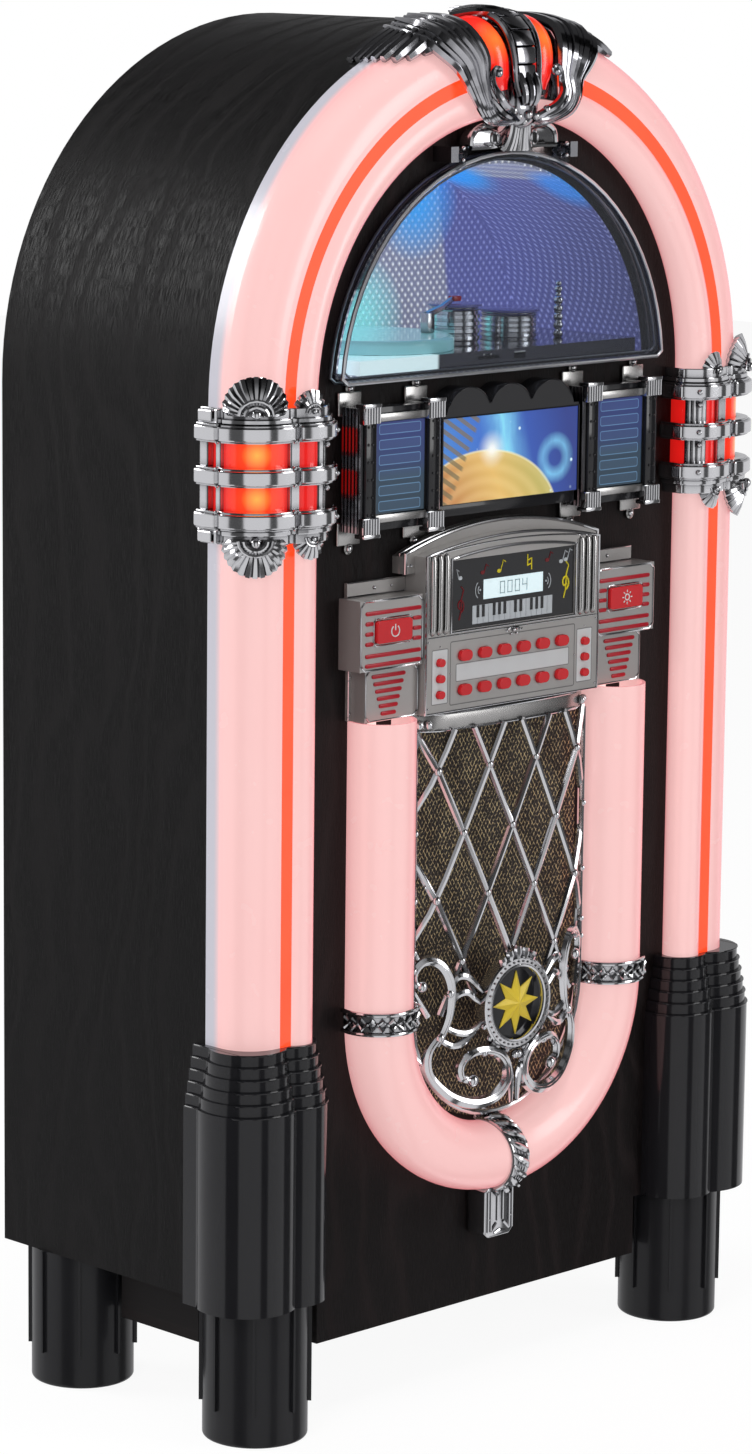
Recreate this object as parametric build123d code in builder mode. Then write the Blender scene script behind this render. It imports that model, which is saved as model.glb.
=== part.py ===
from build123d import *
import os
from math import asin, cos, degrees, pi, radians, sin, sqrt

os.makedirs("parts", exist_ok=True)

# A free-standing arched jukebox. X runs to the object's left and right, Y to the
# back, Z up from the floor. Depths in front of the cabinet's front edge are called
# v below, and distances in from the cabinet's outer side are called u.

# Cabinet
half_width = 270.5
shell_depth = 228.0
front_reach = 78.0
shell_wall = 12.0
arch_height = 776.0
cabinet_bottom = 107.0
baffle_plate = 12.0
baffle_face = 25.0
baffle_rim_depth = 15.0
back_inset = 10.0
back_thickness = 5.0
board_thickness = 15.0
fit_gap = 0.3

# Base and feet
base_half_width = 240.0
base_bottom = 60.0
base_wall = 12.0
base_back_inset = 15.0
foot_radius = 39.7
foot_side_inset = 38.5
front_foot_reach = 15.0
rear_foot_inset = 48.0
foot_notch_gap = 14.6
foot_fin_count = 8
foot_fin_reach = 2.6
foot_fin_width = 2.0
foot_fin_bottom = 26.0
foot_edge = 3.0

# Light tube round the front, one long lens with two lobes
lens_wall = 2.5
lens_side = 17.5
lens_lobe = 28.0
strip_inset = 32.4
strip_width = 11.2
strip_thickness = 1.8
inner_lobe_radius = 14.5
inner_lobe_rise = 11.0
led_width = 8.0
led_thickness = 1.6
led_inset = 48.0

# Pilasters at the foot of the light columns
pilaster_wall = 3.0
pilaster_side = 14.5
pilaster_flange = 8.0
pilaster_outer_radius = 38.0
pilaster_outer_u = 17.8
pilaster_outer_v = 26.1
pilaster_inner_radius = 31.8
pilaster_inner_u = 52.5
pilaster_inner_v = 30.6
pilaster_height = 197.0
ring_count = 5
ring_height = 9.0
ring_step = 1.8
tube_socket = 14.0
tube_gap = 0.5

# Collars where the columns meet the arch
collar_height = 727.5
collar_half = 52.0
collar_ledge = 11.0
collar_grow = 7.0
collar_wall = 4.0
band_height = 13.5
band_pitch = 31.5
band_grow = 15.0
collar_window_u = 4.0
collar_window_width = 48.0
collar_window_gap = 17.0
collar_lens_gap = 0.3
collar_lens_wall = 2.2
fan_outer_radius = 24.0
fan_inner_radius = 13.0
fan_thickness = 5.0
fan_turn = 31.0
fan_inset = 1.5

# Crown
crown_rise = 13.5
crown_gap = 0.5
crown_saddle_grow = 7.0
crown_saddle_turn = 13.0
crown_arm_grow = 18.0
crown_arm_turn = 8.2
crown_rib_grow = 27.5
crown_rib_turn = 2.6
crown_top_turn = 14.0
crown_tip_turn = 26.8
crown_wing_drop = 5.0
crown_wing_back = 12.0
crown_wing_front = 28.0
crown_bracket_half = 43.0
crown_bracket_rise = 28.0
crown_bracket_bottom = 955.5
crown_bracket_face = 58.0
crown_lens_turn = 8.0
crown_lens_low = 7.3
crown_lens_high = 15.0

# Window, its cover and its hinge
window_radius = 168.0
window_bottom = 790.0
cover_radius = 176.0
cover_bottom = 786.5
cover_face = 40.0
cover_wall = 2.5
cover_gap = 0.5
cover_corner = 8.0
hinge_height = 950.0
hinge_face = 39.0
hinge_x = 56.0
hinge_lug = 8.0
hinge_lug_radius = 6.0
hinge_pin_radius = 2.0
hinge_pin_gap = 0.08
hinge_side_gap = 0.5
hinge_pin_length = 6.0
bracket_width = 8.0
bracket_low = 4.5
bracket_high = 7.0
bracket_face = 5.0

# Disc compartment
liner_depth = 110.0
liner_wall = 2.0
liner_flange = 8.0
liner_front = 24.5
deck_height = 13.0
deck_half = 150.0
deck_face = 33.0
deck_back_gap = 4.0
well_x = -70.0
well_v = -36.0
well_radius = 61.0
well_depth = 6.0
spindle_radius = 3.0
spindle_gap = 0.06
spindle_length = 4.2
platter_radius = 30.0
platter_thickness = 2.0
platter_lift = 0.6
nub_radius = 7.4
nub_height = 2.8
lid_radius = 62.5
lid_height = 10.0
lid_wall = 2.0
lid_gap = 0.5
lid_hinge_radius = 3.6
lid_hinge_back = 2.0
lid_hinge_rise = 4.4
lid_hinge_half = 18.0
lid_pin_radius = 1.5
lid_pin_gap = 0.06
lid_pin_length = 4.0
lid_post_width = 5.0
lid_post_half = 3.4
usb_width = 13.0
usb_height = 5.5
usb_depth = 14.0
usb_x = 20.0
card_slot_width = 24.0
card_slot_height = 2.6
card_slot_x = -14.0
drum_v = -30.0
drum_ribs = 4
drum_rib = 1.4
left_drum_x = 14.0
left_drum_radius = 17.6
left_drum_height = 27.0
right_drum_x = 74.0
right_drum_radius = 21.0
right_drum_height = 20.0
beaded_x = 104.0
beaded_v = -6.0
bead_radius = 4.0
bead_count = 5

# Title holders and picture panel
holder_x = 120.0
holder_half = 41.5
holder_face = 48.0
holder_wall = 2.0
holder_low = 677.0
holder_high = 771.0
holder_column = 15.5
holder_recess = 4.0
ear_half = 12.0
ear_rise = 10.0
ear_spread = 34.5
ear_thickness = 3.0
card_thickness = 1.5
picture_half = 75.0
picture_low = 691.0
picture_high = 759.0
picture_face = 44.0
scallop_radius = 25.0
scallop_pitch = 45.0
scallop_rise = 19.5

# Control panel
panel_half = 95.0
panel_low = 535.5
panel_high = 655.0
panel_crest = 11.0
panel_face = 50.0
panel_wall = 2.5
rear_crest_half = 106.0
rear_crest_rise = 9.5
rear_crest_face = 38.0
display_half = 67.3
display_low = 597.0
display_high = 650.0
display_recess = 2.0
display_thickness = 3.0
flute_count = 3
flute_radius = 2.6
flute_pitch = 7.0
wing_inner = 95.4
wing_outer = 161.5
wing_low = 575.0
wing_high = 628.0
wing_face = 47.5
wing_skirt_outer = 151.5
wing_skirt_edge = 43.0
wing_flange_outer = 156.0
wing_flange_thickness = 3.0
wing_flange_rise = 11.0
board_face = 40.0
board_plate = 2.0
board_half = 88.0
board_low = 541.0
board_high = 645.0
wing_board_face = 36.0
wing_board_size = (44.0, 26.0)
board_post_radius = 3.0
board_post_inset = 6.0
wing_post_inset = 4.0

# Buttons
button_travel = 1.5
button_gap = 0.3
button_proud = 3.0
button_flange = 1.2
button_flange_thickness = 2.0
main_button = (13.2, 8.4)
main_button_pitch = 21.3
main_button_rows = (577.4, 551.2)
small_button = (7.6, 6.0)
small_button_x = 79.5
small_button_pitch = 12.2
big_button = (37.0, 17.0)
big_button_x = 127.5
big_button_z = 603.6
big_button_corner = 3.0
switch_radius = 1.8
switch_gap = 0.2

# Lower light loop, grille and medallion
loop_radius = 127.0
loop_tube = 26.8
loop_rise = 11.0
loop_height = 306.0
loop_band_height = 17.0
loop_band_rise = 2.0
loop_band_grow = 4.0
clasp_half = 10.0
tail_half = 16.5
tail_low = 113.0
tail_v = 46.0
cloth_thickness = 2.0
grille_top = 531.0
grille_rail = 15.0
lattice_bar = 6.0
lattice_slope = 1.95
lattice_pitch = 51.0
lattice_thickness = 4.0
lattice_peak = 57.0
lattice_phase = 37.0
lattice_seat = 4.0
lattice_edge = 46.0
scroll_radius = 19.0
scroll_bar = 5.0
scroll_x = 52.0
scroll_heights = (265.0, 300.0)
medallion_radius = 36.5
medallion_bore = 28.5
medallion_height = 302.5
medallion_depth = 6.0
star_points = 8
star_radius = 25.0
star_waist = 10.0

# Speakers, main board and mains inlet
speaker_radius = 58.0
speaker_bore = 48.0
speaker_rim = 3.0
speaker_lip = 2.0
cone_wall = 4.0
dome_radius = 15.0
speaker_depth = 46.0
speaker_heights = (452.0, 300.0)
magnet_radius = 34.0
magnet_depth = 16.0
main_board_size = (150.0, 110.0)
transformer_spot = (-45.0, 15.0)
transformer_size = (40.0, 45.0)
chip_spot = (10.0, -20.0)
chip_size = (24.0, 24.0)
supply_spot = (48.0, 10.0)
supply_size = (30.0, 60.0)
board_block_height = 20.0
main_board_height = 380.0
main_board_standoff = 12.0
inlet_size = (30.0, 22.0)
inlet_body = (26.0, 18.0)
inlet_cavity = (18.0, 10.0)
inlet_depth = 18.0
inlet_plate = 2.5
inlet_x = -150.0
inlet_height = 190.0
inlet_pin_radius = 1.2
vent_count = 7
vent_pitch = 16.0
vent_width = 120.0
vent_slot = 6.0
vent_height = 700.0

front_y = front_reach - (shell_depth + front_reach) / 2
back_y = front_y + shell_depth
inner_radius = half_width - shell_wall
strip_face = lens_side + lens_lobe
inner_lobe_v = baffle_face + inner_lobe_rise
inner_lobe_u = strip_inset + strip_width + sqrt(
    inner_lobe_radius**2 - (strip_face - inner_lobe_v) ** 2
)
pilaster_top = cabinet_bottom + pilaster_height
foot_x = half_width - foot_side_inset
crown_height = arch_height + half_width + crown_rise
front_foot_y = front_y - front_foot_reach
rear_foot_y = back_y - rear_foot_inset
loop_v = baffle_face + loop_rise
deck_bottom = window_bottom + fit_gap + liner_wall
deck_top = window_bottom + deck_height
collar_low = collar_height - collar_half
collar_high = collar_height + collar_half


def front(v):
    """Upright plane at the depth v in front of the cabinet's edge, facing forward."""
    return Plane.XZ.offset(v - front_y)


def plan(side, u, v):
    """Plan position from the distance in from one outer side and the depth forward."""
    return (side * (half_width - u), front_y - v)


def finish(builder, name):
    """Label a finished piece and write it."""
    builder.part.label = name
    export_step(builder.part, f"parts/{name}.step")


def arch_face(radius, bottom, top_z=arch_height):
    """An upright arch outline: straight sides with a half-round top."""
    with BuildSketch() as face:
        with BuildLine():
            Line((-radius, bottom), (-radius, top_z))
            ThreePointArc((-radius, top_z), (0, top_z + radius), (radius, top_z))
            Line((radius, top_z), (radius, bottom))
            Line((radius, bottom), (-radius, bottom))
        make_face()
    return face.sketch


def segment_face(radius, bottom, corner=0.0):
    """A half-round window outline on the arch's centre with a flat bottom."""
    with BuildSketch() as face:
        with Locations((0, arch_height)):
            Circle(radius)
        with Locations((0, bottom - radius)):
            Rectangle(2 * radius + 2, 2 * radius, mode=Mode.SUBTRACT)
        if corner:
            fillet(face.vertices(), corner)
    return face.sketch


def cabinet_plan(side):
    """What the cabinet fills in plan beside the light tube: shell edge and baffle."""
    with BuildSketch() as face:
        with BuildLine():
            Polyline(
                plan(side, 0, -shell_depth),
                plan(side, 0, 0),
                plan(side, shell_wall, 0),
                plan(side, shell_wall, baffle_face),
                plan(side, half_width, baffle_face),
                plan(side, half_width, -shell_depth),
                close=True,
            )
        make_face()
    return face.sketch


def lens_outline(side, grow=0.0):
    """Plan outline of the two-lobed light tube, with the cabinet's corner inside."""
    outer = lens_lobe + grow
    inner = inner_lobe_radius + grow
    top = strip_face + grow
    bend = outer * sin(pi / 4)
    valley = inner_lobe_u - sqrt(inner**2 - (top - inner_lobe_v) ** 2)
    foot = inner_lobe_u + sqrt(inner**2 - inner_lobe_rise**2)
    with BuildSketch() as face:
        with BuildLine():
            Line(plan(side, -grow, 0), plan(side, -grow, lens_side))
            ThreePointArc(
                plan(side, -grow, lens_side),
                plan(side, lens_lobe - bend, lens_side + bend),
                plan(side, lens_lobe, top),
            )
            Line(plan(side, lens_lobe, top), plan(side, valley, top))
            ThreePointArc(
                plan(side, valley, top),
                plan(side, inner_lobe_u, inner_lobe_v + inner),
                plan(side, foot, baffle_face),
            )
            Line(plan(side, foot, baffle_face), plan(side, foot, 0))
            Line(plan(side, foot, 0), plan(side, -grow, 0))
        make_face()
    return face.sketch


def strip_face_plan(side):
    """Plan outline of the coloured strip in the valley between the lobes."""
    middle = strip_inset + strip_width / 2
    with BuildSketch() as face:
        with Locations(plan(side, middle, strip_face - strip_thickness / 2)):
            Rectangle(strip_width, strip_thickness)
    return face.sketch


def lens_section(side):
    """Wall of the light tube in plan, open towards the cabinet."""
    with BuildSketch() as face:
        add(lens_outline(side))
        add(lens_outline(side, -lens_wall), mode=Mode.SUBTRACT)
        add(cabinet_plan(side), mode=Mode.SUBTRACT)
        with Locations(plan(side, lens_wall + shell_wall / 2, lens_wall / 2)):
            Rectangle(shell_wall, lens_wall + 0.2, mode=Mode.SUBTRACT)
        add(strip_face_plan(side), mode=Mode.SUBTRACT)
    return face.sketch


def pilaster_outline(side, grow=0.0):
    """Plan outline of a pilaster: two round lobes on a base that hugs the cabinet."""
    outer = pilaster_outer_radius + grow
    inner = pilaster_inner_radius + grow
    flat_u = -pilaster_side - grow
    flat_v = pilaster_outer_v - sqrt(outer**2 - (pilaster_outer_u - flat_u) ** 2)
    foot = pilaster_inner_u + sqrt(inner**2 - (pilaster_inner_v - baffle_face) ** 2)
    with BuildSketch() as face:
        with BuildLine():
            Polyline(
                plan(side, flat_u, -pilaster_flange),
                plan(side, flat_u, flat_v),
                plan(side, pilaster_outer_u, pilaster_outer_v),
                plan(side, pilaster_inner_u, pilaster_inner_v),
                plan(side, foot, baffle_face),
                plan(side, pilaster_inner_u, 0),
                plan(side, pilaster_inner_u, -pilaster_flange),
                close=True,
            )
        make_face()
        with Locations(plan(side, pilaster_outer_u, pilaster_outer_v)):
            Circle(outer)
        with Locations(plan(side, pilaster_inner_u, pilaster_inner_v)):
            Circle(inner)
    return face.sketch


def loop_section(side, grow=0.0, wall=0.0):
    """Round section of the lower light loop, cut flat where it meets the panel."""
    with BuildSketch() as face:
        centre = (side * loop_radius, front_y - loop_v)
        with Locations(centre):
            Circle(loop_tube + grow)
            if wall:
                Circle(loop_tube + grow - wall, mode=Mode.SUBTRACT)
        with Locations((side * loop_radius, front_y - baffle_face + loop_tube)):
            Rectangle(3 * loop_tube, 2 * loop_tube, mode=Mode.SUBTRACT)
    return face.sketch


def radial(angle, height):
    """Plane through a cross axis whose local -X points out at an angle from upright."""
    out_x = sin(radians(angle))
    out_z = cos(radians(angle))
    return Plane(origin=(0, 0, height), x_dir=(-out_x, 0, -out_z), z_dir=(out_z, 0, -out_x))


def tube_band(side, outer, inner):
    """Plan of a band round the light tube between two offsets, open to the cabinet."""
    with BuildSketch() as face:
        add(lens_outline(side, outer))
        add(lens_outline(side, inner), mode=Mode.SUBTRACT)
        add(cabinet_plan(side), mode=Mode.SUBTRACT)
    return face.sketch


def ring_sector(outer, inner, start, end):
    """Upright sector of a ring on the arch's centre between two angles from upright."""
    middle = (start + end) / 2
    with BuildSketch() as face:
        with BuildLine():
            for radius in (outer, inner):
                ThreePointArc(*(rim_point(radius, angle) for angle in (start, middle, end)))
            Line(rim_point(outer, start), rim_point(inner, start))
            Line(rim_point(outer, end), rim_point(inner, end))
        make_face()
    return face.sketch


def rim_point(radius, angle):
    """Upright point on a circle round the arch's centre."""
    return (radius * sin(radians(angle)), arch_height + radius * cos(radians(angle)))


# Cabinet shell, bent in one piece over the arch
with BuildPart() as cabinet_shell:
    with BuildSketch(front(0)):
        add(arch_face(half_width, cabinet_bottom))
        add(arch_face(inner_radius, cabinet_bottom), mode=Mode.SUBTRACT)
    extrude(amount=-shell_depth)
finish(cabinet_shell, "cabinet_shell")

# Front baffle, a shallow tray that plugs the shell
with BuildPart() as front_baffle:
    with BuildSketch(front(-baffle_rim_depth)):
        add(arch_face(inner_radius, cabinet_bottom))
    extrude(amount=baffle_rim_depth + baffle_face)
    with BuildSketch(front(-baffle_rim_depth)):
        add(arch_face(inner_radius - shell_wall, cabinet_bottom + shell_wall))
    extrude(amount=baffle_rim_depth + baffle_face - baffle_plate, mode=Mode.SUBTRACT)
    with BuildSketch(front(baffle_face)):
        add(segment_face(window_radius, window_bottom))
        for height in speaker_heights:
            with Locations((0, height)):
                Circle(speaker_bore)
    extrude(amount=-baffle_plate, mode=Mode.SUBTRACT)
finish(front_baffle, "front_baffle")

# Bottom board inside the shell
with BuildPart() as bottom_board:
    with BuildSketch(Plane.XY.offset(cabinet_bottom)):
        with Locations((0, (front_y + baffle_rim_depth + back_y - back_inset) / 2)):
            Rectangle(2 * inner_radius, shell_depth - back_inset - baffle_rim_depth)
    extrude(amount=board_thickness)
finish(bottom_board, "bottom_board")

# Back panel with vents and the hole for the mains inlet
with BuildPart() as back_panel:
    with BuildSketch(front(-shell_depth + back_inset + back_thickness)):
        add(arch_face(inner_radius, cabinet_bottom + board_thickness))
        with GridLocations(0, vent_pitch, 1, vent_count):
            with Locations((0, vent_height)):
                SlotOverall(vent_width, vent_slot, mode=Mode.SUBTRACT)
        with Locations((inlet_x, inlet_height)):
            Rectangle(inlet_body[0] + tube_gap, inlet_body[1] + tube_gap, mode=Mode.SUBTRACT)
    extrude(amount=-back_thickness)
finish(back_panel, "back_panel")

# Base plinth, notched for the round feet
base_front = front_y - baffle_face
base_back = back_y - base_back_inset
notch = foot_radius + foot_notch_gap
with BuildPart() as base_plinth:
    with BuildSketch(Plane.XY.offset(base_bottom)) as base_plan:
        with Locations((0, (base_front + base_back) / 2)):
            Rectangle(2 * base_half_width, base_back - base_front)
        for side in (-1, 1):
            with Locations((side * (foot_x + notch), front_foot_y)):
                Rectangle(4 * notch, 2 * notch, mode=Mode.SUBTRACT)
            with Locations((side * (foot_x + notch), rear_foot_y + notch)):
                Rectangle(4 * notch, 4 * notch, mode=Mode.SUBTRACT)
        offset(amount=-base_wall, kind=Kind.INTERSECTION, mode=Mode.SUBTRACT)
    extrude(amount=cabinet_bottom - base_bottom)
finish(base_plinth, "base_plinth")

# Four round feet with upright fins
with BuildPart() as feet:
    foot_places = [
        (side * foot_x, depth) for side in (-1, 1) for depth in (front_foot_y, rear_foot_y)
    ]
    with BuildSketch():
        with Locations(*foot_places):
            Circle(foot_radius)
    extrude(amount=cabinet_bottom)
    fillet(feet.edges().group_by(Axis.Z)[0], foot_edge)
    with BuildSketch(Plane.XY.offset(foot_fin_bottom)):
        with Locations(*foot_places):
            with PolarLocations(foot_radius, foot_fin_count):
                Rectangle(2 * foot_fin_reach, foot_fin_width)
    extrude(amount=cabinet_bottom - foot_fin_bottom)
finish(feet, "feet")

# Light columns and arch
with BuildPart() as column_lenses:
    with BuildSketch(Plane.XY.offset(pilaster_top - tube_socket)):
        for side in (-1, 1):
            add(lens_section(side))
    extrude(amount=collar_low + collar_ledge - pilaster_top + tube_socket)
finish(column_lenses, "column_lenses")

with BuildPart() as arch_lens:
    with BuildSketch(Plane.XY.offset(arch_height)):
        add(lens_section(-1))
    revolve(axis=Axis((0, 0, arch_height), (0, 1, 0)), revolution_arc=180)
    with BuildSketch(Plane.XY.offset(arch_height)):
        for side in (-1, 1):
            add(lens_section(side))
    extrude(amount=collar_high - collar_ledge - arch_height)
finish(arch_lens, "arch_lens")

with BuildPart() as red_strips:
    with BuildSketch(Plane.XY.offset(pilaster_top - tube_socket)):
        for side in (-1, 1):
            add(strip_face_plan(side))
    extrude(amount=collar_low + collar_ledge - pilaster_top + tube_socket)
    with BuildSketch(Plane.XY.offset(arch_height)):
        add(strip_face_plan(-1))
    revolve(axis=Axis((0, 0, arch_height), (0, 1, 0)), revolution_arc=180)
finish(red_strips, "red_strips")

# Strips of lamps on the baffle under both light tubes
with BuildPart() as light_strips:
    led_outer = half_width - led_inset + led_width / 2
    with BuildSketch(front(baffle_face)):
        add(arch_face(led_outer, pilaster_top))
        add(arch_face(led_outer - led_width, pilaster_top), mode=Mode.SUBTRACT)
    extrude(amount=led_thickness)
    with BuildSketch(front(baffle_face)):
        with Locations((0, loop_height)):
            Circle(loop_radius + led_width / 2)
            Circle(loop_radius - led_width / 2, mode=Mode.SUBTRACT)
        with Locations((0, loop_height + loop_radius)):
            Rectangle(4 * loop_radius, 2 * loop_radius, mode=Mode.SUBTRACT)
        for side in (-1, 1):
            with Locations((side * loop_radius, (loop_height + panel_low) / 2)):
                Rectangle(led_width, panel_low - loop_height)
    extrude(amount=led_thickness)
finish(light_strips, "light_strips")

# Pilasters with stepped rings at the top
with BuildPart() as pilasters:
    ring_bottom = pilaster_top - ring_count * ring_height
    for side in (-1, 1):
        with BuildSketch(Plane.XY.offset(cabinet_bottom)):
            add(pilaster_outline(side))
            add(cabinet_plan(side), mode=Mode.SUBTRACT)
        extrude(amount=ring_bottom - cabinet_bottom)
        for ring in range(ring_count):
            with BuildSketch(Plane.XY.offset(ring_bottom + ring * ring_height)):
                add(pilaster_outline(side, -(ring + 1) * ring_step))
                add(cabinet_plan(side), mode=Mode.SUBTRACT)
            extrude(amount=ring_height)
        with BuildSketch(Plane.XY.offset(cabinet_bottom + pilaster_wall)):
            add(pilaster_outline(side, -ring_count * ring_step - pilaster_wall))
        extrude(amount=pilaster_height - 2 * pilaster_wall, mode=Mode.SUBTRACT)
        with BuildSketch(Plane.XY.offset(pilaster_top)):
            add(lens_outline(side, tube_gap))
        extrude(amount=-tube_socket - pilaster_wall, mode=Mode.SUBTRACT)
finish(pilasters, "pilasters")

# Collars: ledges, three proud bands and shell fans, one at each end of the arch
fan_bend = radians(fan_turn)
fans = (
    (
        lens_lobe - lens_lobe * sin(fan_bend),
        lens_side + lens_lobe * cos(fan_bend),
        fan_outer_radius,
        fan_bend,
    ),
    (inner_lobe_u, inner_lobe_v + inner_lobe_radius, fan_inner_radius, 0.0),
)
window_height = band_pitch - band_height
with BuildPart() as collars:
    for side in (-1, 1):
        with BuildSketch(Plane.XY.offset(collar_low)):
            add(tube_band(side, collar_grow, collar_grow - collar_wall))
        extrude(amount=2 * collar_half)
        for level in (-1, 1):
            ledge_z = collar_height + level * (collar_half - collar_ledge / 2)
            with BuildSketch(Plane.XY.offset(ledge_z - collar_ledge / 2)):
                add(tube_band(side, collar_grow, tube_gap))
            extrude(amount=collar_ledge)
            window_z = collar_height + level * band_pitch / 2
            with BuildSketch(Plane.XY.offset(window_z - window_height / 2)):
                with Locations(plan(side, collar_window_u + collar_window_width / 2, 40)):
                    Rectangle(collar_window_width, 60)
                with Locations(plan(side, inner_lobe_u + 1, 50)):
                    Rectangle(collar_window_gap, 40)
            extrude(amount=window_height, mode=Mode.SUBTRACT)
            for fan_u, fan_v, fan_radius, bend in fans:
                fan_x, fan_y = plan(side, fan_u, fan_v)
                fan_z = collar_height + level * (collar_half - fan_inset)
                out = Vector(side * sin(bend), -cos(bend), 0)
                place = Plane(
                    origin=Vector(fan_x, fan_y, fan_z) + out * (collar_grow - collar_wall),
                    x_dir=(0, 0, 1),
                    z_dir=out,
                )
                with BuildSketch(place):
                    Circle(fan_radius)
                extrude(amount=fan_thickness)
        for step in (-1, 0, 1):
            with BuildSketch(Plane.XY.offset(collar_height + step * band_pitch - band_height / 2)):
                add(tube_band(side, band_grow, collar_grow - collar_wall))
            extrude(amount=band_height)
finish(collars, "collars")

with BuildPart() as collar_lenses:
    reach = band_pitch + band_height / 2
    lens_grow = collar_grow - collar_wall - collar_lens_gap
    for side in (-1, 1):
        with BuildSketch(Plane.XY.offset(collar_height - reach)):
            add(tube_band(side, lens_grow, lens_grow - collar_lens_wall))
        extrude(amount=2 * reach)
finish(collar_lenses, "collar_lenses")

# Crown: a saddle over the top of the light tube with two wings, two arms and a rib
across = Axis((0, 0, arch_height), (0, 1, 0))
with BuildPart() as crown:
    with BuildSketch(radial(-crown_saddle_turn, arch_height)):
        add(tube_band(-1, crown_saddle_grow, crown_gap))
    revolve(axis=across, revolution_arc=2 * crown_saddle_turn)
    for start in (-crown_saddle_turn, crown_arm_turn):
        with BuildSketch(radial(start, arch_height)):
            add(tube_band(-1, crown_arm_grow, crown_gap))
        revolve(axis=across, revolution_arc=crown_saddle_turn - crown_arm_turn)
    with BuildSketch(radial(-crown_rib_turn, arch_height)):
        add(tube_band(-1, crown_rib_grow, crown_lens_high + crown_gap))
    revolve(axis=across, revolution_arc=2 * crown_rib_turn)
    with BuildSketch(front(crown_bracket_face)):
        with Locations((0, crown_bracket_bottom + crown_bracket_rise / 2)):
            Rectangle(2 * crown_bracket_half, crown_bracket_rise)
    extrude(amount=-(crown_bracket_face - baffle_face))
    with BuildSketch(front(crown_wing_front)):
        add(
            ring_sector(
                half_width + crown_rise, half_width + crown_gap, -crown_top_turn, crown_top_turn
            )
        )
        for turn in (-1, 1):
            add(
                ring_sector(
                    half_width + crown_rise - crown_wing_drop,
                    half_width + crown_gap,
                    turn * crown_top_turn,
                    turn * crown_tip_turn,
                )
            )
    extrude(amount=-(crown_wing_front + crown_wing_back))
    with BuildSketch(radial(-crown_tip_turn, arch_height)):
        add(lens_outline(-1, crown_gap))
    revolve(axis=across, revolution_arc=2 * crown_tip_turn, mode=Mode.SUBTRACT)
    with BuildSketch(front(2 * crown_bracket_face)):
        add(
            ring_sector(
                2 * half_width, half_width + crown_rise, -2 * crown_tip_turn, 2 * crown_tip_turn
            )
        )
    extrude(amount=-4 * crown_bracket_face, mode=Mode.SUBTRACT)
    with BuildSketch(front(baffle_face)):
        with Locations((0, crown_bracket_bottom - 4 * crown_bracket_rise)):
            Rectangle(8 * crown_bracket_half, 8 * crown_bracket_rise)
    extrude(amount=2 * crown_bracket_face, mode=Mode.SUBTRACT)
finish(crown, "crown")

with BuildPart() as crown_lens:
    with BuildSketch(radial(-crown_lens_turn, arch_height)):
        add(tube_band(-1, crown_lens_high, crown_lens_low))
    revolve(axis=across, revolution_arc=2 * crown_lens_turn)
    with BuildSketch(front(crown_wing_front + fit_gap)):
        add(
            ring_sector(
                half_width + 2 * crown_rise, inner_radius, -crown_top_turn, crown_top_turn
            )
        )
    extrude(amount=-(crown_wing_front + crown_wing_back), mode=Mode.SUBTRACT)
    with BuildSketch(front(crown_bracket_face + fit_gap)):
        with Locations((0, crown_bracket_bottom)):
            Rectangle(
                2 * (crown_bracket_half + fit_gap), 2 * (crown_bracket_rise + fit_gap)
            )
    extrude(amount=-(crown_bracket_face - baffle_face) - 1, mode=Mode.SUBTRACT)
finish(crown_lens, "crown_lens")

# Clear window cover, hung from two lugs along its top
hinge_bore = hinge_pin_radius + hinge_pin_gap
with BuildPart() as window_cover:
    with BuildSketch(front(baffle_face + cover_gap)):
        add(segment_face(cover_radius, cover_bottom, cover_corner))
    extrude(amount=cover_face - baffle_face - cover_gap)
    with BuildSketch(front(baffle_face + cover_gap)):
        add(segment_face(cover_radius - cover_wall, cover_bottom + cover_wall, cover_corner))
    extrude(amount=cover_face - baffle_face - cover_gap - cover_wall, mode=Mode.SUBTRACT)
    for side in (-1, 1):
        lug_x = side * hinge_x
        lug_foot = arch_height + sqrt(cover_radius**2 - (hinge_x + hinge_lug / 2) ** 2)
        with BuildSketch(Plane.YZ.offset(lug_x - hinge_lug / 2)):
            with Locations((front_y - hinge_face, hinge_height)):
                Circle(hinge_lug_radius)
            with Locations((front_y - hinge_face + 1, (hinge_height + lug_foot - 2) / 2)):
                Rectangle(2 * hinge_lug_radius - 2, hinge_height - lug_foot + 2)
        extrude(amount=hinge_lug)
        with BuildSketch(Plane.YZ.offset(lug_x - hinge_lug)):
            with Locations((front_y - hinge_face, hinge_height)):
                Circle(hinge_bore)
        extrude(amount=2 * hinge_lug, mode=Mode.SUBTRACT)
finish(window_cover, "window_cover")

with BuildPart() as window_hinge:
    for side in (-1, 1):
        inner_x = hinge_x + hinge_lug / 2 + hinge_side_gap
        with BuildSketch(front(baffle_face)):
            with Locations(
                (
                    side * (inner_x + bracket_width / 2),
                    hinge_height + (bracket_high - bracket_low) / 2,
                )
            ):
                Rectangle(bracket_width, bracket_high + bracket_low)
        extrude(amount=hinge_face + bracket_face - baffle_face)
        with BuildSketch(Plane.YZ.offset(side * inner_x)):
            with Locations((front_y - hinge_face, hinge_height)):
                Circle(hinge_pin_radius)
        extrude(amount=-side * (hinge_pin_length + hinge_side_gap))
finish(window_hinge, "window_hinge")

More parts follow.
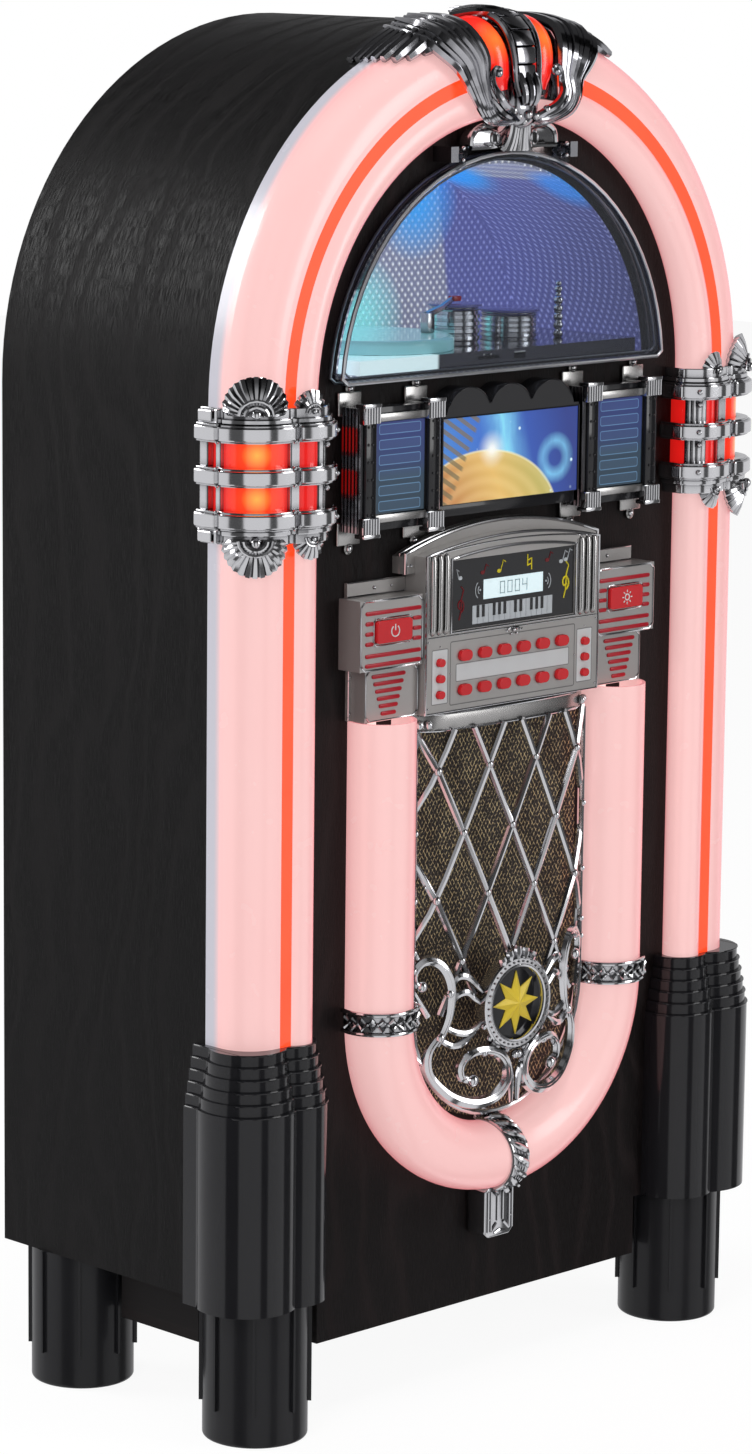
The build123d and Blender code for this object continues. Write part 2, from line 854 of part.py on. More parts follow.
# Disc compartment: liner, deck with its well, turntable and lid
liner_radius = window_radius - fit_gap
liner_floor = window_bottom + fit_gap
with BuildPart() as compartment_liner:
    with BuildSketch(front(liner_front)):
        add(segment_face(liner_radius, liner_floor))
    extrude(amount=-(liner_front + liner_depth))
    with BuildSketch(front(baffle_face - baffle_plate)):
        add(segment_face(liner_radius + liner_flange, liner_floor - liner_flange))
    extrude(amount=-liner_wall)
    with BuildSketch(front(liner_front)):
        add(segment_face(liner_radius - liner_wall, deck_bottom))
    extrude(amount=-(liner_front + liner_depth - liner_wall), mode=Mode.SUBTRACT)
finish(compartment_liner, "compartment_liner")

well_y = front_y - well_v
hinge_y = well_y + lid_radius + lid_hinge_back
hinge_z = deck_top + lid_hinge_rise
deck_back = front_y + liner_depth - liner_wall - deck_back_gap
well_floor = deck_top - well_depth
with BuildPart() as disc_deck:
    with BuildSketch(Plane.XY.offset(deck_bottom)):
        with Locations((0, (front_y - deck_face + deck_back) / 2)):
            Rectangle(2 * deck_half, deck_back - front_y + deck_face)
    extrude(amount=deck_top - deck_bottom)
    with BuildSketch(Plane.XY.offset(well_floor)):
        with Locations((well_x, well_y)):
            Circle(well_radius)
    extrude(amount=well_depth, mode=Mode.SUBTRACT)
    with BuildSketch(Plane.XY.offset(deck_bottom)):
        with Locations((well_x, well_y)):
            Circle(spindle_radius + spindle_gap)
    extrude(amount=well_depth, mode=Mode.SUBTRACT)
    with BuildSketch(front(deck_face)):
        slot_z = (deck_bottom + deck_top) / 2
        with Locations((usb_x, slot_z)):
            Rectangle(usb_width, usb_height)
        with Locations((card_slot_x, slot_z)):
            Rectangle(card_slot_width, card_slot_height)
    extrude(amount=-usb_depth, mode=Mode.SUBTRACT)
    with BuildSketch(Plane.XY.offset(deck_top)):
        for side in (-1, 1):
            post_x = well_x + side * (lid_hinge_half + lid_gap + lid_post_width / 2)
            with Locations((post_x, hinge_y)):
                Rectangle(lid_post_width, 2 * lid_post_half)
    extrude(amount=lid_hinge_rise + lid_hinge_radius)
    with BuildSketch(Plane.YZ.offset(well_x - 2 * lid_hinge_half)):
        with Locations((hinge_y, hinge_z)):
            Circle(lid_pin_radius + lid_pin_gap)
    extrude(amount=4 * lid_hinge_half, mode=Mode.SUBTRACT)
finish(disc_deck, "disc_deck")

with BuildPart() as turntable:
    with BuildSketch(Plane.XY.offset(well_floor + platter_lift)):
        with Locations((well_x, well_y)):
            Circle(platter_radius)
    extrude(amount=platter_thickness)
    with BuildSketch(Plane.XY.offset(well_floor + platter_lift + platter_thickness)):
        with Locations((well_x, well_y)):
            Circle(nub_radius)
    extrude(amount=nub_height)
    fillet(turntable.edges().group_by(Axis.Z)[-1], 1.2)
    with BuildSketch(Plane.XY.offset(well_floor + platter_lift)):
        with Locations((well_x, well_y)):
            Circle(spindle_radius)
    extrude(amount=-spindle_length)
finish(turntable, "turntable")

with BuildPart() as disc_lid:
    with BuildSketch(Plane.XY.offset(deck_top + lid_gap)):
        with Locations((well_x, well_y)):
            Circle(lid_radius)
    extrude(amount=lid_height)
    fillet(disc_lid.edges().group_by(Axis.Z)[-1], 4)
    with BuildSketch(Plane.XY.offset(deck_top + lid_gap)):
        with Locations((well_x, well_y)):
            Circle(lid_radius - lid_wall)
    extrude(amount=lid_height - lid_wall, mode=Mode.SUBTRACT)
    with BuildSketch(Plane.YZ.offset(well_x - lid_hinge_half)):
        with Locations((hinge_y, hinge_z)):
            Circle(lid_hinge_radius)
        with Locations((hinge_y - lid_hinge_radius, hinge_z)):
            Rectangle(2 * lid_hinge_radius, lid_hinge_radius)
    extrude(amount=2 * lid_hinge_half)
    with BuildSketch(Plane.YZ.offset(well_x - lid_hinge_half - lid_gap - lid_pin_length)):
        with Locations((hinge_y, hinge_z)):
            Circle(lid_pin_radius)
    extrude(amount=2 * (lid_hinge_half + lid_gap + lid_pin_length))
    with BuildSketch(Plane.XY.offset(deck_top + lid_gap)):
        with Locations((well_x, well_y)):
            Circle(lid_radius - lid_wall)
    extrude(amount=lid_height - lid_wall, mode=Mode.SUBTRACT)
finish(disc_lid, "disc_lid")

# Ornaments on the deck: two ribbed drums and a beaded column
drums = (
    (left_drum_x, left_drum_radius, left_drum_height),
    (right_drum_x, right_drum_radius, right_drum_height),
)
with BuildPart() as deck_drums:
    for drum_x, drum_radius, drum_height in drums:
        with BuildSketch(Plane.XY.offset(deck_top)):
            with Locations((drum_x, front_y - drum_v)):
                Circle(drum_radius)
        extrude(amount=drum_height)
        rib_pitch = drum_height / (drum_ribs + 1)
        for rib in range(drum_ribs):
            with BuildSketch(Plane.XY.offset(deck_top + (rib + 0.5) * rib_pitch)):
                with Locations((drum_x, front_y - drum_v)):
                    Circle(drum_radius + drum_rib)
            extrude(amount=rib_pitch / 2)
finish(deck_drums, "deck_drums")

with BuildPart() as beaded_column:
    bead_pitch = 1.6 * bead_radius
    with BuildSketch(Plane.XY.offset(deck_top)):
        with Locations((beaded_x, front_y - beaded_v)):
            Circle(bead_radius / 2)
    extrude(amount=(bead_count - 0.5) * bead_pitch)
    for bead in range(bead_count):
        with Locations((beaded_x, front_y - beaded_v, deck_top + (bead + 0.5) * bead_pitch)):
            Sphere(bead_radius)
    with BuildSketch(Plane.XY.offset(deck_top)):
        with Locations((beaded_x, front_y - beaded_v)):
            Rectangle(4 * bead_radius, 4 * bead_radius)
    extrude(amount=-bead_radius, mode=Mode.SUBTRACT)
finish(beaded_column, "beaded_column")

# Title holders with their printed cards, either side of the picture panel
card_half = holder_half - holder_column
card_low = picture_low
card_high = picture_high
with BuildPart() as title_holders:
    for side in (-1, 1):
        middle = side * holder_x
        with BuildSketch(front(baffle_face)):
            with Locations((middle, (holder_low + holder_high) / 2)):
                Rectangle(2 * holder_half, holder_high - holder_low)
        extrude(amount=holder_face - baffle_face)
        with BuildSketch(front(baffle_face)):
            with Locations((middle, (holder_low + holder_high) / 2)):
                Rectangle(2 * (holder_half - holder_wall), holder_high - holder_low - 2 * holder_wall)
        extrude(
            amount=holder_face - baffle_face - holder_recess - holder_wall, mode=Mode.SUBTRACT
        )
        with BuildSketch(front(holder_face)):
            with Locations((middle, (card_low + card_high) / 2)):
                Rectangle(2 * card_half, card_high - card_low)
        extrude(amount=-holder_recess, mode=Mode.SUBTRACT)
        for level in (-1, 1):
            ear_z = (holder_low + holder_high) / 2 + level * (holder_high - holder_low) / 2
            with BuildSketch(front(baffle_face)):
                for spread in (-1, 1):
                    with Locations((middle + spread * ear_spread, ear_z)):
                        Rectangle(2 * ear_half, 2 * ear_rise)
                with Locations((middle, (holder_low + holder_high) / 2)):
                    Rectangle(
                        2 * (holder_half - holder_wall),
                        holder_high - holder_low - 2 * holder_wall,
                        mode=Mode.SUBTRACT,
                    )
            extrude(amount=ear_thickness)
finish(title_holders, "title_holders")

with BuildPart() as title_cards:
    with BuildSketch(front(holder_face - holder_recess)):
        for side in (-1, 1):
            with Locations((side * holder_x, (card_low + card_high) / 2)):
                Rectangle(2 * (card_half - fit_gap), card_high - card_low - 2 * fit_gap)
    extrude(amount=card_thickness)
finish(title_cards, "title_cards")

with BuildPart() as picture_panel:
    with BuildSketch(front(baffle_face)):
        with Locations((0, (picture_low + picture_high) / 2)):
            Rectangle(2 * picture_half, picture_high - picture_low)
        with Locations((0, picture_high + scallop_rise - scallop_radius)):
            with GridLocations(scallop_pitch, 0, 3, 1):
                Circle(scallop_radius)
        with Locations((0, picture_low - picture_half)):
            Rectangle(4 * picture_half, 2 * picture_half, mode=Mode.SUBTRACT)
    extrude(amount=picture_face - baffle_face)
finish(picture_panel, "picture_panel")

# Control fascia, its display window and board
hole_grow = 2 * button_gap
main_xs = [main_button_pitch * (step - 2.5) for step in range(6)]
main_spots = [(x, z) for z in main_button_rows for x in main_xs]
side_z = sum(main_button_rows) / 2 - 2.3
side_spots = [
    (side * small_button_x, side_z + small_button_pitch * step)
    for side in (-1, 1)
    for step in (1, 0, -1)
]
display_middle = (display_low + display_high) / 2
with BuildPart() as control_fascia:
    for depth, half, low, shoulder, crest in (
        (rear_crest_face, rear_crest_half, panel_high - 13, panel_high, panel_crest + rear_crest_rise),
        (panel_face, panel_half, panel_low, panel_high, panel_crest),
    ):
        with BuildSketch(front(baffle_face)):
            with BuildLine():
                Polyline((-half, shoulder), (-half, low), (half, low), (half, shoulder))
                ThreePointArc((-half, shoulder), (0, shoulder + crest), (half, shoulder))
            make_face()
        extrude(amount=depth - baffle_face)
    with BuildSketch(front(baffle_face)):
        with Locations((0, (panel_low + panel_high) / 2)):
            Rectangle(2 * (panel_half - panel_wall), panel_high - panel_low - 2 * panel_wall)
    extrude(amount=panel_face - baffle_face - panel_wall, mode=Mode.SUBTRACT)
    with BuildSketch(front(panel_face)):
        with Locations((0, display_middle)):
            Rectangle(2 * display_half, display_high - display_low)
        with Locations(*main_spots):
            SlotOverall(main_button[0] + hole_grow, main_button[1] + hole_grow)
        with Locations(*side_spots):
            SlotOverall(small_button[0] + hole_grow, small_button[1] + hole_grow)
    extrude(amount=-panel_wall, mode=Mode.SUBTRACT)
    with BuildSketch(Plane.XY.offset(display_low)):
        for side in (-1, 1):
            with Locations((side * (panel_half + display_half) / 2, front_y - panel_face)):
                with GridLocations(flute_pitch, 0, flute_count, 1):
                    Circle(flute_radius)
    extrude(amount=display_high - display_low)
finish(control_fascia, "control_fascia")

with BuildPart() as display_window:
    with BuildSketch(front(panel_face - panel_wall)):
        with Locations((0, display_middle)):
            Rectangle(2 * display_half + 2 * panel_wall, display_high - display_low + panel_wall)
    extrude(amount=-display_thickness)
    with BuildSketch(front(panel_face - panel_wall)):
        with Locations((0, display_middle)):
            Rectangle(2 * (display_half - fit_gap), display_high - display_low - 2 * fit_gap)
    extrude(amount=panel_wall - display_recess + 1)
finish(display_window, "display_window")

flange_face = panel_face - panel_wall - fit_gap
nub_face = flange_face - button_flange_thickness - button_travel - switch_gap
with BuildPart() as control_board:
    with BuildSketch(front(board_face)):
        with Locations((0, (board_low + board_high) / 2)):
            Rectangle(2 * board_half, board_high - board_low)
    extrude(amount=-board_plate)
    with BuildSketch(front(board_face)):
        with Locations(*main_spots):
            Circle(switch_radius)
        with Locations(*side_spots):
            Circle(switch_radius)
    extrude(amount=nub_face - board_face)
    with BuildSketch(front(board_face - board_plate)):
        with Locations((0, (board_low + board_high) / 2)):
            with GridLocations(
                2 * (board_half - board_post_inset),
                board_high - board_low - 2 * board_post_inset,
                2,
                2,
            ):
                Circle(board_post_radius)
    extrude(amount=-(board_face - board_plate - baffle_face))
finish(control_board, "control_board")

# Wings of the control panel, each with one large button
wing_button_face = wing_face - panel_wall - fit_gap
with BuildPart() as panel_wings:
    for side in (-1, 1):
        wing_middle = side * (wing_inner + wing_outer) / 2
        wing_width = wing_outer - wing_inner
        skirt_middle = side * (wing_inner + wing_skirt_outer) / 2
        skirt_width = wing_skirt_outer - wing_inner
        with BuildSketch(front(baffle_face)):
            with Locations((wing_middle, (wing_low + wing_high) / 2)):
                Rectangle(wing_width, wing_high - wing_low)
        extrude(amount=wing_face - baffle_face)
        with BuildSketch(front(baffle_face)):
            with Locations((skirt_middle, (panel_low + wing_low) / 2)):
                Rectangle(skirt_width, wing_low - panel_low)
        extrude(amount=wing_skirt_edge - baffle_face)
        with BuildSketch(front(baffle_face)):
            with Locations(
                (side * (wing_inner + wing_flange_outer) / 2, wing_high + wing_flange_rise / 2)
            ):
                Rectangle(wing_flange_outer - wing_inner, wing_flange_rise)
            with Locations((side * wing_skirt_outer, (panel_low + wing_low) / 2)):
                Rectangle(2 * panel_wall, wing_low - panel_low)
        extrude(amount=wing_flange_thickness)
        with BuildSketch(front(baffle_face)):
            with Locations((wing_middle, (wing_low + wing_high) / 2)):
                Rectangle(wing_width - 2 * panel_wall, wing_high - wing_low - 2 * panel_wall)
        extrude(amount=wing_face - baffle_face - panel_wall, mode=Mode.SUBTRACT)
        with BuildSketch(front(baffle_face)):
            with Locations((skirt_middle, (panel_low + wing_low) / 2)):
                Rectangle(skirt_width - 2 * panel_wall, wing_low - panel_low - 2 * panel_wall)
        extrude(amount=wing_skirt_edge - baffle_face - panel_wall, mode=Mode.SUBTRACT)
        with BuildSketch(front(wing_face)):
            with Locations((side * big_button_x, big_button_z)):
                RectangleRounded(
                    big_button[0] + hole_grow, big_button[1] + hole_grow, big_button_corner
                )
        extrude(amount=-panel_wall, mode=Mode.SUBTRACT)
finish(panel_wings, "panel_wings")

with BuildPart() as wing_boards:
    wing_nub_face = wing_button_face - button_flange_thickness - button_travel - switch_gap
    for side in (-1, 1):
        with BuildSketch(front(wing_board_face)):
            with Locations((side * big_button_x, big_button_z)):
                Rectangle(*wing_board_size)
        extrude(amount=-board_plate)
        with BuildSketch(front(wing_board_face)):
            with Locations((side * big_button_x, big_button_z)):
                Circle(switch_radius)
        extrude(amount=wing_nub_face - wing_board_face)
        with BuildSketch(front(wing_board_face - board_plate)):
            with Locations((side * big_button_x, big_button_z)):
                with GridLocations(
                    wing_board_size[0] - 2 * wing_post_inset,
                    wing_board_size[1] - 2 * wing_post_inset,
                    2,
                    2,
                ):
                    Circle(board_post_radius)
        extrude(amount=-(wing_board_face - board_plate - baffle_face))
finish(wing_boards, "wing_boards")

# Buttons, each with a flange behind the panel
for number, spot in enumerate(main_spots + side_spots, start=1):
    size = main_button if number <= len(main_spots) else small_button
    with BuildPart() as button:
        with BuildSketch(front(flange_face)):
            with Locations(spot):
                SlotOverall(size[0] + 2 * button_flange, size[1] + 2 * button_flange)
        extrude(amount=-button_flange_thickness)
        with BuildSketch(front(flange_face)):
            with Locations(spot):
                SlotOverall(*size)
        extrude(amount=panel_face + button_proud - flange_face)
        fillet(button.edges().group_by(Axis.Y)[0], 0.8)
    if number <= len(main_spots):
        finish(button, f"select_button_{number}")
    else:
        finish(button, f"side_button_{number - len(main_spots)}")

for side, name in ((-1, "power"), (1, "light")):
    with BuildPart() as button:
        with BuildSketch(front(wing_button_face)):
            with Locations((side * big_button_x, big_button_z)):
                RectangleRounded(
                    big_button[0] + 2 * button_flange,
                    big_button[1] + 2 * button_flange,
                    big_button_corner,
                )
        extrude(amount=-button_flange_thickness)
        with BuildSketch(front(wing_button_face)):
            with Locations((side * big_button_x, big_button_z)):
                RectangleRounded(big_button[0], big_button[1], big_button_corner)
        extrude(amount=wing_face + button_proud - wing_button_face)
        fillet(button.edges().group_by(Axis.Y)[0], 0.8)
    finish(button, f"{name}_button")

# Lower light loop with its bands and clasp
loop_top = panel_low - fit_gap
with BuildPart() as loop_lens:
    with BuildSketch(Plane.XY.offset(loop_height)):
        for side in (-1, 1):
            add(loop_section(side, 0.0, lens_wall))
    extrude(amount=loop_top - loop_height)
    with BuildSketch(Plane.XY.offset(loop_height)):
        add(loop_section(-1, 0.0, lens_wall))
    revolve(axis=Axis((0, 0, loop_height), (0, -1, 0)), revolution_arc=180)
finish(loop_lens, "loop_lens")

with BuildPart() as loop_bands:
    with BuildSketch(Plane.XY.offset(loop_height)):
        for side in (-1, 1):
            add(loop_section(side, loop_band_grow, loop_band_grow - fit_gap))
    extrude(amount=loop_band_height / 2 + loop_band_rise)
    band_turn = degrees((loop_band_height / 2 - loop_band_rise) / loop_radius)
    for band_start in (90, 270 - band_turn):
        with BuildSketch(radial(band_start, loop_height)):
            add(loop_section(-1, loop_band_grow, loop_band_grow - fit_gap))
        revolve(axis=Axis((0, 0, loop_height), (0, 1, 0)), revolution_arc=band_turn)
    clasp_turn = degrees(asin(clasp_half / loop_radius))
    with BuildSketch(radial(180 - clasp_turn, loop_height)):
        add(loop_section(-1, loop_band_grow, loop_band_grow - fit_gap))
    revolve(axis=Axis((0, 0, loop_height), (0, 1, 0)), revolution_arc=2 * clasp_turn)
    with BuildSketch(front(baffle_face)):
        tail_high = loop_height - loop_radius - loop_tube - fit_gap
        with Locations((0, (tail_low + tail_high) / 2)):
            Rectangle(2 * tail_half, tail_high - tail_low)
    extrude(amount=tail_v - baffle_face)
    with BuildSketch(radial(180 - 2 * clasp_turn, loop_height)):
        add(loop_section(-1, fit_gap))
    revolve(
        axis=Axis((0, 0, loop_height), (0, 1, 0)),
        revolution_arc=4 * clasp_turn,
        mode=Mode.SUBTRACT,
    )
finish(loop_bands, "loop_bands")

# Grille: cloth, bowed lattice and medallion
band_reach = loop_tube + loop_band_grow
cloth_half = loop_radius - sqrt(band_reach**2 - (loop_rise - cloth_thickness) ** 2) - tube_gap


def loop_face(radius, top):
    """Upright outline that fills the loop: a half-round bottom with straight sides."""
    with BuildSketch() as face:
        with Locations((0, loop_height)):
            Circle(radius)
        with Locations((0, (loop_height + top) / 2)):
            Rectangle(2 * radius, top - loop_height)
    return face.sketch


with BuildPart() as grille_cloth:
    with BuildSketch(front(baffle_face)):
        add(loop_face(cloth_half, grille_top))
        with Locations((0, loop_height + 2 * cloth_half + (grille_top - loop_height))):
            Rectangle(4 * cloth_half, 4 * cloth_half, mode=Mode.SUBTRACT)
    extrude(amount=cloth_thickness)
finish(grille_cloth, "grille_cloth")

lattice_half = loop_radius - band_reach - 2 * tube_gap
bow_radius = ((lattice_peak - lattice_edge) ** 2 + lattice_half**2) / (
    2 * (lattice_peak - lattice_edge)
)
bar_angle = degrees(pi / 2) - degrees(asin(lattice_slope / sqrt(1 + lattice_slope**2)))
with BuildPart() as grille_lattice:
    with BuildSketch(front(baffle_face + cloth_thickness)):
        for lean in (-1, 1):
            for step in range(-4, 5):
                with Locations(Location((step * lattice_pitch, loop_height + lattice_phase, 0), lean * bar_angle)):
                    Rectangle(lattice_bar, 4 * lattice_half + 2 * lattice_pitch)
        with Locations((0, loop_height - lattice_half)):
            Rectangle(4 * lattice_half, lattice_half, mode=Mode.SUBTRACT)
        for side in (-1, 1):
            for scroll_z in scroll_heights:
                with Locations((side * scroll_x, scroll_z)):
                    Circle(scroll_radius)
                    Circle(scroll_radius - scroll_bar, mode=Mode.SUBTRACT)
        with Locations((0, medallion_height)):
            Circle(medallion_radius + lattice_seat)
        add(loop_face(lattice_half, panel_low), mode=Mode.INTERSECT)
        with BuildSketch(mode=Mode.PRIVATE) as edge:
            add(loop_face(lattice_half, panel_low))
            add(loop_face(lattice_half - lattice_thickness, panel_low + lattice_seat), mode=Mode.SUBTRACT)
        add(edge.sketch)
        with Locations((0, panel_low - grille_rail / 2)):
            Rectangle(2 * lattice_half, grille_rail)
        with Locations((0, medallion_height)):
            Circle(medallion_bore / 2 + tube_gap, mode=Mode.SUBTRACT)
        with Locations((0, panel_low + lattice_half)):
            Rectangle(4 * lattice_half, 2 * lattice_half, mode=Mode.SUBTRACT)
    extrude(amount=lattice_peak - baffle_face - cloth_thickness)
    with BuildSketch(Plane.XY.offset(loop_height - 2 * lattice_half)):
        with Locations((0, front_y - lattice_peak + bow_radius)):
            Circle(bow_radius)
            Circle(bow_radius - lattice_thickness, mode=Mode.SUBTRACT)
    extrude(amount=6 * lattice_half, mode=Mode.INTERSECT)
finish(grille_lattice, "grille_lattice")

with BuildPart() as medallion:
    with BuildSketch(front(lattice_peak)):
        with Locations((0, medallion_height)):
            Circle(medallion_radius)
    extrude(amount=medallion_depth)
    with BuildSketch(front(lattice_peak + medallion_depth)):
        with Locations((0, medallion_height)):
            Circle(medallion_bore)
    extrude(amount=-medallion_depth / 2, mode=Mode.SUBTRACT)
    with BuildSketch(front(lattice_peak)):
        with Locations((0, medallion_height)):
            Circle(medallion_bore / 2)
    extrude(amount=-2 * lattice_thickness)
finish(medallion, "medallion")

with BuildPart() as medallion_star:
    star_corners = []
    for corner in range(2 * star_points):
        reach = star_radius if corner % 2 == 0 else star_waist
        turn = pi * corner / star_points
        star_corners.append((reach * sin(turn), medallion_height + reach * cos(turn)))
    with BuildSketch(front(lattice_peak + medallion_depth / 2)):
        Polygon(*star_corners, align=None)
    extrude(amount=medallion_depth / 4)
finish(medallion_star, "medallion_star")

# Speakers behind the baffle
speaker_face = baffle_face - baffle_plate
magnet_face = front_y - speaker_face + speaker_depth - magnet_depth
with BuildPart() as speakers:
    for height in speaker_heights:
        with BuildSketch(Plane.YZ):
            with BuildLine():
                Polyline(
                    (front_y - speaker_face, height + speaker_bore),
                    (front_y - speaker_face, height + speaker_radius),
                    (front_y - speaker_face + speaker_rim, height + speaker_radius),
                    (front_y - speaker_face + speaker_rim, height + speaker_bore + speaker_lip),
                    (magnet_face, height + magnet_radius),
                    (front_y - speaker_face + speaker_depth, height + magnet_radius),
                    (front_y - speaker_face + speaker_depth, height),
                    (magnet_face - cone_wall, height),
                    (magnet_face - cone_wall, height + dome_radius),
                    close=True,
                )
            make_face()
        revolve(axis=Axis((0, 0, height), (0, 1, 0)), revolution_arc=360)
finish(speakers, "speakers")

# Main board on the back panel and the mains inlet
panel_inside = back_y - back_inset - back_thickness
with BuildPart() as main_board:
    board_y = panel_inside - main_board_standoff
    with BuildSketch(Plane.XZ.offset(-board_y)):
        with Locations((0, main_board_height)):
            Rectangle(*main_board_size)
    extrude(amount=board_plate)
    with BuildSketch(Plane.XZ.offset(-panel_inside)):
        with Locations((0, main_board_height)):
            with GridLocations(
                main_board_size[0] - 2 * board_post_inset,
                main_board_size[1] - 2 * board_post_inset,
                2,
                2,
            ):
                Circle(board_post_radius)
    extrude(amount=main_board_standoff)
    with BuildSketch(Plane.XZ.offset(-board_y + board_plate)):
        for spot, size in (
            (transformer_spot, transformer_size),
            (chip_spot, chip_size),
            (supply_spot, supply_size),
        ):
            with Locations((spot[0], main_board_height + spot[1])):
                Rectangle(*size)
    extrude(amount=board_block_height)
finish(main_board, "main_board")

with BuildPart() as mains_inlet:
    with BuildSketch(Plane.XZ.offset(-(back_y - back_inset))):
        with Locations((inlet_x, inlet_height)):
            Rectangle(*inlet_size)
    extrude(amount=-inlet_plate)
    with BuildSketch(Plane.XZ.offset(-(back_y - back_inset))):
        with Locations((inlet_x, inlet_height)):
            Rectangle(*inlet_body)
    extrude(amount=inlet_depth)
    with BuildSketch(Plane.XZ.offset(-(back_y - back_inset + inlet_plate))):
        with Locations((inlet_x, inlet_height)):
            Rectangle(*inlet_cavity)
    extrude(amount=inlet_depth, mode=Mode.SUBTRACT)
    with BuildSketch(Plane.XZ.offset(-(back_y - back_inset + inlet_plate - inlet_depth))):
        with Locations(
            (inlet_x - 5, inlet_height - 1.5), (inlet_x, inlet_height + 1.5), (inlet_x + 5, inlet_height - 1.5)
        ):
            Circle(inlet_pin_radius)
    extrude(amount=-inlet_depth / 2)
finish(mains_inlet, "mains_inlet")
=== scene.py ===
"""Finish an arched jukebox: its materials, its fine pieces, the light and the camera."""

import logging
import math
from abc import ABC, abstractmethod
from contextlib import contextmanager
from dataclasses import dataclass
from enum import Enum
from typing import Any, Callable, Iterator, Sequence

import bpy
from mathutils import Matrix, Vector


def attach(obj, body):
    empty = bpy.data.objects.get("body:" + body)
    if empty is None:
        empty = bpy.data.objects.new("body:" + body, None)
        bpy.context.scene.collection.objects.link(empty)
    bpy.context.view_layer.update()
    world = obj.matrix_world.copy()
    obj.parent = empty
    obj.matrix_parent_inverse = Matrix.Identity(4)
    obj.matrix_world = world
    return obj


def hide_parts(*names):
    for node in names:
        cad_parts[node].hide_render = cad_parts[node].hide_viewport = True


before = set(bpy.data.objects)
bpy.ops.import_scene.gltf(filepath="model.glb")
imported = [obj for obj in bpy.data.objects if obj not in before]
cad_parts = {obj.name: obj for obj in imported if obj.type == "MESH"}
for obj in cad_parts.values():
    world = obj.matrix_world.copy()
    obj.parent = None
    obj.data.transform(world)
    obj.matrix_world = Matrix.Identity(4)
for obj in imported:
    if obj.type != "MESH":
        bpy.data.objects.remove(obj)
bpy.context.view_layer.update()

LOG = logging.getLogger("jukebox")
MM = 0.001
FRONT_Y = -75.0
ARCH_Z = 776.0
HALF_WIDTH = 270.5
ROOT = "cabinet"
MERGE_GAP = 0.00001
PER_MM = 1 / MM

Colour = tuple[float, float, float]
Piece = bpy.types.Object
Socket = bpy.types.NodeSocket


class Side(Enum):
    """Left or right of the cabinet, as the sign of X."""

    LEFT = -1
    RIGHT = 1

    @property
    def word(self) -> str:
        """Return the side's name for the names of pieces."""
        return self.name.lower()


SIDES = (Side.LEFT, Side.RIGHT)


def at(x: float, v: float, z: float) -> Vector:
    """Return a point in metres.

    Args:
        x: Millimetres to the right of the middle.
        v: Millimetres in front of the cabinet's front edge.
        z: Millimetres above the floor.

    Returns:
        The point in the shared frame, in metres.
    """
    return Vector((x, FRONT_Y - v, z)) * MM


def fan_angles(count: int, first: float, last: float) -> list[float]:
    """Return evenly spaced angles in radians, both ends included.

    Args:
        count: How many angles.
        first: First angle in degrees.
        last: Last angle in degrees.

    Returns:
        The angles.
    """
    step = (last - first) / max(count - 1, 1)
    return [math.radians(first + step * index) for index in range(count)]


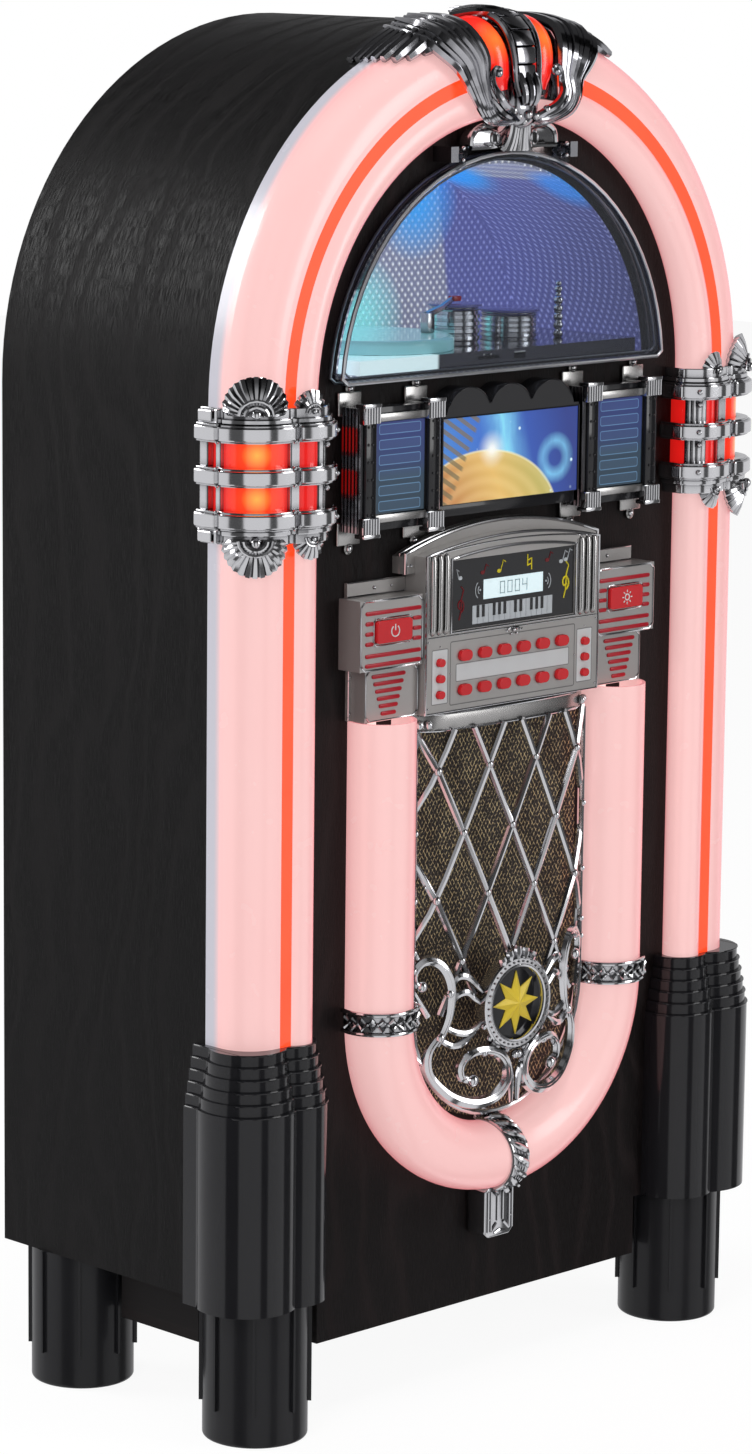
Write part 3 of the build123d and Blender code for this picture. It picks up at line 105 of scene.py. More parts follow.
class Bench:
    """A workbench: primitives are laid on it and shaped with Blender's operators."""

    def clear(self) -> None:
        """Leave edit mode and deselect everything."""
        if bpy.context.object and bpy.context.object.mode != "OBJECT":
            bpy.ops.object.mode_set(mode="OBJECT")
        bpy.ops.object.select_all(action="DESELECT")

    def pick(self, *pieces: Piece) -> None:
        """Select these pieces alone and make the first one active.

        Args:
            pieces: The pieces to select.
        """
        self.clear()
        for piece in pieces:
            piece.select_set(True)
        bpy.context.view_layer.objects.active = pieces[0]

    @contextmanager
    def editing(self, piece: Piece) -> Iterator[None]:
        """Open a piece in edit mode with all of it selected.

        Args:
            piece: The mesh to open.

        Yields:
            Nothing, while the mesh is open.
        """
        self.pick(piece)
        bpy.ops.object.mode_set(mode="EDIT")
        bpy.ops.mesh.select_all(action="SELECT")
        yield
        bpy.ops.object.mode_set(mode="OBJECT")

    def trace(self, points: Sequence[Vector], closed: bool = True, fill: bool = True) -> Piece:
        """Draw a line of edges from point to point.

        Args:
            points: The corners in metres.
            closed: Whether the last corner joins the first.
            fill: Whether a closed line gets a face.

        Returns:
            The new mesh.
        """
        self.clear()
        bpy.ops.mesh.primitive_plane_add(size=MM)
        piece = bpy.context.object
        with self.editing(piece):
            bpy.ops.mesh.merge(type="CENTER")
            bpy.ops.transform.translate(value=points[0])
            last = points[0]
            for point in points[1:]:
                bpy.ops.mesh.extrude_vertices_move(TRANSFORM_OT_translate={"value": point - last})
                last = point
        if closed:
            for vertex in piece.data.vertices:
                vertex.select = vertex.index in (0, len(points) - 1)
            self.pick(piece)
            bpy.ops.object.mode_set(mode="EDIT")
            bpy.ops.mesh.edge_face_add()
            if fill:
                bpy.ops.mesh.select_all(action="SELECT")
                bpy.ops.mesh.edge_face_add()
            bpy.ops.object.mode_set(mode="OBJECT")
        return piece

    def tidy(self, piece: Piece) -> Piece:
        """Merge doubled corners and turn every face outwards.

        Args:
            piece: The mesh.

        Returns:
            The same piece.
        """
        with self.editing(piece):
            bpy.ops.mesh.remove_doubles(threshold=MERGE_GAP)
            bpy.ops.mesh.normals_make_consistent(inside=False)
        return piece

    def plate(self, outline: Sequence[Vector], push: Vector) -> Piece:
        """Make a plate from a closed outline.

        Args:
            outline: Corners of one face.
            push: How far and which way the face is extruded.

        Returns:
            The plate.
        """
        piece = self.trace(outline)
        with self.editing(piece):
            bpy.ops.mesh.extrude_region_move(TRANSFORM_OT_translate={"value": push})
        return self.tidy(piece)

    def tube(
        self, points: Sequence[Vector], radius: float, taper: Sequence[float] | None = None,
        closed: bool = False, facets: int = 2
    ) -> Piece:
        """Sweep a round bar along a line.

        Args:
            points: The line in metres.
            radius: Bar radius in millimetres.
            taper: Share of the radius at each point.
            closed: Whether the line is a ring.
            facets: Bevel resolution of the bar, from 0.

        Returns:
            The bar as a mesh.
        """
        piece = self.trace(points, closed=closed, fill=False)
        self.pick(piece)
        bpy.ops.object.convert(target="CURVE")
        piece = bpy.context.object
        piece.data.dimensions = "3D"
        piece.data.bevel_depth = radius * MM
        piece.data.bevel_resolution = facets
        piece.data.use_fill_caps = True
        if taper:
            spline = piece.data.splines[0]
            ordered = list(taper)
            if (Vector(spline.points[0].co[:3]) - points[0]).length > MM * 0.01:
                ordered.reverse()
            for knot, share in zip(spline.points, ordered):
                knot.radius = share
        bpy.ops.object.convert(target="MESH")
        return self.tidy(bpy.context.object)

    def ball(
        self, place: Vector, radius: float, segments: int = 14, shares: Sequence[float] = (1.0, 1.0, 1.0),
        rings: int | None = None
    ) -> Piece:
        """Make a ball.

        Args:
            place: Its centre in metres.
            radius: Its radius in millimetres.
            segments: Facets round it.
            shares: Its size along X, Y and Z as shares of the radius.
            rings: Facets from top to bottom, about half its segments by default.

        Returns:
            The ball.
        """
        self.clear()
        bpy.ops.mesh.primitive_uv_sphere_add(
            segments=segments, ring_count=rings or segments // 2 + 1, radius=radius * MM, location=place,
            scale=shares
        )
        return self.freeze(bpy.context.object)

    def bead(self, place: Vector, radius: float, detail: int = 2) -> Piece:
        """Make a small ball of even facets.

        Args:
            place: Its centre in metres.
            radius: Its radius in millimetres.
            detail: How often its facets are divided.

        Returns:
            The ball.
        """
        self.clear()
        bpy.ops.mesh.primitive_ico_sphere_add(subdivisions=detail, radius=radius * MM, location=place)
        return self.freeze(bpy.context.object)

    def drum(
        self, place: Vector, radius: float, depth: float, vertices: int, facing: bool = False,
        shares: Sequence[float] = (1.0, 1.0, 1.0)
    ) -> Piece:
        """Make a round plate or post.

        Args:
            place: Its centre in metres.
            radius: Its radius in millimetres.
            depth: How thick or tall it is, in millimetres.
            vertices: Facets round it.
            facing: Whether it faces the front instead of upwards.
            shares: Its size along its own axes as shares of the radius and the depth.

        Returns:
            The plate or post.
        """
        self.clear()
        bpy.ops.mesh.primitive_cylinder_add(
            vertices=vertices, radius=radius * MM, depth=depth * MM, location=place,
            rotation=(math.pi / 2 if facing else 0, 0, 0), scale=shares
        )
        return self.freeze(bpy.context.object)

    def rod(self, first: Vector, last: Vector, radius: float, facets: int = 1) -> Piece:
        """Make a straight round bar.

        Args:
            first: One end in metres.
            last: The other end in metres.
            radius: Its radius in millimetres.
            facets: Bevel resolution of the bar, from 0.

        Returns:
            The bar as a mesh.
        """
        return self.tube([first, last], radius, facets=facets)

    def vine(self, knots: Sequence[tuple[Vector, float]], steps: int = 3, facets: int = 1) -> Piece:
        """Sweep a bar of changing radius along a smooth line.

        Args:
            knots: Pairs of a place in metres and a radius in millimetres.
            steps: Stretches between two knots.
            facets: Bevel resolution of the bar, from 0.

        Returns:
            The bar as a mesh.
        """
        ends = [knots[0], *knots, knots[-1]]
        line, radii = [], []
        for near in zip(ends, ends[1:], ends[2:], ends[3:]):
            for step in range(steps):
                t = step / steps
                weights = (
                    (2 * t**2 - t - t**3) / 2, (2 - 5 * t**2 + 3 * t**3) / 2, (t + 4 * t**2 - 3 * t**3) / 2,
                    (t**3 - t**2) / 2
                )
                line.append(sum((knot[0] * weight for knot, weight in zip(near, weights)), Vector()))
                radii.append(sum(knot[1] * weight for knot, weight in zip(near, weights)))
        line.append(knots[-1][0])
        radii.append(knots[-1][1])
        return self.tube(line, 1.0, radii, facets=facets)

    def block(self, low: Vector, high: Vector, bevel: float = 0.0, segments: int = 2) -> Piece:
        """Make a box between two corners, with its edges rounded.

        Args:
            low: Lowest corner in metres.
            high: Highest corner in metres.
            bevel: Width of the rounding in millimetres.
            segments: Steps in the rounding.

        Returns:
            The box.
        """
        self.clear()
        bpy.ops.mesh.primitive_cube_add(size=1, location=(low + high) / 2, scale=high - low)
        piece = bpy.context.object
        self.freeze(piece)
        if bevel:
            self.round_edges(piece, bevel, segments)
        return piece

    def freeze(self, piece: Piece) -> Piece:
        """Move a piece's place, turn and size into its mesh.

        Args:
            piece: The piece.

        Returns:
            The same piece.
        """
        self.pick(piece)
        bpy.ops.object.transform_apply(location=True, rotation=True, scale=True)
        return piece

    def round_edges(self, piece: Piece, width: float, segments: int = 2, angle: float = 35.0) -> Piece:
        """Bevel a piece's sharp edges.

        Args:
            piece: The piece.
            width: Bevel width in millimetres.
            segments: Steps in the bevel.
            angle: Edges sharper than this many degrees are bevelled.

        Returns:
            The same piece.
        """
        self.pick(piece)
        tool = piece.modifiers.new("round", "BEVEL")
        tool.width = width * MM
        tool.segments = segments
        tool.limit_method = "ANGLE"
        tool.angle_limit = math.radians(angle)
        tool.harden_normals = False
        bpy.ops.object.modifier_apply(modifier=tool.name)
        return piece

    def copy(self, piece: Piece) -> Piece:
        """Return a copy of a piece with its own mesh.

        Args:
            piece: The piece to copy.

        Returns:
            The copy.
        """
        twin = piece.copy()
        twin.data = piece.data.copy()
        bpy.context.scene.collection.objects.link(twin)
        return twin

    def place(self, piece: Piece, matrix: Matrix) -> Piece:
        """Put a piece through a transform and freeze it there.

        Args:
            piece: The piece.
            matrix: The transform, which may mirror.

        Returns:
            The same piece.
        """
        piece.matrix_world = matrix @ piece.matrix_world
        self.freeze(piece)
        if matrix.determinant() < 0:
            self.tidy(piece)
        return piece

    def join(self, parts: Sequence[Piece]) -> Piece:
        """Join parts into the first of them.

        Args:
            parts: The parts, one or more.

        Returns:
            The first part, which now holds them all.
        """
        self.pick(*parts)
        if len(parts) > 1:
            bpy.ops.object.join()
        return parts[0]

    def mirrored(self, piece: Piece) -> Piece:
        """Return a copy of a piece mirrored left to right."""
        return self.place(self.copy(piece), Matrix.Scale(-1, 4, (1, 0, 0)))

    def deliver(
        self, piece: Piece, name: str, finish: "Finish", body: str = ROOT, smooth: float = 35.0,
        stands_for: Sequence[str] = (), slot: str | None = None
    ) -> Piece:
        """Name, dress and hang a finished piece.

        Args:
            piece: The finished mesh.
            name: Its name.
            finish: What it is made of.
            body: The body that it moves with.
            smooth: Shade edges flatter than this many degrees smoothly.
            stands_for: Nodes that the piece replaces.
            slot: Not used.

        Returns:
            The piece.
        """
        self.freeze(piece)
        piece.name = name
        piece.data.name = name
        bpy.ops.object.shade_smooth_by_angle(angle=math.radians(smooth))
        piece.data.materials.clear()
        piece.data.materials.append(finish.material())
        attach(piece, body)
        if stands_for:
            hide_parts(*stands_for)
        LOG.info("piece %s: %d faces on %s", name, len(piece.data.polygons), body)
        return piece

    def deliver_pair(
        self, left: Piece, stem: str, finish: "Finish", smooth: float = 35.0, stands_for: Sequence[str] = ()
    ) -> None:
        """Deliver a left piece and a mirror copy of it.

        Args:
            left: The finished mesh of the left side.
            stem: The name without its side.
            finish: What both are made of.
            smooth: Shade edges flatter than this many degrees smoothly.
            stands_for: Nodes that the left piece replaces.
        """
        right = self.mirrored(left)
        self.deliver(left, f"{stem}_left", finish, smooth=smooth, stands_for=stands_for)
        self.deliver(right, f"{stem}_right", finish, smooth=smooth)


class Term:
    """A shader number; arithmetic on it adds Math nodes."""

    def __init__(self, graph: "Nodes", socket: Socket) -> None:
        """Wrap an output socket of a graph."""
        self.graph = graph
        self.socket = socket

    def maths(self, operation: str, *others: Any, clamp: bool = False) -> "Term":
        """Return the result of a Math node on this and the others.

        Args:
            operation: The node's operation.
            others: The other numbers.
            clamp: Whether to keep it in 0 to 1.

        Returns:
            The result.
        """
        values = {index + 1: other for index, other in enumerate(others)}
        node = self.graph.node(
            "ShaderNodeMath", {"operation": operation, "use_clamp": clamp}, {0: self, **values}
        )
        return Term(self.graph, node.outputs[0])

    def __add__(self, other: Any) -> "Term":
        """Return the sum."""
        return self.maths("ADD", other)

    __radd__ = __add__

    def __mul__(self, other: Any) -> "Term":
        """Return the product."""
        return self.maths("MULTIPLY", other)

    __rmul__ = __mul__

    def __sub__(self, other: Any) -> "Term":
        """Return the difference."""
        return self.maths("SUBTRACT", other)

    def __rsub__(self, other: Any) -> "Term":
        """Return the difference the other way round."""
        node = self.graph.node("ShaderNodeMath", {"operation": "SUBTRACT"}, {0: other, 1: self})
        return Term(self.graph, node.outputs[0])

    def __truediv__(self, other: Any) -> "Term":
        """Return the quotient."""
        return self.maths("DIVIDE", other)

    def __pow__(self, other: Any) -> "Term":
        """Return the power."""
        return self.maths("POWER", other)

    def size(self) -> "Term":
        """Return the absolute value."""
        return self.maths("ABSOLUTE")

    def least(self, other: Any) -> "Term":
        """Return the lower of two numbers."""
        return self.maths("MINIMUM", other)

    def most(self, other: Any) -> "Term":
        """Return the higher of two numbers."""
        return self.maths("MAXIMUM", other)

    def root(self) -> "Term":
        """Return the square root."""
        return self.maths("SQRT")

    def sine(self) -> "Term":
        """Return the sine."""
        return self.maths("SINE")

    def wave(self, pitch: float) -> "Term":
        """Return a 0 to 1 wave with this pitch along the number."""
        return (self * (math.tau / pitch)).sine() * 0.5 + 0.5

    def step(self, edge: float, soft: float) -> "Term":
        """Return 0 below an edge and 1 above it, over a soft width.

        Args:
            edge: Where the step is.
            soft: Half its width.

        Returns:
            The share, from 0 to 1.
        """
        node = self.graph.node(
            "ShaderNodeMapRange", {"interpolation_type": "SMOOTHSTEP"},
            {"Value": self, "From Min": edge - soft, "From Max": edge + soft}
        )
        return Term(self.graph, node.outputs[0])


class Nodes:
    """Helpers that add nodes to one tree."""

    def __init__(self, tree: bpy.types.NodeTree) -> None:
        """Take a tree and empty it."""
        self.tree = tree
        tree.nodes.clear()

    def node(self, kind: str, settings: dict[str, Any], inputs: dict[Any, Any]) -> bpy.types.Node:
        """Add a node.

        Args:
            kind: The node's type.
            settings: Properties, which are set before the sockets.
            inputs: Socket name or number to a value, socket or Term.

        Returns:
            The node.
        """
        node = self.tree.nodes.new(kind)
        for key, value in settings.items():
            if key == "stops":
                ramp = node.color_ramp
                while len(ramp.elements) < len(value):
                    ramp.elements.new(0.5)
                for element, (place, colour) in zip(ramp.elements, value):
                    element.position = place
                    element.color = (*colour, 1.0)
            else:
                setattr(node, key, value)
        for key, value in inputs.items():
            self.feed(node, key, value)
        return node

    def feed(self, node: bpy.types.Node, key: Any, value: Any) -> None:
        """Set or link one input socket of a node.

        Args:
            node: The node.
            key: The socket's name or number.
            value: A value, a socket or a Term.
        """
        socket = node.inputs[key]
        if isinstance(value, Term):
            value = value.socket
        if isinstance(value, Socket):
            self.tree.links.new(value, socket)
        elif socket.type == "RGBA" and len(value) == 3:
            socket.default_value = (*value, 1.0)
        else:
            socket.default_value = value

    def place(self) -> Socket:
        """Return the Object coordinates."""
        return self.node("ShaderNodeTexCoord", {}, {}).outputs["Object"]

    def axes(self, vector: Socket | None = None) -> tuple[Term, Term, Term]:
        """Return X, Y and Z of a vector, or of the Object coordinates, in metres."""
        split = self.node("ShaderNodeSeparateXYZ", {}, {0: vector or self.place()})
        return tuple(Term(self, output) for output in split.outputs)

    def vector(self, x: Any, y: Any, z: Any) -> Socket:
        """Return a vector of three numbers."""
        return self.node("ShaderNodeCombineXYZ", {}, {0: x, 1: y, 2: z}).outputs[0]

    def noise(self, vector: Socket, scale: float, detail: float = 3.0, rough: float = 0.5) -> Term:
        """Return a noise value.

        Args:
            vector: Where it is read.
            scale: How fine it is.
            detail: Finer layers on top.
            rough: How strong those are.

        Returns:
            The noise value.
        """
        node = self.node(
            "ShaderNodeTexNoise", {},
            {"Vector": vector, "Scale": scale, "Detail": detail, "Roughness": rough}
        )
        return Term(self, node.outputs[0])

    def mix(self, factor: Any, low: Any, high: Any) -> Socket:
        """Return a colour between two colours.

        Args:
            factor: Share of the second colour.
            low: The first colour.
            high: The second colour.

        Returns:
            The mixed colour.
        """
        node = self.node("ShaderNodeMix", {"data_type": "RGBA"}, {0: factor})
        self.feed(node, 6, low)
        self.feed(node, 7, high)
        return node.outputs[2]

    def ramp(self, factor: Term, stops: Sequence[tuple[float, Colour]]) -> Socket:
        """Return a colour read from a ramp."""
        return self.node("ShaderNodeValToRGB", {"stops": stops}, {0: factor}).outputs[0]

    def bump(self, height: Any, strength: float, distance: float) -> Socket:
        """Return a normal bent by a height, with the distance in metres."""
        node = self.node(
            "ShaderNodeBump", {}, {"Height": height, "Strength": strength, "Distance": distance}
        )
        return node.outputs[0]

    def blend(self, share: Any, first: bpy.types.Node, last: bpy.types.Node) -> Socket:
        """Return a shader between two shader nodes."""
        return self.node(
            "ShaderNodeMixShader", {}, {0: share, 1: first.outputs[0], 2: last.outputs[0]}
        ).outputs[0]


class Graph(Nodes):
    """The nodes of one material round a Principled shader."""

    def __init__(self, name: str) -> None:
        """Start an empty material with a Principled shader and an output.

        Args:
            name: The material's name.
        """
        self.material = bpy.data.materials.new(name)
        self.material.use_nodes = True
        super().__init__(self.material.node_tree)
        self.shader = self.node("ShaderNodeBsdfPrincipled", {}, {})
        self.output = self.node("ShaderNodeOutputMaterial", {}, {"Surface": self.shader.outputs[0]})

    def set(self, **sockets: Any) -> None:
        """Set or link the Principled shader's sockets, with _ for spaces.

        Args:
            sockets: Values, sockets or Terms by the socket's name.
        """
        for key, value in sockets.items():
            self.feed(self.shader, key.replace("_", " "), value)


class Finish(ABC):
    """What a piece is made of. Each finish makes its material once."""

    name: str
    slot: str
    made: dict[str, bpy.types.Material] = {}

    def material(self) -> bpy.types.Material:
        """Return the finish's material, made at its first use.

        Returns:
            The material.
        """
        if self.name not in Finish.made:
            graph = Graph(self.name)
            self.paint(graph)
            Finish.made[self.name] = graph.material
        return Finish.made[self.name]

    @abstractmethod
    def paint(self, graph: Graph) -> None:
        """Build the finish's nodes."""


@dataclass(frozen=True)
class Veneer(Finish):
    """Black-stained open-pored veneer whose grain runs up the sides and over the arch."""

    name: str = "black_veneer"
    slot: str = "shell_finish"
    stain: Colour = (0.0045, 0.004, 0.0042)
    pore: Colour = (0.015, 0.0138, 0.0142)
    bent: bool = True

    def paint(self, graph: Graph) -> None:
        """Lay stretched rings and fine pores along the bent board.

        Args:
            graph: The material's nodes.
        """
        x, y, z = graph.axes()
        if self.bent:
            rise = z - ARCH_Z * MM
            turn = rise.maths("ARCTAN2", x.size())
            over = rise.step(0.0, 0.002)
            along = over * (turn * (HALF_WIDTH * MM)) + (1 - over) * rise
            across = y
        else:
            along, across = z, x
        sway = graph.noise(graph.vector(across * 3.0, along * 1.3, 0.0), 2.2, 3.0)
        wander = graph.noise(graph.vector(across * 9.0, along * 2.2, 3.0), 3.0, 2.0)
        rings = (across * 190.0 + sway * 46.0 + wander * 7.0).sine() * 0.5 + 0.5
        lines = rings ** 3.0
        pores = graph.noise(graph.vector(across * 60.0, along * 2.4, 1.0), 30.0, 4.0, 0.6)
        streak = pores.step(0.56, 0.07)
        grain = (lines * 0.75 + streak * 0.55).least(1.0)
        mottled = graph.noise(graph.vector(across * 5.0, along, 0.0), 4.0, 3.0)
        shade = grain * (mottled * 0.9 + 0.35)
        graph.set(
            Base_Color=graph.mix(shade, self.stain, self.pore), Roughness=0.40 + grain * 0.22,
            Normal=graph.bump(1 - grain, 0.55, 0.0005), Specular_IOR_Level=0.14
        )


@dataclass(frozen=True)
class Board(Finish):
    """Plain pressed board with fibres in it."""

    name: str = "pressed_board"
    slot: str = "board"
    colour: Colour = (0.045, 0.036, 0.030)

    def paint(self, graph: Graph) -> None:
        """Mottle the board with short fibres.

        Args:
            graph: The material's nodes.
        """
        place = graph.place()
        fibres = graph.noise(place, 420.0, 4.0, 0.7)
        cloud = graph.noise(place, 14.0, 3.0)
        darker = tuple(part * 0.6 for part in self.colour)
        graph.set(
            Base_Color=graph.mix(fibres * 0.6 + cloud * 0.4, darker, self.colour),
            Roughness=0.7 + fibres * 0.15, Normal=graph.bump(fibres, 0.2, 0.0003)
        )


@dataclass(frozen=True)
class Moulded(Finish):
    """Moulded plastic, with faint flow marks and dust-fine grain."""

    name: str
    slot: str
    colour: Colour
    roughness: float = 0.16
    grain: float = 0.03
    coat: float = 0.4
    glow: Colour | None = None
    strength: float = 0.0

    def paint(self, graph: Graph) -> None:
        """Vary gloss and tone slightly over the moulding.

        Args:
            graph: The material's nodes.
        """
        place = graph.place()
        flow = graph.noise(place, 9.0, 3.0)
        fine = graph.noise(place, 900.0, 2.0)
        worn = tuple(min(part * 1.25 + 0.004, 1.0) for part in self.colour)
        graph.set(
            Base_Color=graph.mix(flow, self.colour, worn), Roughness=self.roughness + flow * 0.06,
            Normal=graph.bump(fine * 0.5 + flow * 0.5, self.grain, 0.0004), Coat_Weight=self.coat * 0.5,
            Coat_Roughness=0.05, Specular_IOR_Level=0.25
        )
        if self.glow:
            graph.set(Emission_Color=self.glow, Emission_Strength=self.strength)


@dataclass(frozen=True)
class Plated(Finish):
    """Bright plating over a moulding, with painted shade darkening its folds."""

    name: str = "bright_plating"
    slot: str = "chromed"
    colour: Colour = (0.80, 0.80, 0.82)
    fold_shade: Colour = (0.20, 0.20, 0.21)
    roughness: float = 0.09
    ripple: float = 0.05

    def paint(self, graph: Graph) -> None:
        """Paint shade into the folds and ripple the plating as on a moulding.

        Args:
            graph: The material's nodes.
        """
        place = graph.place()
        ripple = graph.noise(place, 120.0, 2.0)
        cloud = graph.noise(place, 28.0, 3.0)
        # Painted shade: ambient occlusion darkens the plating towards the fold shade colour in creases and
        # recesses.
        shade = graph.node("ShaderNodeAmbientOcclusion", {"samples": 4}, {"Distance": 0.006})
        unshaded = Term(graph, shade.outputs["AO"]) ** 1.6
        graph.set(
            Base_Color=graph.mix(unshaded, self.fold_shade, self.colour), Metallic=1.0,
            Roughness=self.roughness + cloud * 0.05, Normal=graph.bump(ripple, self.ripple, 0.0006)
        )


@dataclass(frozen=True)
class TubeGlow(Finish):
    """Diffusing plastic of the light tubes: pink where it is lit, grey-white at its root."""

    name: str = "pink_diffuser"
    slot: str = "pink_lens"
    lit: Colour = (0.96, 0.62, 0.60)
    warm: Colour = (0.97, 0.33, 0.35)
    root: Colour = (0.52, 0.51, 0.57)
    root_v: float = 12.0

    def paint(self, graph: Graph) -> None:
        """Light the diffuser from inside and leave its root grey.

        Args:
            graph: The material's nodes.
        """
        place = graph.place()
        x, y, z = graph.axes(place)
        forward = (FRONT_Y * MM - y) * PER_MM
        rise = (z - ARCH_Z * MM).most(0.0)
        outward = (x * x + rise * rise).root() * PER_MM
        outside = outward.step(HALF_WIDTH - 2.5, 0.6)
        rooted = outside * (1 - forward.step(self.root_v, 4.5))
        patch = graph.noise(place, 7.0, 2.0)
        facing = Term(graph, graph.node("ShaderNodeLayerWeight", {}, {"Blend": 0.35}).outputs["Facing"])
        warmth = (facing * facing * 1.5 + patch * 0.2).least(1.0)
        lit = graph.mix(warmth, self.lit, self.warm)
        colour = graph.mix(rooted, lit, self.root)
        fine = graph.noise(place, 60.0, 2.0)
        graph.set(
            Base_Color=graph.mix(0.45, colour, (0.0, 0.0, 0.0)), Roughness=0.24 + fine * 0.05,
            Emission_Color=colour, Emission_Strength=0.66, Coat_Weight=0.35, Coat_Roughness=0.12,
            Normal=graph.bump(fine, 0.03, 0.0005)
        )


@dataclass(frozen=True)
class RedGlow(Finish):
    """Red diffusing plastic, hotter near each lamp behind it."""

    name: str
    slot: str = "red_lens"
    edge: Colour = (0.80, 0.02, 0.01)
    middle: Colour = (1.0, 0.10, 0.02)
    heart: Colour = (1.0, 0.42, 0.05)
    lamps: tuple[tuple[float, float, float], ...] = ()
    reach: float = 22.0
    strength: float = 0.9

    def paint(self, graph: Graph) -> None:
        """Brighten the plastic round each lamp.

        Args:
            graph: The material's nodes.
        """
        place = graph.place()
        near: Term | None = None
        for lamp in self.lamps:
            apart = graph.node("ShaderNodeVectorMath", {"operation": "DISTANCE"}, {0: place, 1: at(*lamp)})
            gap = Term(graph, apart.outputs["Value"]) * (1 / (self.reach * MM))
            near = gap if near is None else near.least(gap)
        if near is None:
            near = graph.noise(place, 25.0, 2.0) * 0.5 + 0.35
        colour = graph.ramp(near, ((0.0, self.heart), (0.45, self.middle), (1.0, self.edge)))
        graph.set(
            Base_Color=colour, Roughness=0.15 + graph.noise(place, 40.0) * 0.08, Emission_Color=colour,
            Emission_Strength=self.strength, Coat_Weight=0.5
        )


@dataclass(frozen=True)
class ClearSheet(Finish):
    """Clear acrylic, seen through except where it mirrors the room."""

    name: str = "clear_acrylic"
    slot: str = "clear_cover"
    tint: Colour = (0.03, 0.035, 0.05)
    least: float = 0.10

    def paint(self, graph: Graph) -> None:
        """Mix see-through with a bright sheet by the angle it is seen at.

        Args:
            graph: The material's nodes.
        """
        place = graph.place()
        graph.set(
            Base_Color=self.tint, Roughness=0.03 + graph.noise(place, 30.0) * 0.02, Metallic=0.0,
            Specular_IOR_Level=1.0
        )
        edge = Term(graph, graph.node("ShaderNodeLayerWeight", {}, {"Blend": 0.25}).outputs["Fresnel"])
        clear = graph.node("ShaderNodeBsdfTransparent", {}, {"Color": (0.96, 0.98, 1.0)})
        shown = (edge * 0.8 + self.least).least(1.0)
        graph.feed(graph.output, "Surface", graph.blend(shown, clear, graph.shader))


@dataclass(frozen=True)
class PrismFoil(Finish):
    """Foil with a diamond relief that splits coloured lamplight behind the window; that lamplight is
    painted on it.
    """

    name: str = "prism_foil"
    slot: str = "liner_foil"
    pitch: float = 7.0

    def paint(self, graph: Graph) -> None:
        """Draw the diamonds and paint the lamplight on them: a brighter left part, bright facets and the
        glow of the lamps in the corners.

        Args:
            graph: The material's nodes.
        """
        x, y, z = graph.axes()
        across, up = x * PER_MM, z * PER_MM
        along = (x + y) * PER_MM
        first = (along + up * 0.85).wave(self.pitch)
        second = (along - up * 0.85).wave(self.pitch)
        facet = (first * second) ** 1.5
        depth = (FRONT_Y * MM - y) * PER_MM
        # Painted light: left of a slanted line the foil is painted brighter and whiter than to its right.
        left = 1 - (across + (up - 927.0) * 0.144).step(72.0, 3.0)
        base = graph.mix(left, (0.115, 0.125, 0.34), (0.24, 0.25, 0.34))
        bright = graph.mix(left, (0.34, 0.37, 0.72), (1.0, 1.0, 1.0))
        # Painted highlights: the diamond facets blend from the base colour to the bright one.
        glow: Any = graph.mix(facet, base, bright)
        # Painted pools of light from lamps in the corners.
        lamps = (
            ((50.0, -85.0, 904.0), 52.0, (0.03, 0.46, 1.0)),
            ((72.0, -85.0, 930.0), 30.0, (0.02, 0.40, 1.0)), ((80.0, 20.0, 921.0), 34.0, (0.06, 0.36, 1.0)),
            ((-20.0, -85.0, 812.0), 62.0, (0.30, 0.90, 0.88))
        )
        for (lamp_x, lamp_v, lamp_z), reach, colour in lamps:
            apart = (((across - lamp_x) ** 2.0) + ((up - lamp_z) ** 2.0) + ((depth - lamp_v) ** 2.0)).root()
            close = (1 - apart * (1 / reach)).most(0.0)
            glow = graph.mix((close * 1.6).least(0.9), glow, colour)
        # The emission makes the foil glow with painted light.
        graph.set(
            Base_Color=glow, Roughness=0.22 + facet * 0.1, Metallic=0.35, Emission_Color=glow,
            Emission_Strength=0.80, Normal=graph.bump(facet, 0.6, 0.0012)
        )


@dataclass(frozen=True)
class LitDeck(Finish):
    """Gloss black deck whose near corner is lit through from below."""

    name: str = "lit_deck"
    slot: str = "deck_black"
    edge_x: float = -68.0
    back_v: float = -70.0
    dark: Colour = (0.016, 0.014, 0.040)
    lit: Colour = (0.80, 0.98, 0.98)
    far: Colour = (0.16, 0.62, 0.66)

    def paint(self, graph: Graph) -> None:
        """Fade the light from the near corner to the back.

        Args:
            graph: The material's nodes.
        """
        x, y, _ = graph.axes()
        across, depth = x * PER_MM, (FRONT_Y * MM - y) * PER_MM
        lamp = (1 - across.step(self.edge_x, 2.0)) * depth.step(self.back_v, 10.0)
        near = depth.step(-10.0, 45.0)
        glow = graph.mix(near, self.far, self.lit)
        graph.set(
            Base_Color=graph.mix(lamp, self.dark, glow),
            Roughness=0.08 + graph.noise(graph.place(), 9.0) * 0.05,
            Emission_Color=graph.mix(lamp, (0.0, 0.0, 0.0), glow), Emission_Strength=0.85, Coat_Weight=0.6
        )


@dataclass(frozen=True)
class MeshCloth(Finish):
    """Brown grille cloth with a gold diagonal weave."""

    name: str = "grille_weave"
    slot: str = "cloth"
    pitch: float = 4.0

    def paint(self, graph: Graph) -> None:
        """Weave gold threads over a brown ground.

        Args:
            graph: The material's nodes.
        """
        x, _, z = graph.axes()
        across, up = x * PER_MM, z * PER_MM
        first = (across + up * 0.62).wave(self.pitch)
        second = (across - up * 0.62).wave(self.pitch)
        threads = first.most(second).step(0.93, 0.05)
        patch = graph.noise(graph.place(), 420.0, 2.0)
        gold = graph.mix(patch.step(0.52, 0.10), (0.05, 0.03, 0.012), (1.0, 0.80, 0.42))
        graph.set(
            Base_Color=graph.mix(threads, (0.006, 0.003, 0.0025), gold), Roughness=0.62 - threads * 0.25,
            Metallic=threads * 0.35, Normal=graph.bump(threads, 0.7, 0.0006), Sheen_Weight=0.2
        )


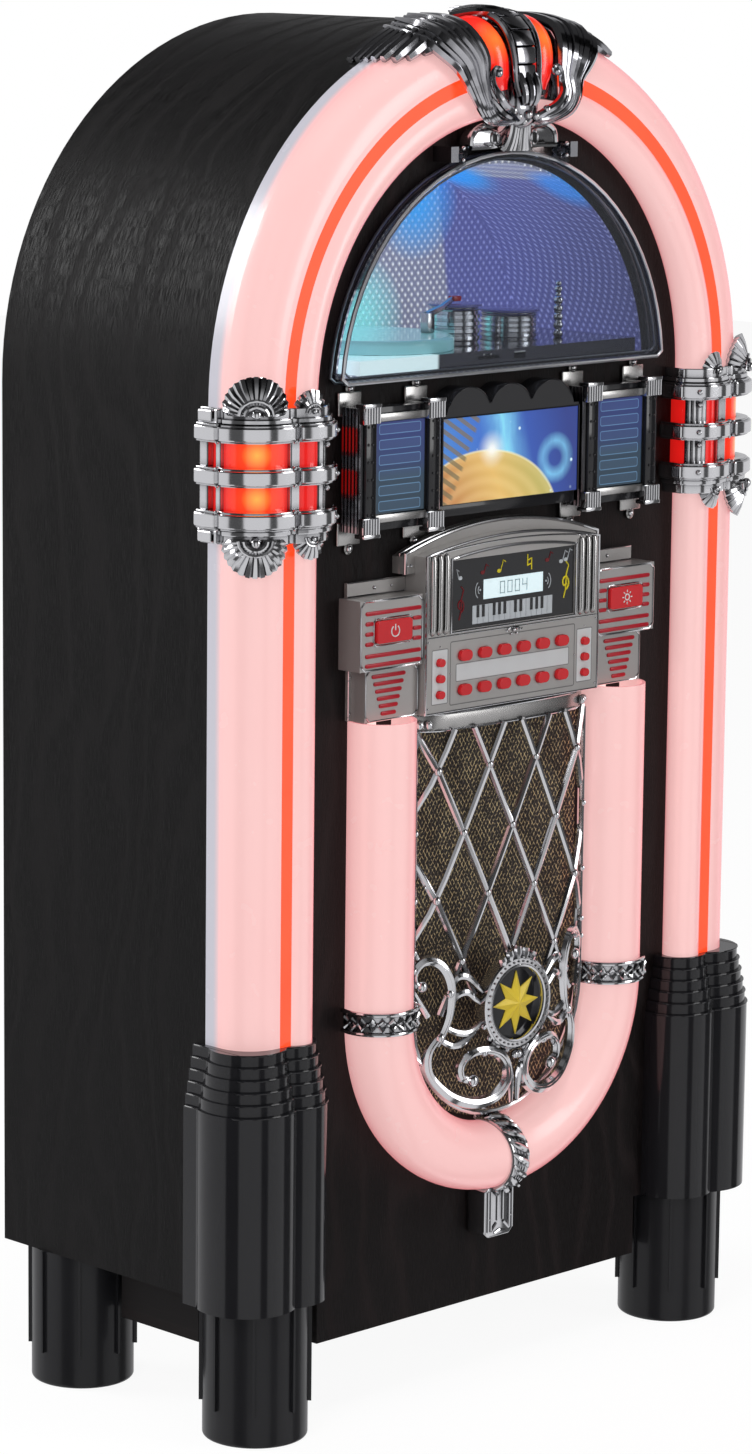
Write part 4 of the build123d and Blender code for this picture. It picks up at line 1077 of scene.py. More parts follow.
@dataclass(frozen=True)
class Circuit(Finish):
    """Green board with soldered pads."""

    name: str = "circuit_board"
    slot: str = "circuit"

    def paint(self, graph: Graph) -> None:
        """Dot the solder resist with pads and tracks.

        Args:
            graph: The material's nodes.
        """
        place = graph.place()
        cells = graph.node("ShaderNodeTexVoronoi", {}, {"Vector": place, "Scale": 220.0})
        pads = 1 - Term(graph, cells.outputs["Distance"]).step(0.25, 0.05)
        tracks = graph.noise(place, 160.0, 1.0).step(0.55, 0.02)
        green = graph.mix(tracks, (0.01, 0.10, 0.04), (0.02, 0.17, 0.06))
        graph.set(Base_Color=graph.mix(pads, green, (0.55, 0.53, 0.48)), Metallic=pads, Roughness=0.4)


@dataclass(frozen=True)
class TitleCard(Finish):
    """Title card shaded from blue to dark teal, with six outlined blank strips."""

    name: str = "title_card"
    slot: str = "card"
    centre_x: float = 120.0
    top: float = 759.0
    bottom: float = 691.0
    rows: int = 6
    strip_half: float = 21.5
    strip_tall: float = 3.5

    def paint(self, graph: Graph) -> None:
        """Shade the card and rule its strips.

        Args:
            graph: The material's nodes.
        """
        x, _, z = graph.axes()
        across = (x.size() - self.centre_x * MM) * PER_MM
        fall = (self.top - z * PER_MM) / (self.top - self.bottom)
        row = fall * float(self.rows)
        off = (row - row.maths("FLOOR") - 0.5).size() * ((self.top - self.bottom) / self.rows)
        corner = 1.6
        out_x = (across.size() - (self.strip_half - corner)).most(0.0)
        out_z = (off - (self.strip_tall - corner)).most(0.0)
        gap = (out_x * out_x + out_z * out_z).root() - corner
        line = 1 - gap.size().step(0.30, 0.15)
        inside = 1 - gap.step(0.0, 0.2)
        ground = graph.ramp(
            fall,
            (
                (0.0, (0.006, 0.022, 0.16)), (0.45, (0.007, 0.028, 0.12)), (0.62, (0.008, 0.035, 0.070)),
                (1.0, (0.006, 0.03, 0.055))
            )
        )
        lighter = graph.mix(inside * 0.05, ground, (0.25, 0.45, 0.80))
        colour = graph.mix(line * 0.40, lighter, (0.22, 0.48, 0.82))
        fibre = graph.noise(graph.place(), 300.0, 2.0)
        # The emission is painted light that makes the whole card glow.
        graph.set(
            Base_Color=colour, Roughness=0.30 + fibre * 0.1, Emission_Color=colour, Emission_Strength=0.35,
            Coat_Weight=0.4, Normal=graph.bump(line, 0.15, 0.0002)
        )


@dataclass(frozen=True)
class PicturePrint(Finish):
    """Printed panel: golden bands sweeping up into a blue sky with points of light."""

    name: str = "picture_print"
    slot: str = "picture_print"
    low: float = 691.0
    high: float = 756.0
    half: float = 74.0

    def paint(self, graph: Graph) -> None:
        """Paint the plain design of bands, glow and sparks.

        Args:
            graph: The material's nodes.
        """
        place = graph.place()
        x, _, z = graph.axes(place)
        right = (x * PER_MM + self.half) / (2 * self.half)
        up = (z * PER_MM - self.low) / (self.high - self.low)
        sky = graph.ramp(
            right + up * 0.1,
            ((0.0, (0.05, 0.22, 0.62)), (0.5, (0.02, 0.10, 0.50)), (1.0, (0.008, 0.03, 0.22)))
        )
        haze = graph.noise(graph.vector(x * 3.0, 0.0, z), 22.0, 4.0)
        beam = (1 - ((right - 0.48 + (up - 0.5) * 0.12).size() * 5.5)).most(0.0) ** 1.5
        sky = graph.mix((beam * haze * 1.7).least(1.0), sky, (0.25, 0.75, 0.95))
        far = (((right - 0.30) * 1.35) ** 2.0 + ((up + 0.28) * 0.85) ** 2.0).root()
        disc = 1 - far.step(0.74, 0.012)
        rings = (far * 46.0).sine() * 0.5 + 0.5
        gold = graph.ramp(
            right + up * 0.25,
            (
                (0.0, (0.45, 0.16, 0.05)), (0.45, (0.72, 0.45, 0.12)), (0.8, (0.45, 0.40, 0.10)),
                (1.0, (0.06, 0.16, 0.08))
            )
        )
        gold = graph.mix(rings * 0.16, gold, (0.95, 0.75, 0.35))
        colour = graph.mix(disc, sky, gold)
        rim = (1 - (far - 0.74).size() * 60.0).most(0.0)
        colour = graph.mix(rim * 0.7, colour, (0.85, 0.80, 0.45))
        bars = ((right * 1.0 + up * 0.75) * 60.0).sine().step(0.2, 0.25)
        corner = (1 - (right * 3.6 + (1 - up) * 0.8)).step(0.0, 0.05)
        colour = graph.mix(corner * bars * 0.8, colour, (0.16, 0.13, 0.06))
        cells = graph.node("ShaderNodeTexVoronoi", {}, {"Vector": place, "Scale": 85.0})
        spark = 1 - Term(graph, cells.outputs["Distance"]).step(0.10, 0.06)
        chosen = Term(
            graph, graph.node("ShaderNodeSeparateXYZ", {}, {0: cells.outputs["Color"]}).outputs[0]
        ).step(0.66, 0.02)
        colour = graph.mix(spark * chosen * (1 - disc * 0.4), colour, (0.70, 0.92, 1.0))
        whirl = (((right - 0.83) * 2.2) ** 2.0 + (up - 0.42) ** 2.0).root()
        glow = (1 - (whirl - 0.20).size() * 9.0).most(0.0) * haze
        colour = graph.mix(glow, colour, (0.25, 0.72, 1.0))
        heart = (1 - (((right - 0.36) * 2.2) ** 2.0 + (up - 0.60) ** 2.0).root() * 4.2).most(0.0) ** 1.4
        colour = graph.mix(heart, colour, (0.95, 0.97, 0.90))
        # The emission is painted light that makes the whole print glow.
        graph.set(
            Base_Color=colour, Roughness=0.16 + haze * 0.05, Emission_Color=colour, Emission_Strength=0.45,
            Coat_Weight=0.5, Normal=graph.bump(haze, 0.02, 0.0003)
        )


@dataclass(frozen=True)
class PanelSilver(Finish):
    """Satin silver paint of the fascia, with its white label fields and scored lines."""

    name: str = "fascia_silver"
    slot: str = "silver_panel"
    colour: Colour = (0.40, 0.385, 0.375)
    labels: tuple[tuple[float, float, float, float], ...] = (
        (0.0, 564.6, 62.0, 6.6), (-79.5, 563.4, 8.4, 20.6), (79.5, 563.4, 8.4, 20.6)
    )
    scored: tuple[float, float, float, float] = (0.0, 564.6, 68.3, 24.0)

    def field_gap(
        self, across: Term, up: Term, box: tuple[float, float, float, float], corner: float
    ) -> Term:
        """Return the distance outside a rounded field, in millimetres.

        Args:
            across: X in millimetres.
            up: Z in millimetres.
            box: Middle X and Z, half width and half height.
            corner: Corner radius.

        Returns:
            The distance, negative inside.
        """
        middle_x, middle_z, half, tall = box
        out_x = ((across - middle_x).size() - (half - corner)).most(0.0)
        out_z = ((up - middle_z).size() - (tall - corner)).most(0.0)
        return (out_x * out_x + out_z * out_z).root() - corner

    def paint(self, graph: Graph) -> None:
        """Paint the labels and score the lines round them.

        Args:
            graph: The material's nodes.
        """
        place = graph.place()
        x, y, z = graph.axes(place)
        across, up = x * PER_MM, z * PER_MM
        front = (FRONT_Y * MM - y).step(49.3 * MM, 0.0004)
        label: Term | None = None
        edge: Term | None = None
        for box in self.labels:
            gap = self.field_gap(across, up, box, 1.0)
            inside = 1 - gap.step(0.0, 0.15)
            border = 1 - gap.size().step(0.35, 0.15)
            label = inside if label is None else label.most(inside)
            edge = border if edge is None else edge.most(border)
        score = 1 - self.field_gap(across, up, self.scored, 1.5).size().step(0.45, 0.2)
        rule = 1 - (up - 564.6).size().step(0.18, 0.08)
        rule = rule * (1 - (across.size()).step(62.0, 0.2))
        fine = graph.noise(graph.vector(x * 0.6, y, z * 5.0), 600.0, 2.0)
        cloud = graph.noise(place, 18.0, 2.0)
        silver = graph.mix(cloud, self.colour, tuple(part * 1.16 for part in self.colour))
        white = graph.mix(rule * front, silver, (0.55, 0.55, 0.55))
        white = graph.mix(label * front, white, (0.70, 0.71, 0.72))
        colour = graph.mix((edge + score).least(1.0) * front * 0.75, white, (0.10, 0.10, 0.10))
        graph.set(
            Base_Color=colour, Metallic=0.55 - label * front * 0.55, Roughness=0.30 + fine * 0.08,
            Normal=graph.bump(fine * 0.25 - (edge + score) * front, 0.25, 0.0004), Coat_Weight=0.15
        )


class Palette:
    """The finishes that more than one sub-assembly uses."""

    chrome = Plated()
    # A shaded copy of the plating for the crown: its darker colour is painted shade.
    shaded_chrome = Plated("shaded_plating", "chromed", (0.58, 0.58, 0.61), (0.05, 0.05, 0.06), 0.09, 0.05)
    satin = Plated(
        name="satin_silver", slot="silver_panel", colour=(0.50, 0.49, 0.48), fold_shade=(0.16, 0.16, 0.16),
        roughness=0.24, ripple=0.02
    )
    veneer = Veneer()
    board_front = Veneer(
        name="black_board", slot="baffle_finish", stain=(0.008, 0.006, 0.006), pore=(0.022, 0.016, 0.016),
        bent=False
    )
    board = Board()
    gloss_black = Moulded("gloss_black", "pilaster_black", (0.010, 0.010, 0.012), 0.10, 0.02, 0.8)
    foot_black = Moulded("foot_black", "feet_plastic", (0.012, 0.012, 0.014), 0.26, 0.05, 0.3)
    deck_black = Moulded("deck_black", "deck_black", (0.016, 0.014, 0.040), 0.08, 0.02, 0.8)
    matt_black = Moulded("matt_black", "socket_black", (0.014, 0.014, 0.015), 0.45, 0.10, 0.0)
    print_black = Moulded("print_black", "picture_print", (0.012, 0.012, 0.014), 0.12, 0.02, 0.6)
    screen_black = Moulded("screen_black", "display", (0.008, 0.008, 0.010), 0.08, 0.01, 0.8)
    red = Moulded("button_red", "button_red", (0.62, 0.012, 0.018), 0.16, 0.03, 0.6)
    groove_red = Moulded("groove_red", "button_red", (0.42, 0.008, 0.020), 0.25, 0.03, 0.3)
    yellow = Moulded("star_yellow", "star_yellow", (0.86, 0.62, 0.06), 0.30, 0.04, 0.2)
    white = Moulded("label_white", "silver_panel", (0.72, 0.72, 0.72), 0.35, 0.02, 0.1)
    speaker = Moulded("speaker_paper", "speaker_black", (0.02, 0.02, 0.02), 0.6, 0.2, 0.0)
    satin_bright = Plated(
        "bright_satin", "silver_panel", (0.66, 0.65, 0.64), (0.10, 0.10, 0.10), 0.16, 0.02
    )
    # Pale plating that paints the highlights on the clear sheet's edges.
    acrylic_edge_highlight = Plated("acrylic_edge_highlight", "clear_cover", (0.90, 0.92, 0.95), (0.60, 0.63, 0.68), 0.30, 0.02)
    # The faint violet emission is painted glow on the drum caps.
    glowing_violet_glass = Moulded(
        "glowing_violet_glass", "clear_cover", (0.10, 0.10, 0.30), 0.06, 0.02, 0.8, (0.20, 0.20, 0.55), 0.12
    )
    ribbed_clear = Plated("ribbed_clear", "clear_cover", (0.34, 0.34, 0.36), (0.05, 0.05, 0.06), 0.10, 0.03)
    fascia = PanelSilver()
    title_card = TitleCard()
    picture = PicturePrint()
    lcd = Moulded("lcd_glass", "display", (0.60, 0.72, 0.75), 0.18, 0.01, 0.4, (0.72, 0.86, 0.90), 0.45)
    lcd_ink = Moulded("lcd_ink", "display", (0.32, 0.42, 0.44), 0.30, 0.01, 0.0)
    print_yellow = Moulded("print_yellow", "display", (0.70, 0.58, 0.02), 0.30, 0.02, 0.2)
    print_red = Moulded("print_red", "display", (0.16, 0.008, 0.012), 0.30, 0.02, 0.2)
    print_white = Moulded("print_white", "display", (0.50, 0.53, 0.56), 0.30, 0.02, 0.2)
    lamp = Moulded("lamp_strip", "lamp_strip", (0.9, 0.86, 0.82), 0.4, 0.05, 0.0, (1.0, 0.75, 0.7), 0.6)
    socket = matt_black
    tube = TubeGlow()
    strip = RedGlow("red_strip", edge=(1.0, 0.05, 0.01), middle=(1.0, 0.07, 0.015), heart=(1.0, 0.10, 0.02))
    clear = ClearSheet()
    foil = PrismFoil()
    lit_deck = LitDeck()
    lit_dish = Moulded(
        "lit_dish", "clear_cover", (0.30, 0.52, 0.56), 0.10, 0.02, 0.6, (0.30, 0.80, 0.84), 0.35
    )
    cloth = MeshCloth()
    circuit = Circuit()


@dataclass(frozen=True)
class TubePlan:
    """Plan of the two-lobed light tube, as points (u, v) from its outer side to the baffle."""

    side: float = 17.5
    lobe: float = 28.0
    inner_u: float = 54.554
    inner_v: float = 36.0
    inner_radius: float = 14.5
    foot: float = 11.0
    top: float = 45.5

    def outline(
        self, grow: float, outer_steps: int = 10, inner_steps: int = 10
    ) -> list[tuple[float, float]]:
        """Return the outline grown outwards.

        Args:
            grow: How far outside the tube, in millimetres.
            outer_steps: Facets of the outer lobe.
            inner_steps: Facets of the inner lobe.

        Returns:
            Points (u, v) in millimetres.
        """
        points = [(-grow, 0.0)]
        outer = self.lobe + grow
        for index in range(outer_steps + 1):
            angle = math.pi / 2 * index / outer_steps
            points.append((self.lobe - outer * math.cos(angle), self.side + outer * math.sin(angle)))
        inner = self.inner_radius + grow
        start = math.pi - math.asin((self.top + grow - self.inner_v) / inner)
        end = -math.asin(self.foot / inner)
        for index in range(inner_steps + 1):
            angle = start + (end - start) * index / inner_steps
            points.append((self.inner_u + inner * math.cos(angle), self.inner_v + inner * math.sin(angle)))
        return points

    def along(self, share: float, grow: float) -> tuple[float, float]:
        """Return the point (u, v) at a share of the outline's length, grown outwards.

        Args:
            share: Share of the outline's length.
            grow: How far outside the tube, in millimetres.

        Returns:
            The point (u, v) in millimetres.
        """
        points = self.outline(grow, 16, 16)
        lengths = [math.dist(a, b) for a, b in zip(points, points[1:])]
        left = share * sum(lengths)
        for (a, b), length in zip(zip(points, points[1:]), lengths):
            if left <= length:
                part = left / length
                return (a[0] + (b[0] - a[0]) * part, a[1] + (b[1] - a[1]) * part)
            left -= length
        return points[-1]


TUBE = TubePlan()


class Assembly(ABC):
    """A sub-assembly that builds its pieces on the bench."""

    bench = Bench()

    @abstractmethod
    def build(self) -> None:
        """Build and dress the pieces."""

    def dress(self, node: str, finish: Finish) -> None:
        """Give a carried-over node its finish.

        Args:
            node: The node's name.
            finish: What it is made of.
        """
        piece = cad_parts[node]
        piece.data.materials.clear()
        piece.data.materials.append(finish.material())
        LOG.info("node %s: %s", node, finish.name)


@dataclass
class Carcass(Assembly):
    """Shell, boards, feet and the parts inside."""

    finishes: tuple[tuple[Finish, tuple[str, ...]], ...] = (
        (Palette.veneer, ("cabinet_shell",)), (Palette.board_front, ("front_baffle", "base_plinth")),
        (Palette.board, ("back_panel", "bottom_board")), (Palette.foot_black, ("feet",)),
        (Palette.gloss_black, ("pilasters",)), (Palette.tube, ("arch_lens", "column_lenses", "loop_lens")),
        (Palette.strip, ("red_strips", "crown_lens", "collar_lenses")), (Palette.lamp, ("light_strips",)),
        (Palette.chrome, ("collars", "crown", "deck_drums", "beaded_column", "title_holders")),
        (Palette.chrome, ("loop_bands", "grille_lattice", "medallion")), (Palette.clear, ("window_cover",)),
        (Palette.ribbed_clear, ("window_hinge",)), (Palette.foil, ("compartment_liner",)),
        (Palette.lit_deck, ("disc_deck",)), (Palette.deck_black, ("turntable",)),
        (Palette.lit_dish, ("disc_lid",)), (Palette.title_card, ("title_cards",)),
        (Palette.print_black, ("picture_panel",)), (Palette.fascia, ("control_fascia", "panel_wings")),
        (Palette.screen_black, ("display_window",)),
        (Palette.circuit, ("control_board", "wing_boards", "main_board")),
        (Palette.socket, ("mains_inlet",)), (Palette.cloth, ("grille_cloth",)),
        (Palette.yellow, ("medallion_star",)), (Palette.speaker, ("speakers",))
    )

    def build(self) -> None:
        """Dress every node that keeps its own shape."""
        for finish, nodes in self.finishes:
            for node in nodes:
                self.dress(node, finish)
        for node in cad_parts:
            if node.endswith("_button") or "_button_" in node:
                self.dress(node, Palette.red)


@dataclass
class Collar(Assembly):
    """Plated collar round the light tube: three bands, ledges, posts and shell fans."""

    middle: float = 727.5
    pitch: float = 31.5
    band_height: float = 13.5
    band_grow: float = 15.0
    band_root: float = 3.0
    ledge_height: float = 11.0
    ledge_grow: float = 8.5
    plate_v: float = 21.0
    notch_u: tuple[float, float] = (29.8, 36.4)
    notch_depth: float = 5.0
    fan_turn: float = 50.0
    fan_reach: float = 25.5
    fan_flutes: int = 15
    small_turn: float = 78.0
    small_reach: float = 13.5
    small_flutes: int = 9
    lamp_turn: float = 52.0

    def build(self) -> None:
        """Model the left collar and mirror it to the right."""
        bands = [self.band(self.middle + step * self.pitch) for step in (-1, 0, 1)]
        ledges = [self.ledge(up) for up in (-1, 1)]
        posts = [self.posts(self.middle + step * self.pitch / 2) for step in (-1, 1)]
        fans = []
        for up in (-1, 1):
            fans.append(self.fan(up, self.outer_spot, self.fan_turn, self.fan_reach, self.fan_flutes, 1.05))
            fans.append(
                self.fan(up, self.inner_spot, self.small_turn, self.small_reach, self.small_flutes, 1.2)
            )
        plated = {
            "bands": self.bench.join(bands), "ledges": self.bench.join(ledges),
            "posts": self.bench.join(posts), "fans": self.bench.join(fans)
        }
        for name, piece in plated.items():
            stands = ("collars",) if name == "bands" else ()
            edge = 50.0 if name == "fans" else 18.0
            self.bench.deliver_pair(piece, f"collar_{name}", Palette.chrome, edge, stands)
        lamps = tuple(
            (side.value * (HALF_WIDTH - u), v, self.middle + step * self.pitch / 2)
            for side in SIDES
            for u, v in (self.outer_spot(self.lamp_turn, 2.0),)
            for step in (-1, 1)
        )
        self.dress(
            "collar_lenses",
            RedGlow(
                "collar_windows", lamps=lamps, reach=25.0, edge=(0.66, 0.010, 0.008),
                middle=(0.96, 0.05, 0.012), heart=(1.0, 0.36, 0.05), strength=0.8
            )
        )

    def outer_spot(self, turn: float, grow: float) -> tuple[float, float]:
        """Return (u, v) on the outer lobe at a turn in degrees, 90 facing forward."""
        reach, angle = TUBE.lobe + grow, math.radians(turn)
        return (TUBE.lobe - reach * math.cos(angle), TUBE.side + reach * math.sin(angle))

    def inner_spot(self, turn: float, grow: float) -> tuple[float, float]:
        """Return (u, v) on the inner lobe at a turn in degrees, 90 facing forward."""
        reach, angle = TUBE.inner_radius + grow, math.radians(turn)
        return (TUBE.inner_u - reach * math.cos(angle), TUBE.inner_v + reach * math.sin(angle))

    def point(self, u: float, v: float, z: float) -> Vector:
        """Return a point of the left tube in metres."""
        return at(u - HALF_WIDTH, v, z)

    def section(self, grow: float, notch: float) -> list[tuple[float, float]]:
        """Return the outer line of a band with its flat side plate and a notch in the valley.

        Args:
            grow: How far it stands off the tube.
            notch: Depth of the notch.

        Returns:
            Points (u, v) from the cabinet's side to the baffle.
        """
        top = TUBE.top + grow
        points = [(-grow, 0.5), (-grow, self.plate_v), (2.6 - grow, self.plate_v + 1.2)]
        points += [self.outer_spot(turn, grow) for turn in (12, 22, 32, 42, 52, 62, 72, 82, 90)]
        points += [(self.notch_u[0], top), (self.notch_u[0] + 1.4, top - notch)]
        points += [(self.notch_u[1] - 1.4, top - notch), (self.notch_u[1], top)]
        points += [self.inner_spot(turn, grow) for turn in (64, 76, 88, 100, 112, 124, 138, 152)]
        end_u, end_v = self.inner_spot(152, grow)
        points += [(end_u + 2.5, end_v - 1.0), (end_u + 2.5, 26.0)]
        return points

    def ring(self, low: float, height: float, grow: float, notch: float, bevel: float) -> Piece:
        """Extrude a band's section between its outer line and the tube.

        Args:
            low: Height of its lower face.
            height: How tall it is.
            grow: How far it stands off the tube.
            notch: Depth of the notch in the valley.
            bevel: Width of the rounding along its edges.

        Returns:
            The band.
        """
        outer = self.section(grow, notch)
        inner = self.section(self.band_root, 0.0)
        outline = [self.point(u, v, low) for u, v in outer + inner[::-1]]
        piece = self.bench.plate(outline, Vector((0, 0, height * MM)))
        return self.bench.round_edges(piece, bevel, 2, 50.0)

    def band(self, middle: float) -> Piece:
        """Make one band: a proud strap, two thin lips and beads at its corners.

        Args:
            middle: Height of its middle.

        Returns:
            The band.
        """
        lip = self.band_height / 2
        parts = [
            self.ring(middle - lip + 1.6, self.band_height - 3.2, self.band_grow, self.notch_depth, 1.1)
        ]
        for low in (-lip, lip - 2.2):
            parts.append(self.ring(middle + low, 2.2, self.band_grow - 2.4, self.notch_depth, 0.6))
        corner = (3.4 - self.band_grow, self.plate_v + 0.6)
        valley = (sum(self.notch_u) / 2, TUBE.top + self.band_grow - self.notch_depth + 0.6)
        for u, v in (corner, valley):
            for end in (-lip, lip):
                parts.append(self.bench.bead(self.point(u, v, middle + end * 0.9), 1.7))
        screw_u, screw_v = self.inner_spot(128, self.band_grow - 0.6)
        parts.append(self.bench.bead(self.point(screw_u, screw_v, middle), 2.2))
        return self.bench.join(parts)

    def ledge(self, up: int) -> Piece:
        """Make the stepped ledge beyond an end band, with a block on its side.

        Args:
            up: 1 for the ledge above the bands, -1 for the one below.

        Returns:
            The ledge.
        """
        edge = self.middle + up * (self.pitch + self.band_height / 2)
        parts = []
        for grow, height in ((self.ledge_grow, self.ledge_height), (self.ledge_grow + 2.6, 4.0)):
            low = edge if up > 0 else edge - height
            parts.append(self.ring(low, height, grow, 2.5, 0.8))
        low = edge + (1.4 if up > 0 else 1.4 - self.ledge_height)
        block = self.bench.block(
            self.point(-self.ledge_grow - 4.5, 17.0, low),
            self.point(-self.ledge_grow + 2.0, 2.5, low + self.ledge_height - 2.8), 0.9
        )
        frame_block = self.bench.block(
            self.point(-self.ledge_grow - 3.2, 21.5, low - 0.6),
            self.point(-self.ledge_grow + 4.0, 18.4, low + self.ledge_height - 2.0), 0.7
        )
        return self.bench.join(parts + [block, frame_block])

    def posts(self, middle: float) -> Piece:
        """Make the posts and blocks that part the windows between two bands.

        Args:
            middle: Height of the gap's middle.

        Returns:
            The joined posts.
        """
        half = (self.pitch - self.band_height) / 2 + 0.6
        parts = [
            self.bench.block(
                self.point(-9.5, 9.0, middle - half), self.point(-2.0, 0.8, middle + half), 1.2
            ),
            self.bench.block(
                self.point(-6.4, 19.4, middle - half), self.point(0.5, 14.6, middle + half), 0.8
            ),
            self.bench.block(
                self.point(33.0, TUBE.top + 6.5, middle - half),
                self.point(42.2, TUBE.top - 2.0, middle + half), 0.9
            )
        ]
        for turn, share in ((113.0, 6.0), (124.0, 6.6), (136.0, 6.0), (148.0, 5.0)):
            u, v = self.inner_spot(turn, share / 2)
            parts.append(self.bench.drum(self.point(u, v, middle), 3.4, 2 * half, 16))
        u, v = self.inner_spot(124.0, 7.2)
        parts.append(self.bench.bead(self.point(u, v, middle + 5.2), 2.5))
        return self.bench.join(parts)

    def fan(
        self, up: int, spot: Callable[[float, float], tuple[float, float]], turn: float, reach: float,
        flutes: int, tall: float
    ) -> Piece:
        """Make a shell fan that lies on a lobe of the tube.

        Args:
            up: 1 for a fan that opens upwards, -1 downwards.
            spot: Gives (u, v) on the lobe for a turn and a height off it.
            turn: Turn of its middle in degrees.
            reach: Length of a flute.
            flutes: How many flutes.
            tall: Height of the fan for its half width.

        Returns:
            The fan.
        """
        root = self.middle + up * (self.pitch + self.band_height / 2 + self.ledge_height - 4.5)
        radius = TUBE.lobe if spot == self.outer_spot else TUBE.inner_radius
        half = math.pi * reach / flutes * 0.60
        parts = []
        for lean in fan_angles(flutes, -84.0, 84.0):
            path = []
            for share in (0.16, 0.45, 0.75, 1.0):
                along = reach * share * math.sin(lean)
                height = reach * share * math.cos(lean) * tall
                u, v = spot(
                    turn + math.degrees(along / (radius + 5.0)), 3.6 + 0.30 * reach * (1 - share * share)
                )
                path.append(self.point(u, v, root + up * height))
            parts.append(self.bench.tube(path, half, (0.30, 0.58, 0.86, 1.0), facets=1))
        for share, thick in ((0.42, 1.3), (0.26, 1.8)):
            ring = []
            for lean in fan_angles(9, -88.0, 88.0):
                along = reach * share * math.sin(lean)
                u, v = spot(
                    turn + math.degrees(along / (radius + 5.0)), 5.4 + 0.30 * reach * (1 - share * share)
                )
                ring.append(self.point(u, v, root + up * reach * share * math.cos(lean) * tall))
            parts.append(self.bench.tube(ring, thick * reach / 27.0, facets=1))
        u, v = spot(turn, 4.6 + 0.30 * reach)
        parts.append(self.bench.bead(self.point(u, v, root + up * 1.5), 4.2 * reach / 27.0))
        return self.bench.join(parts)


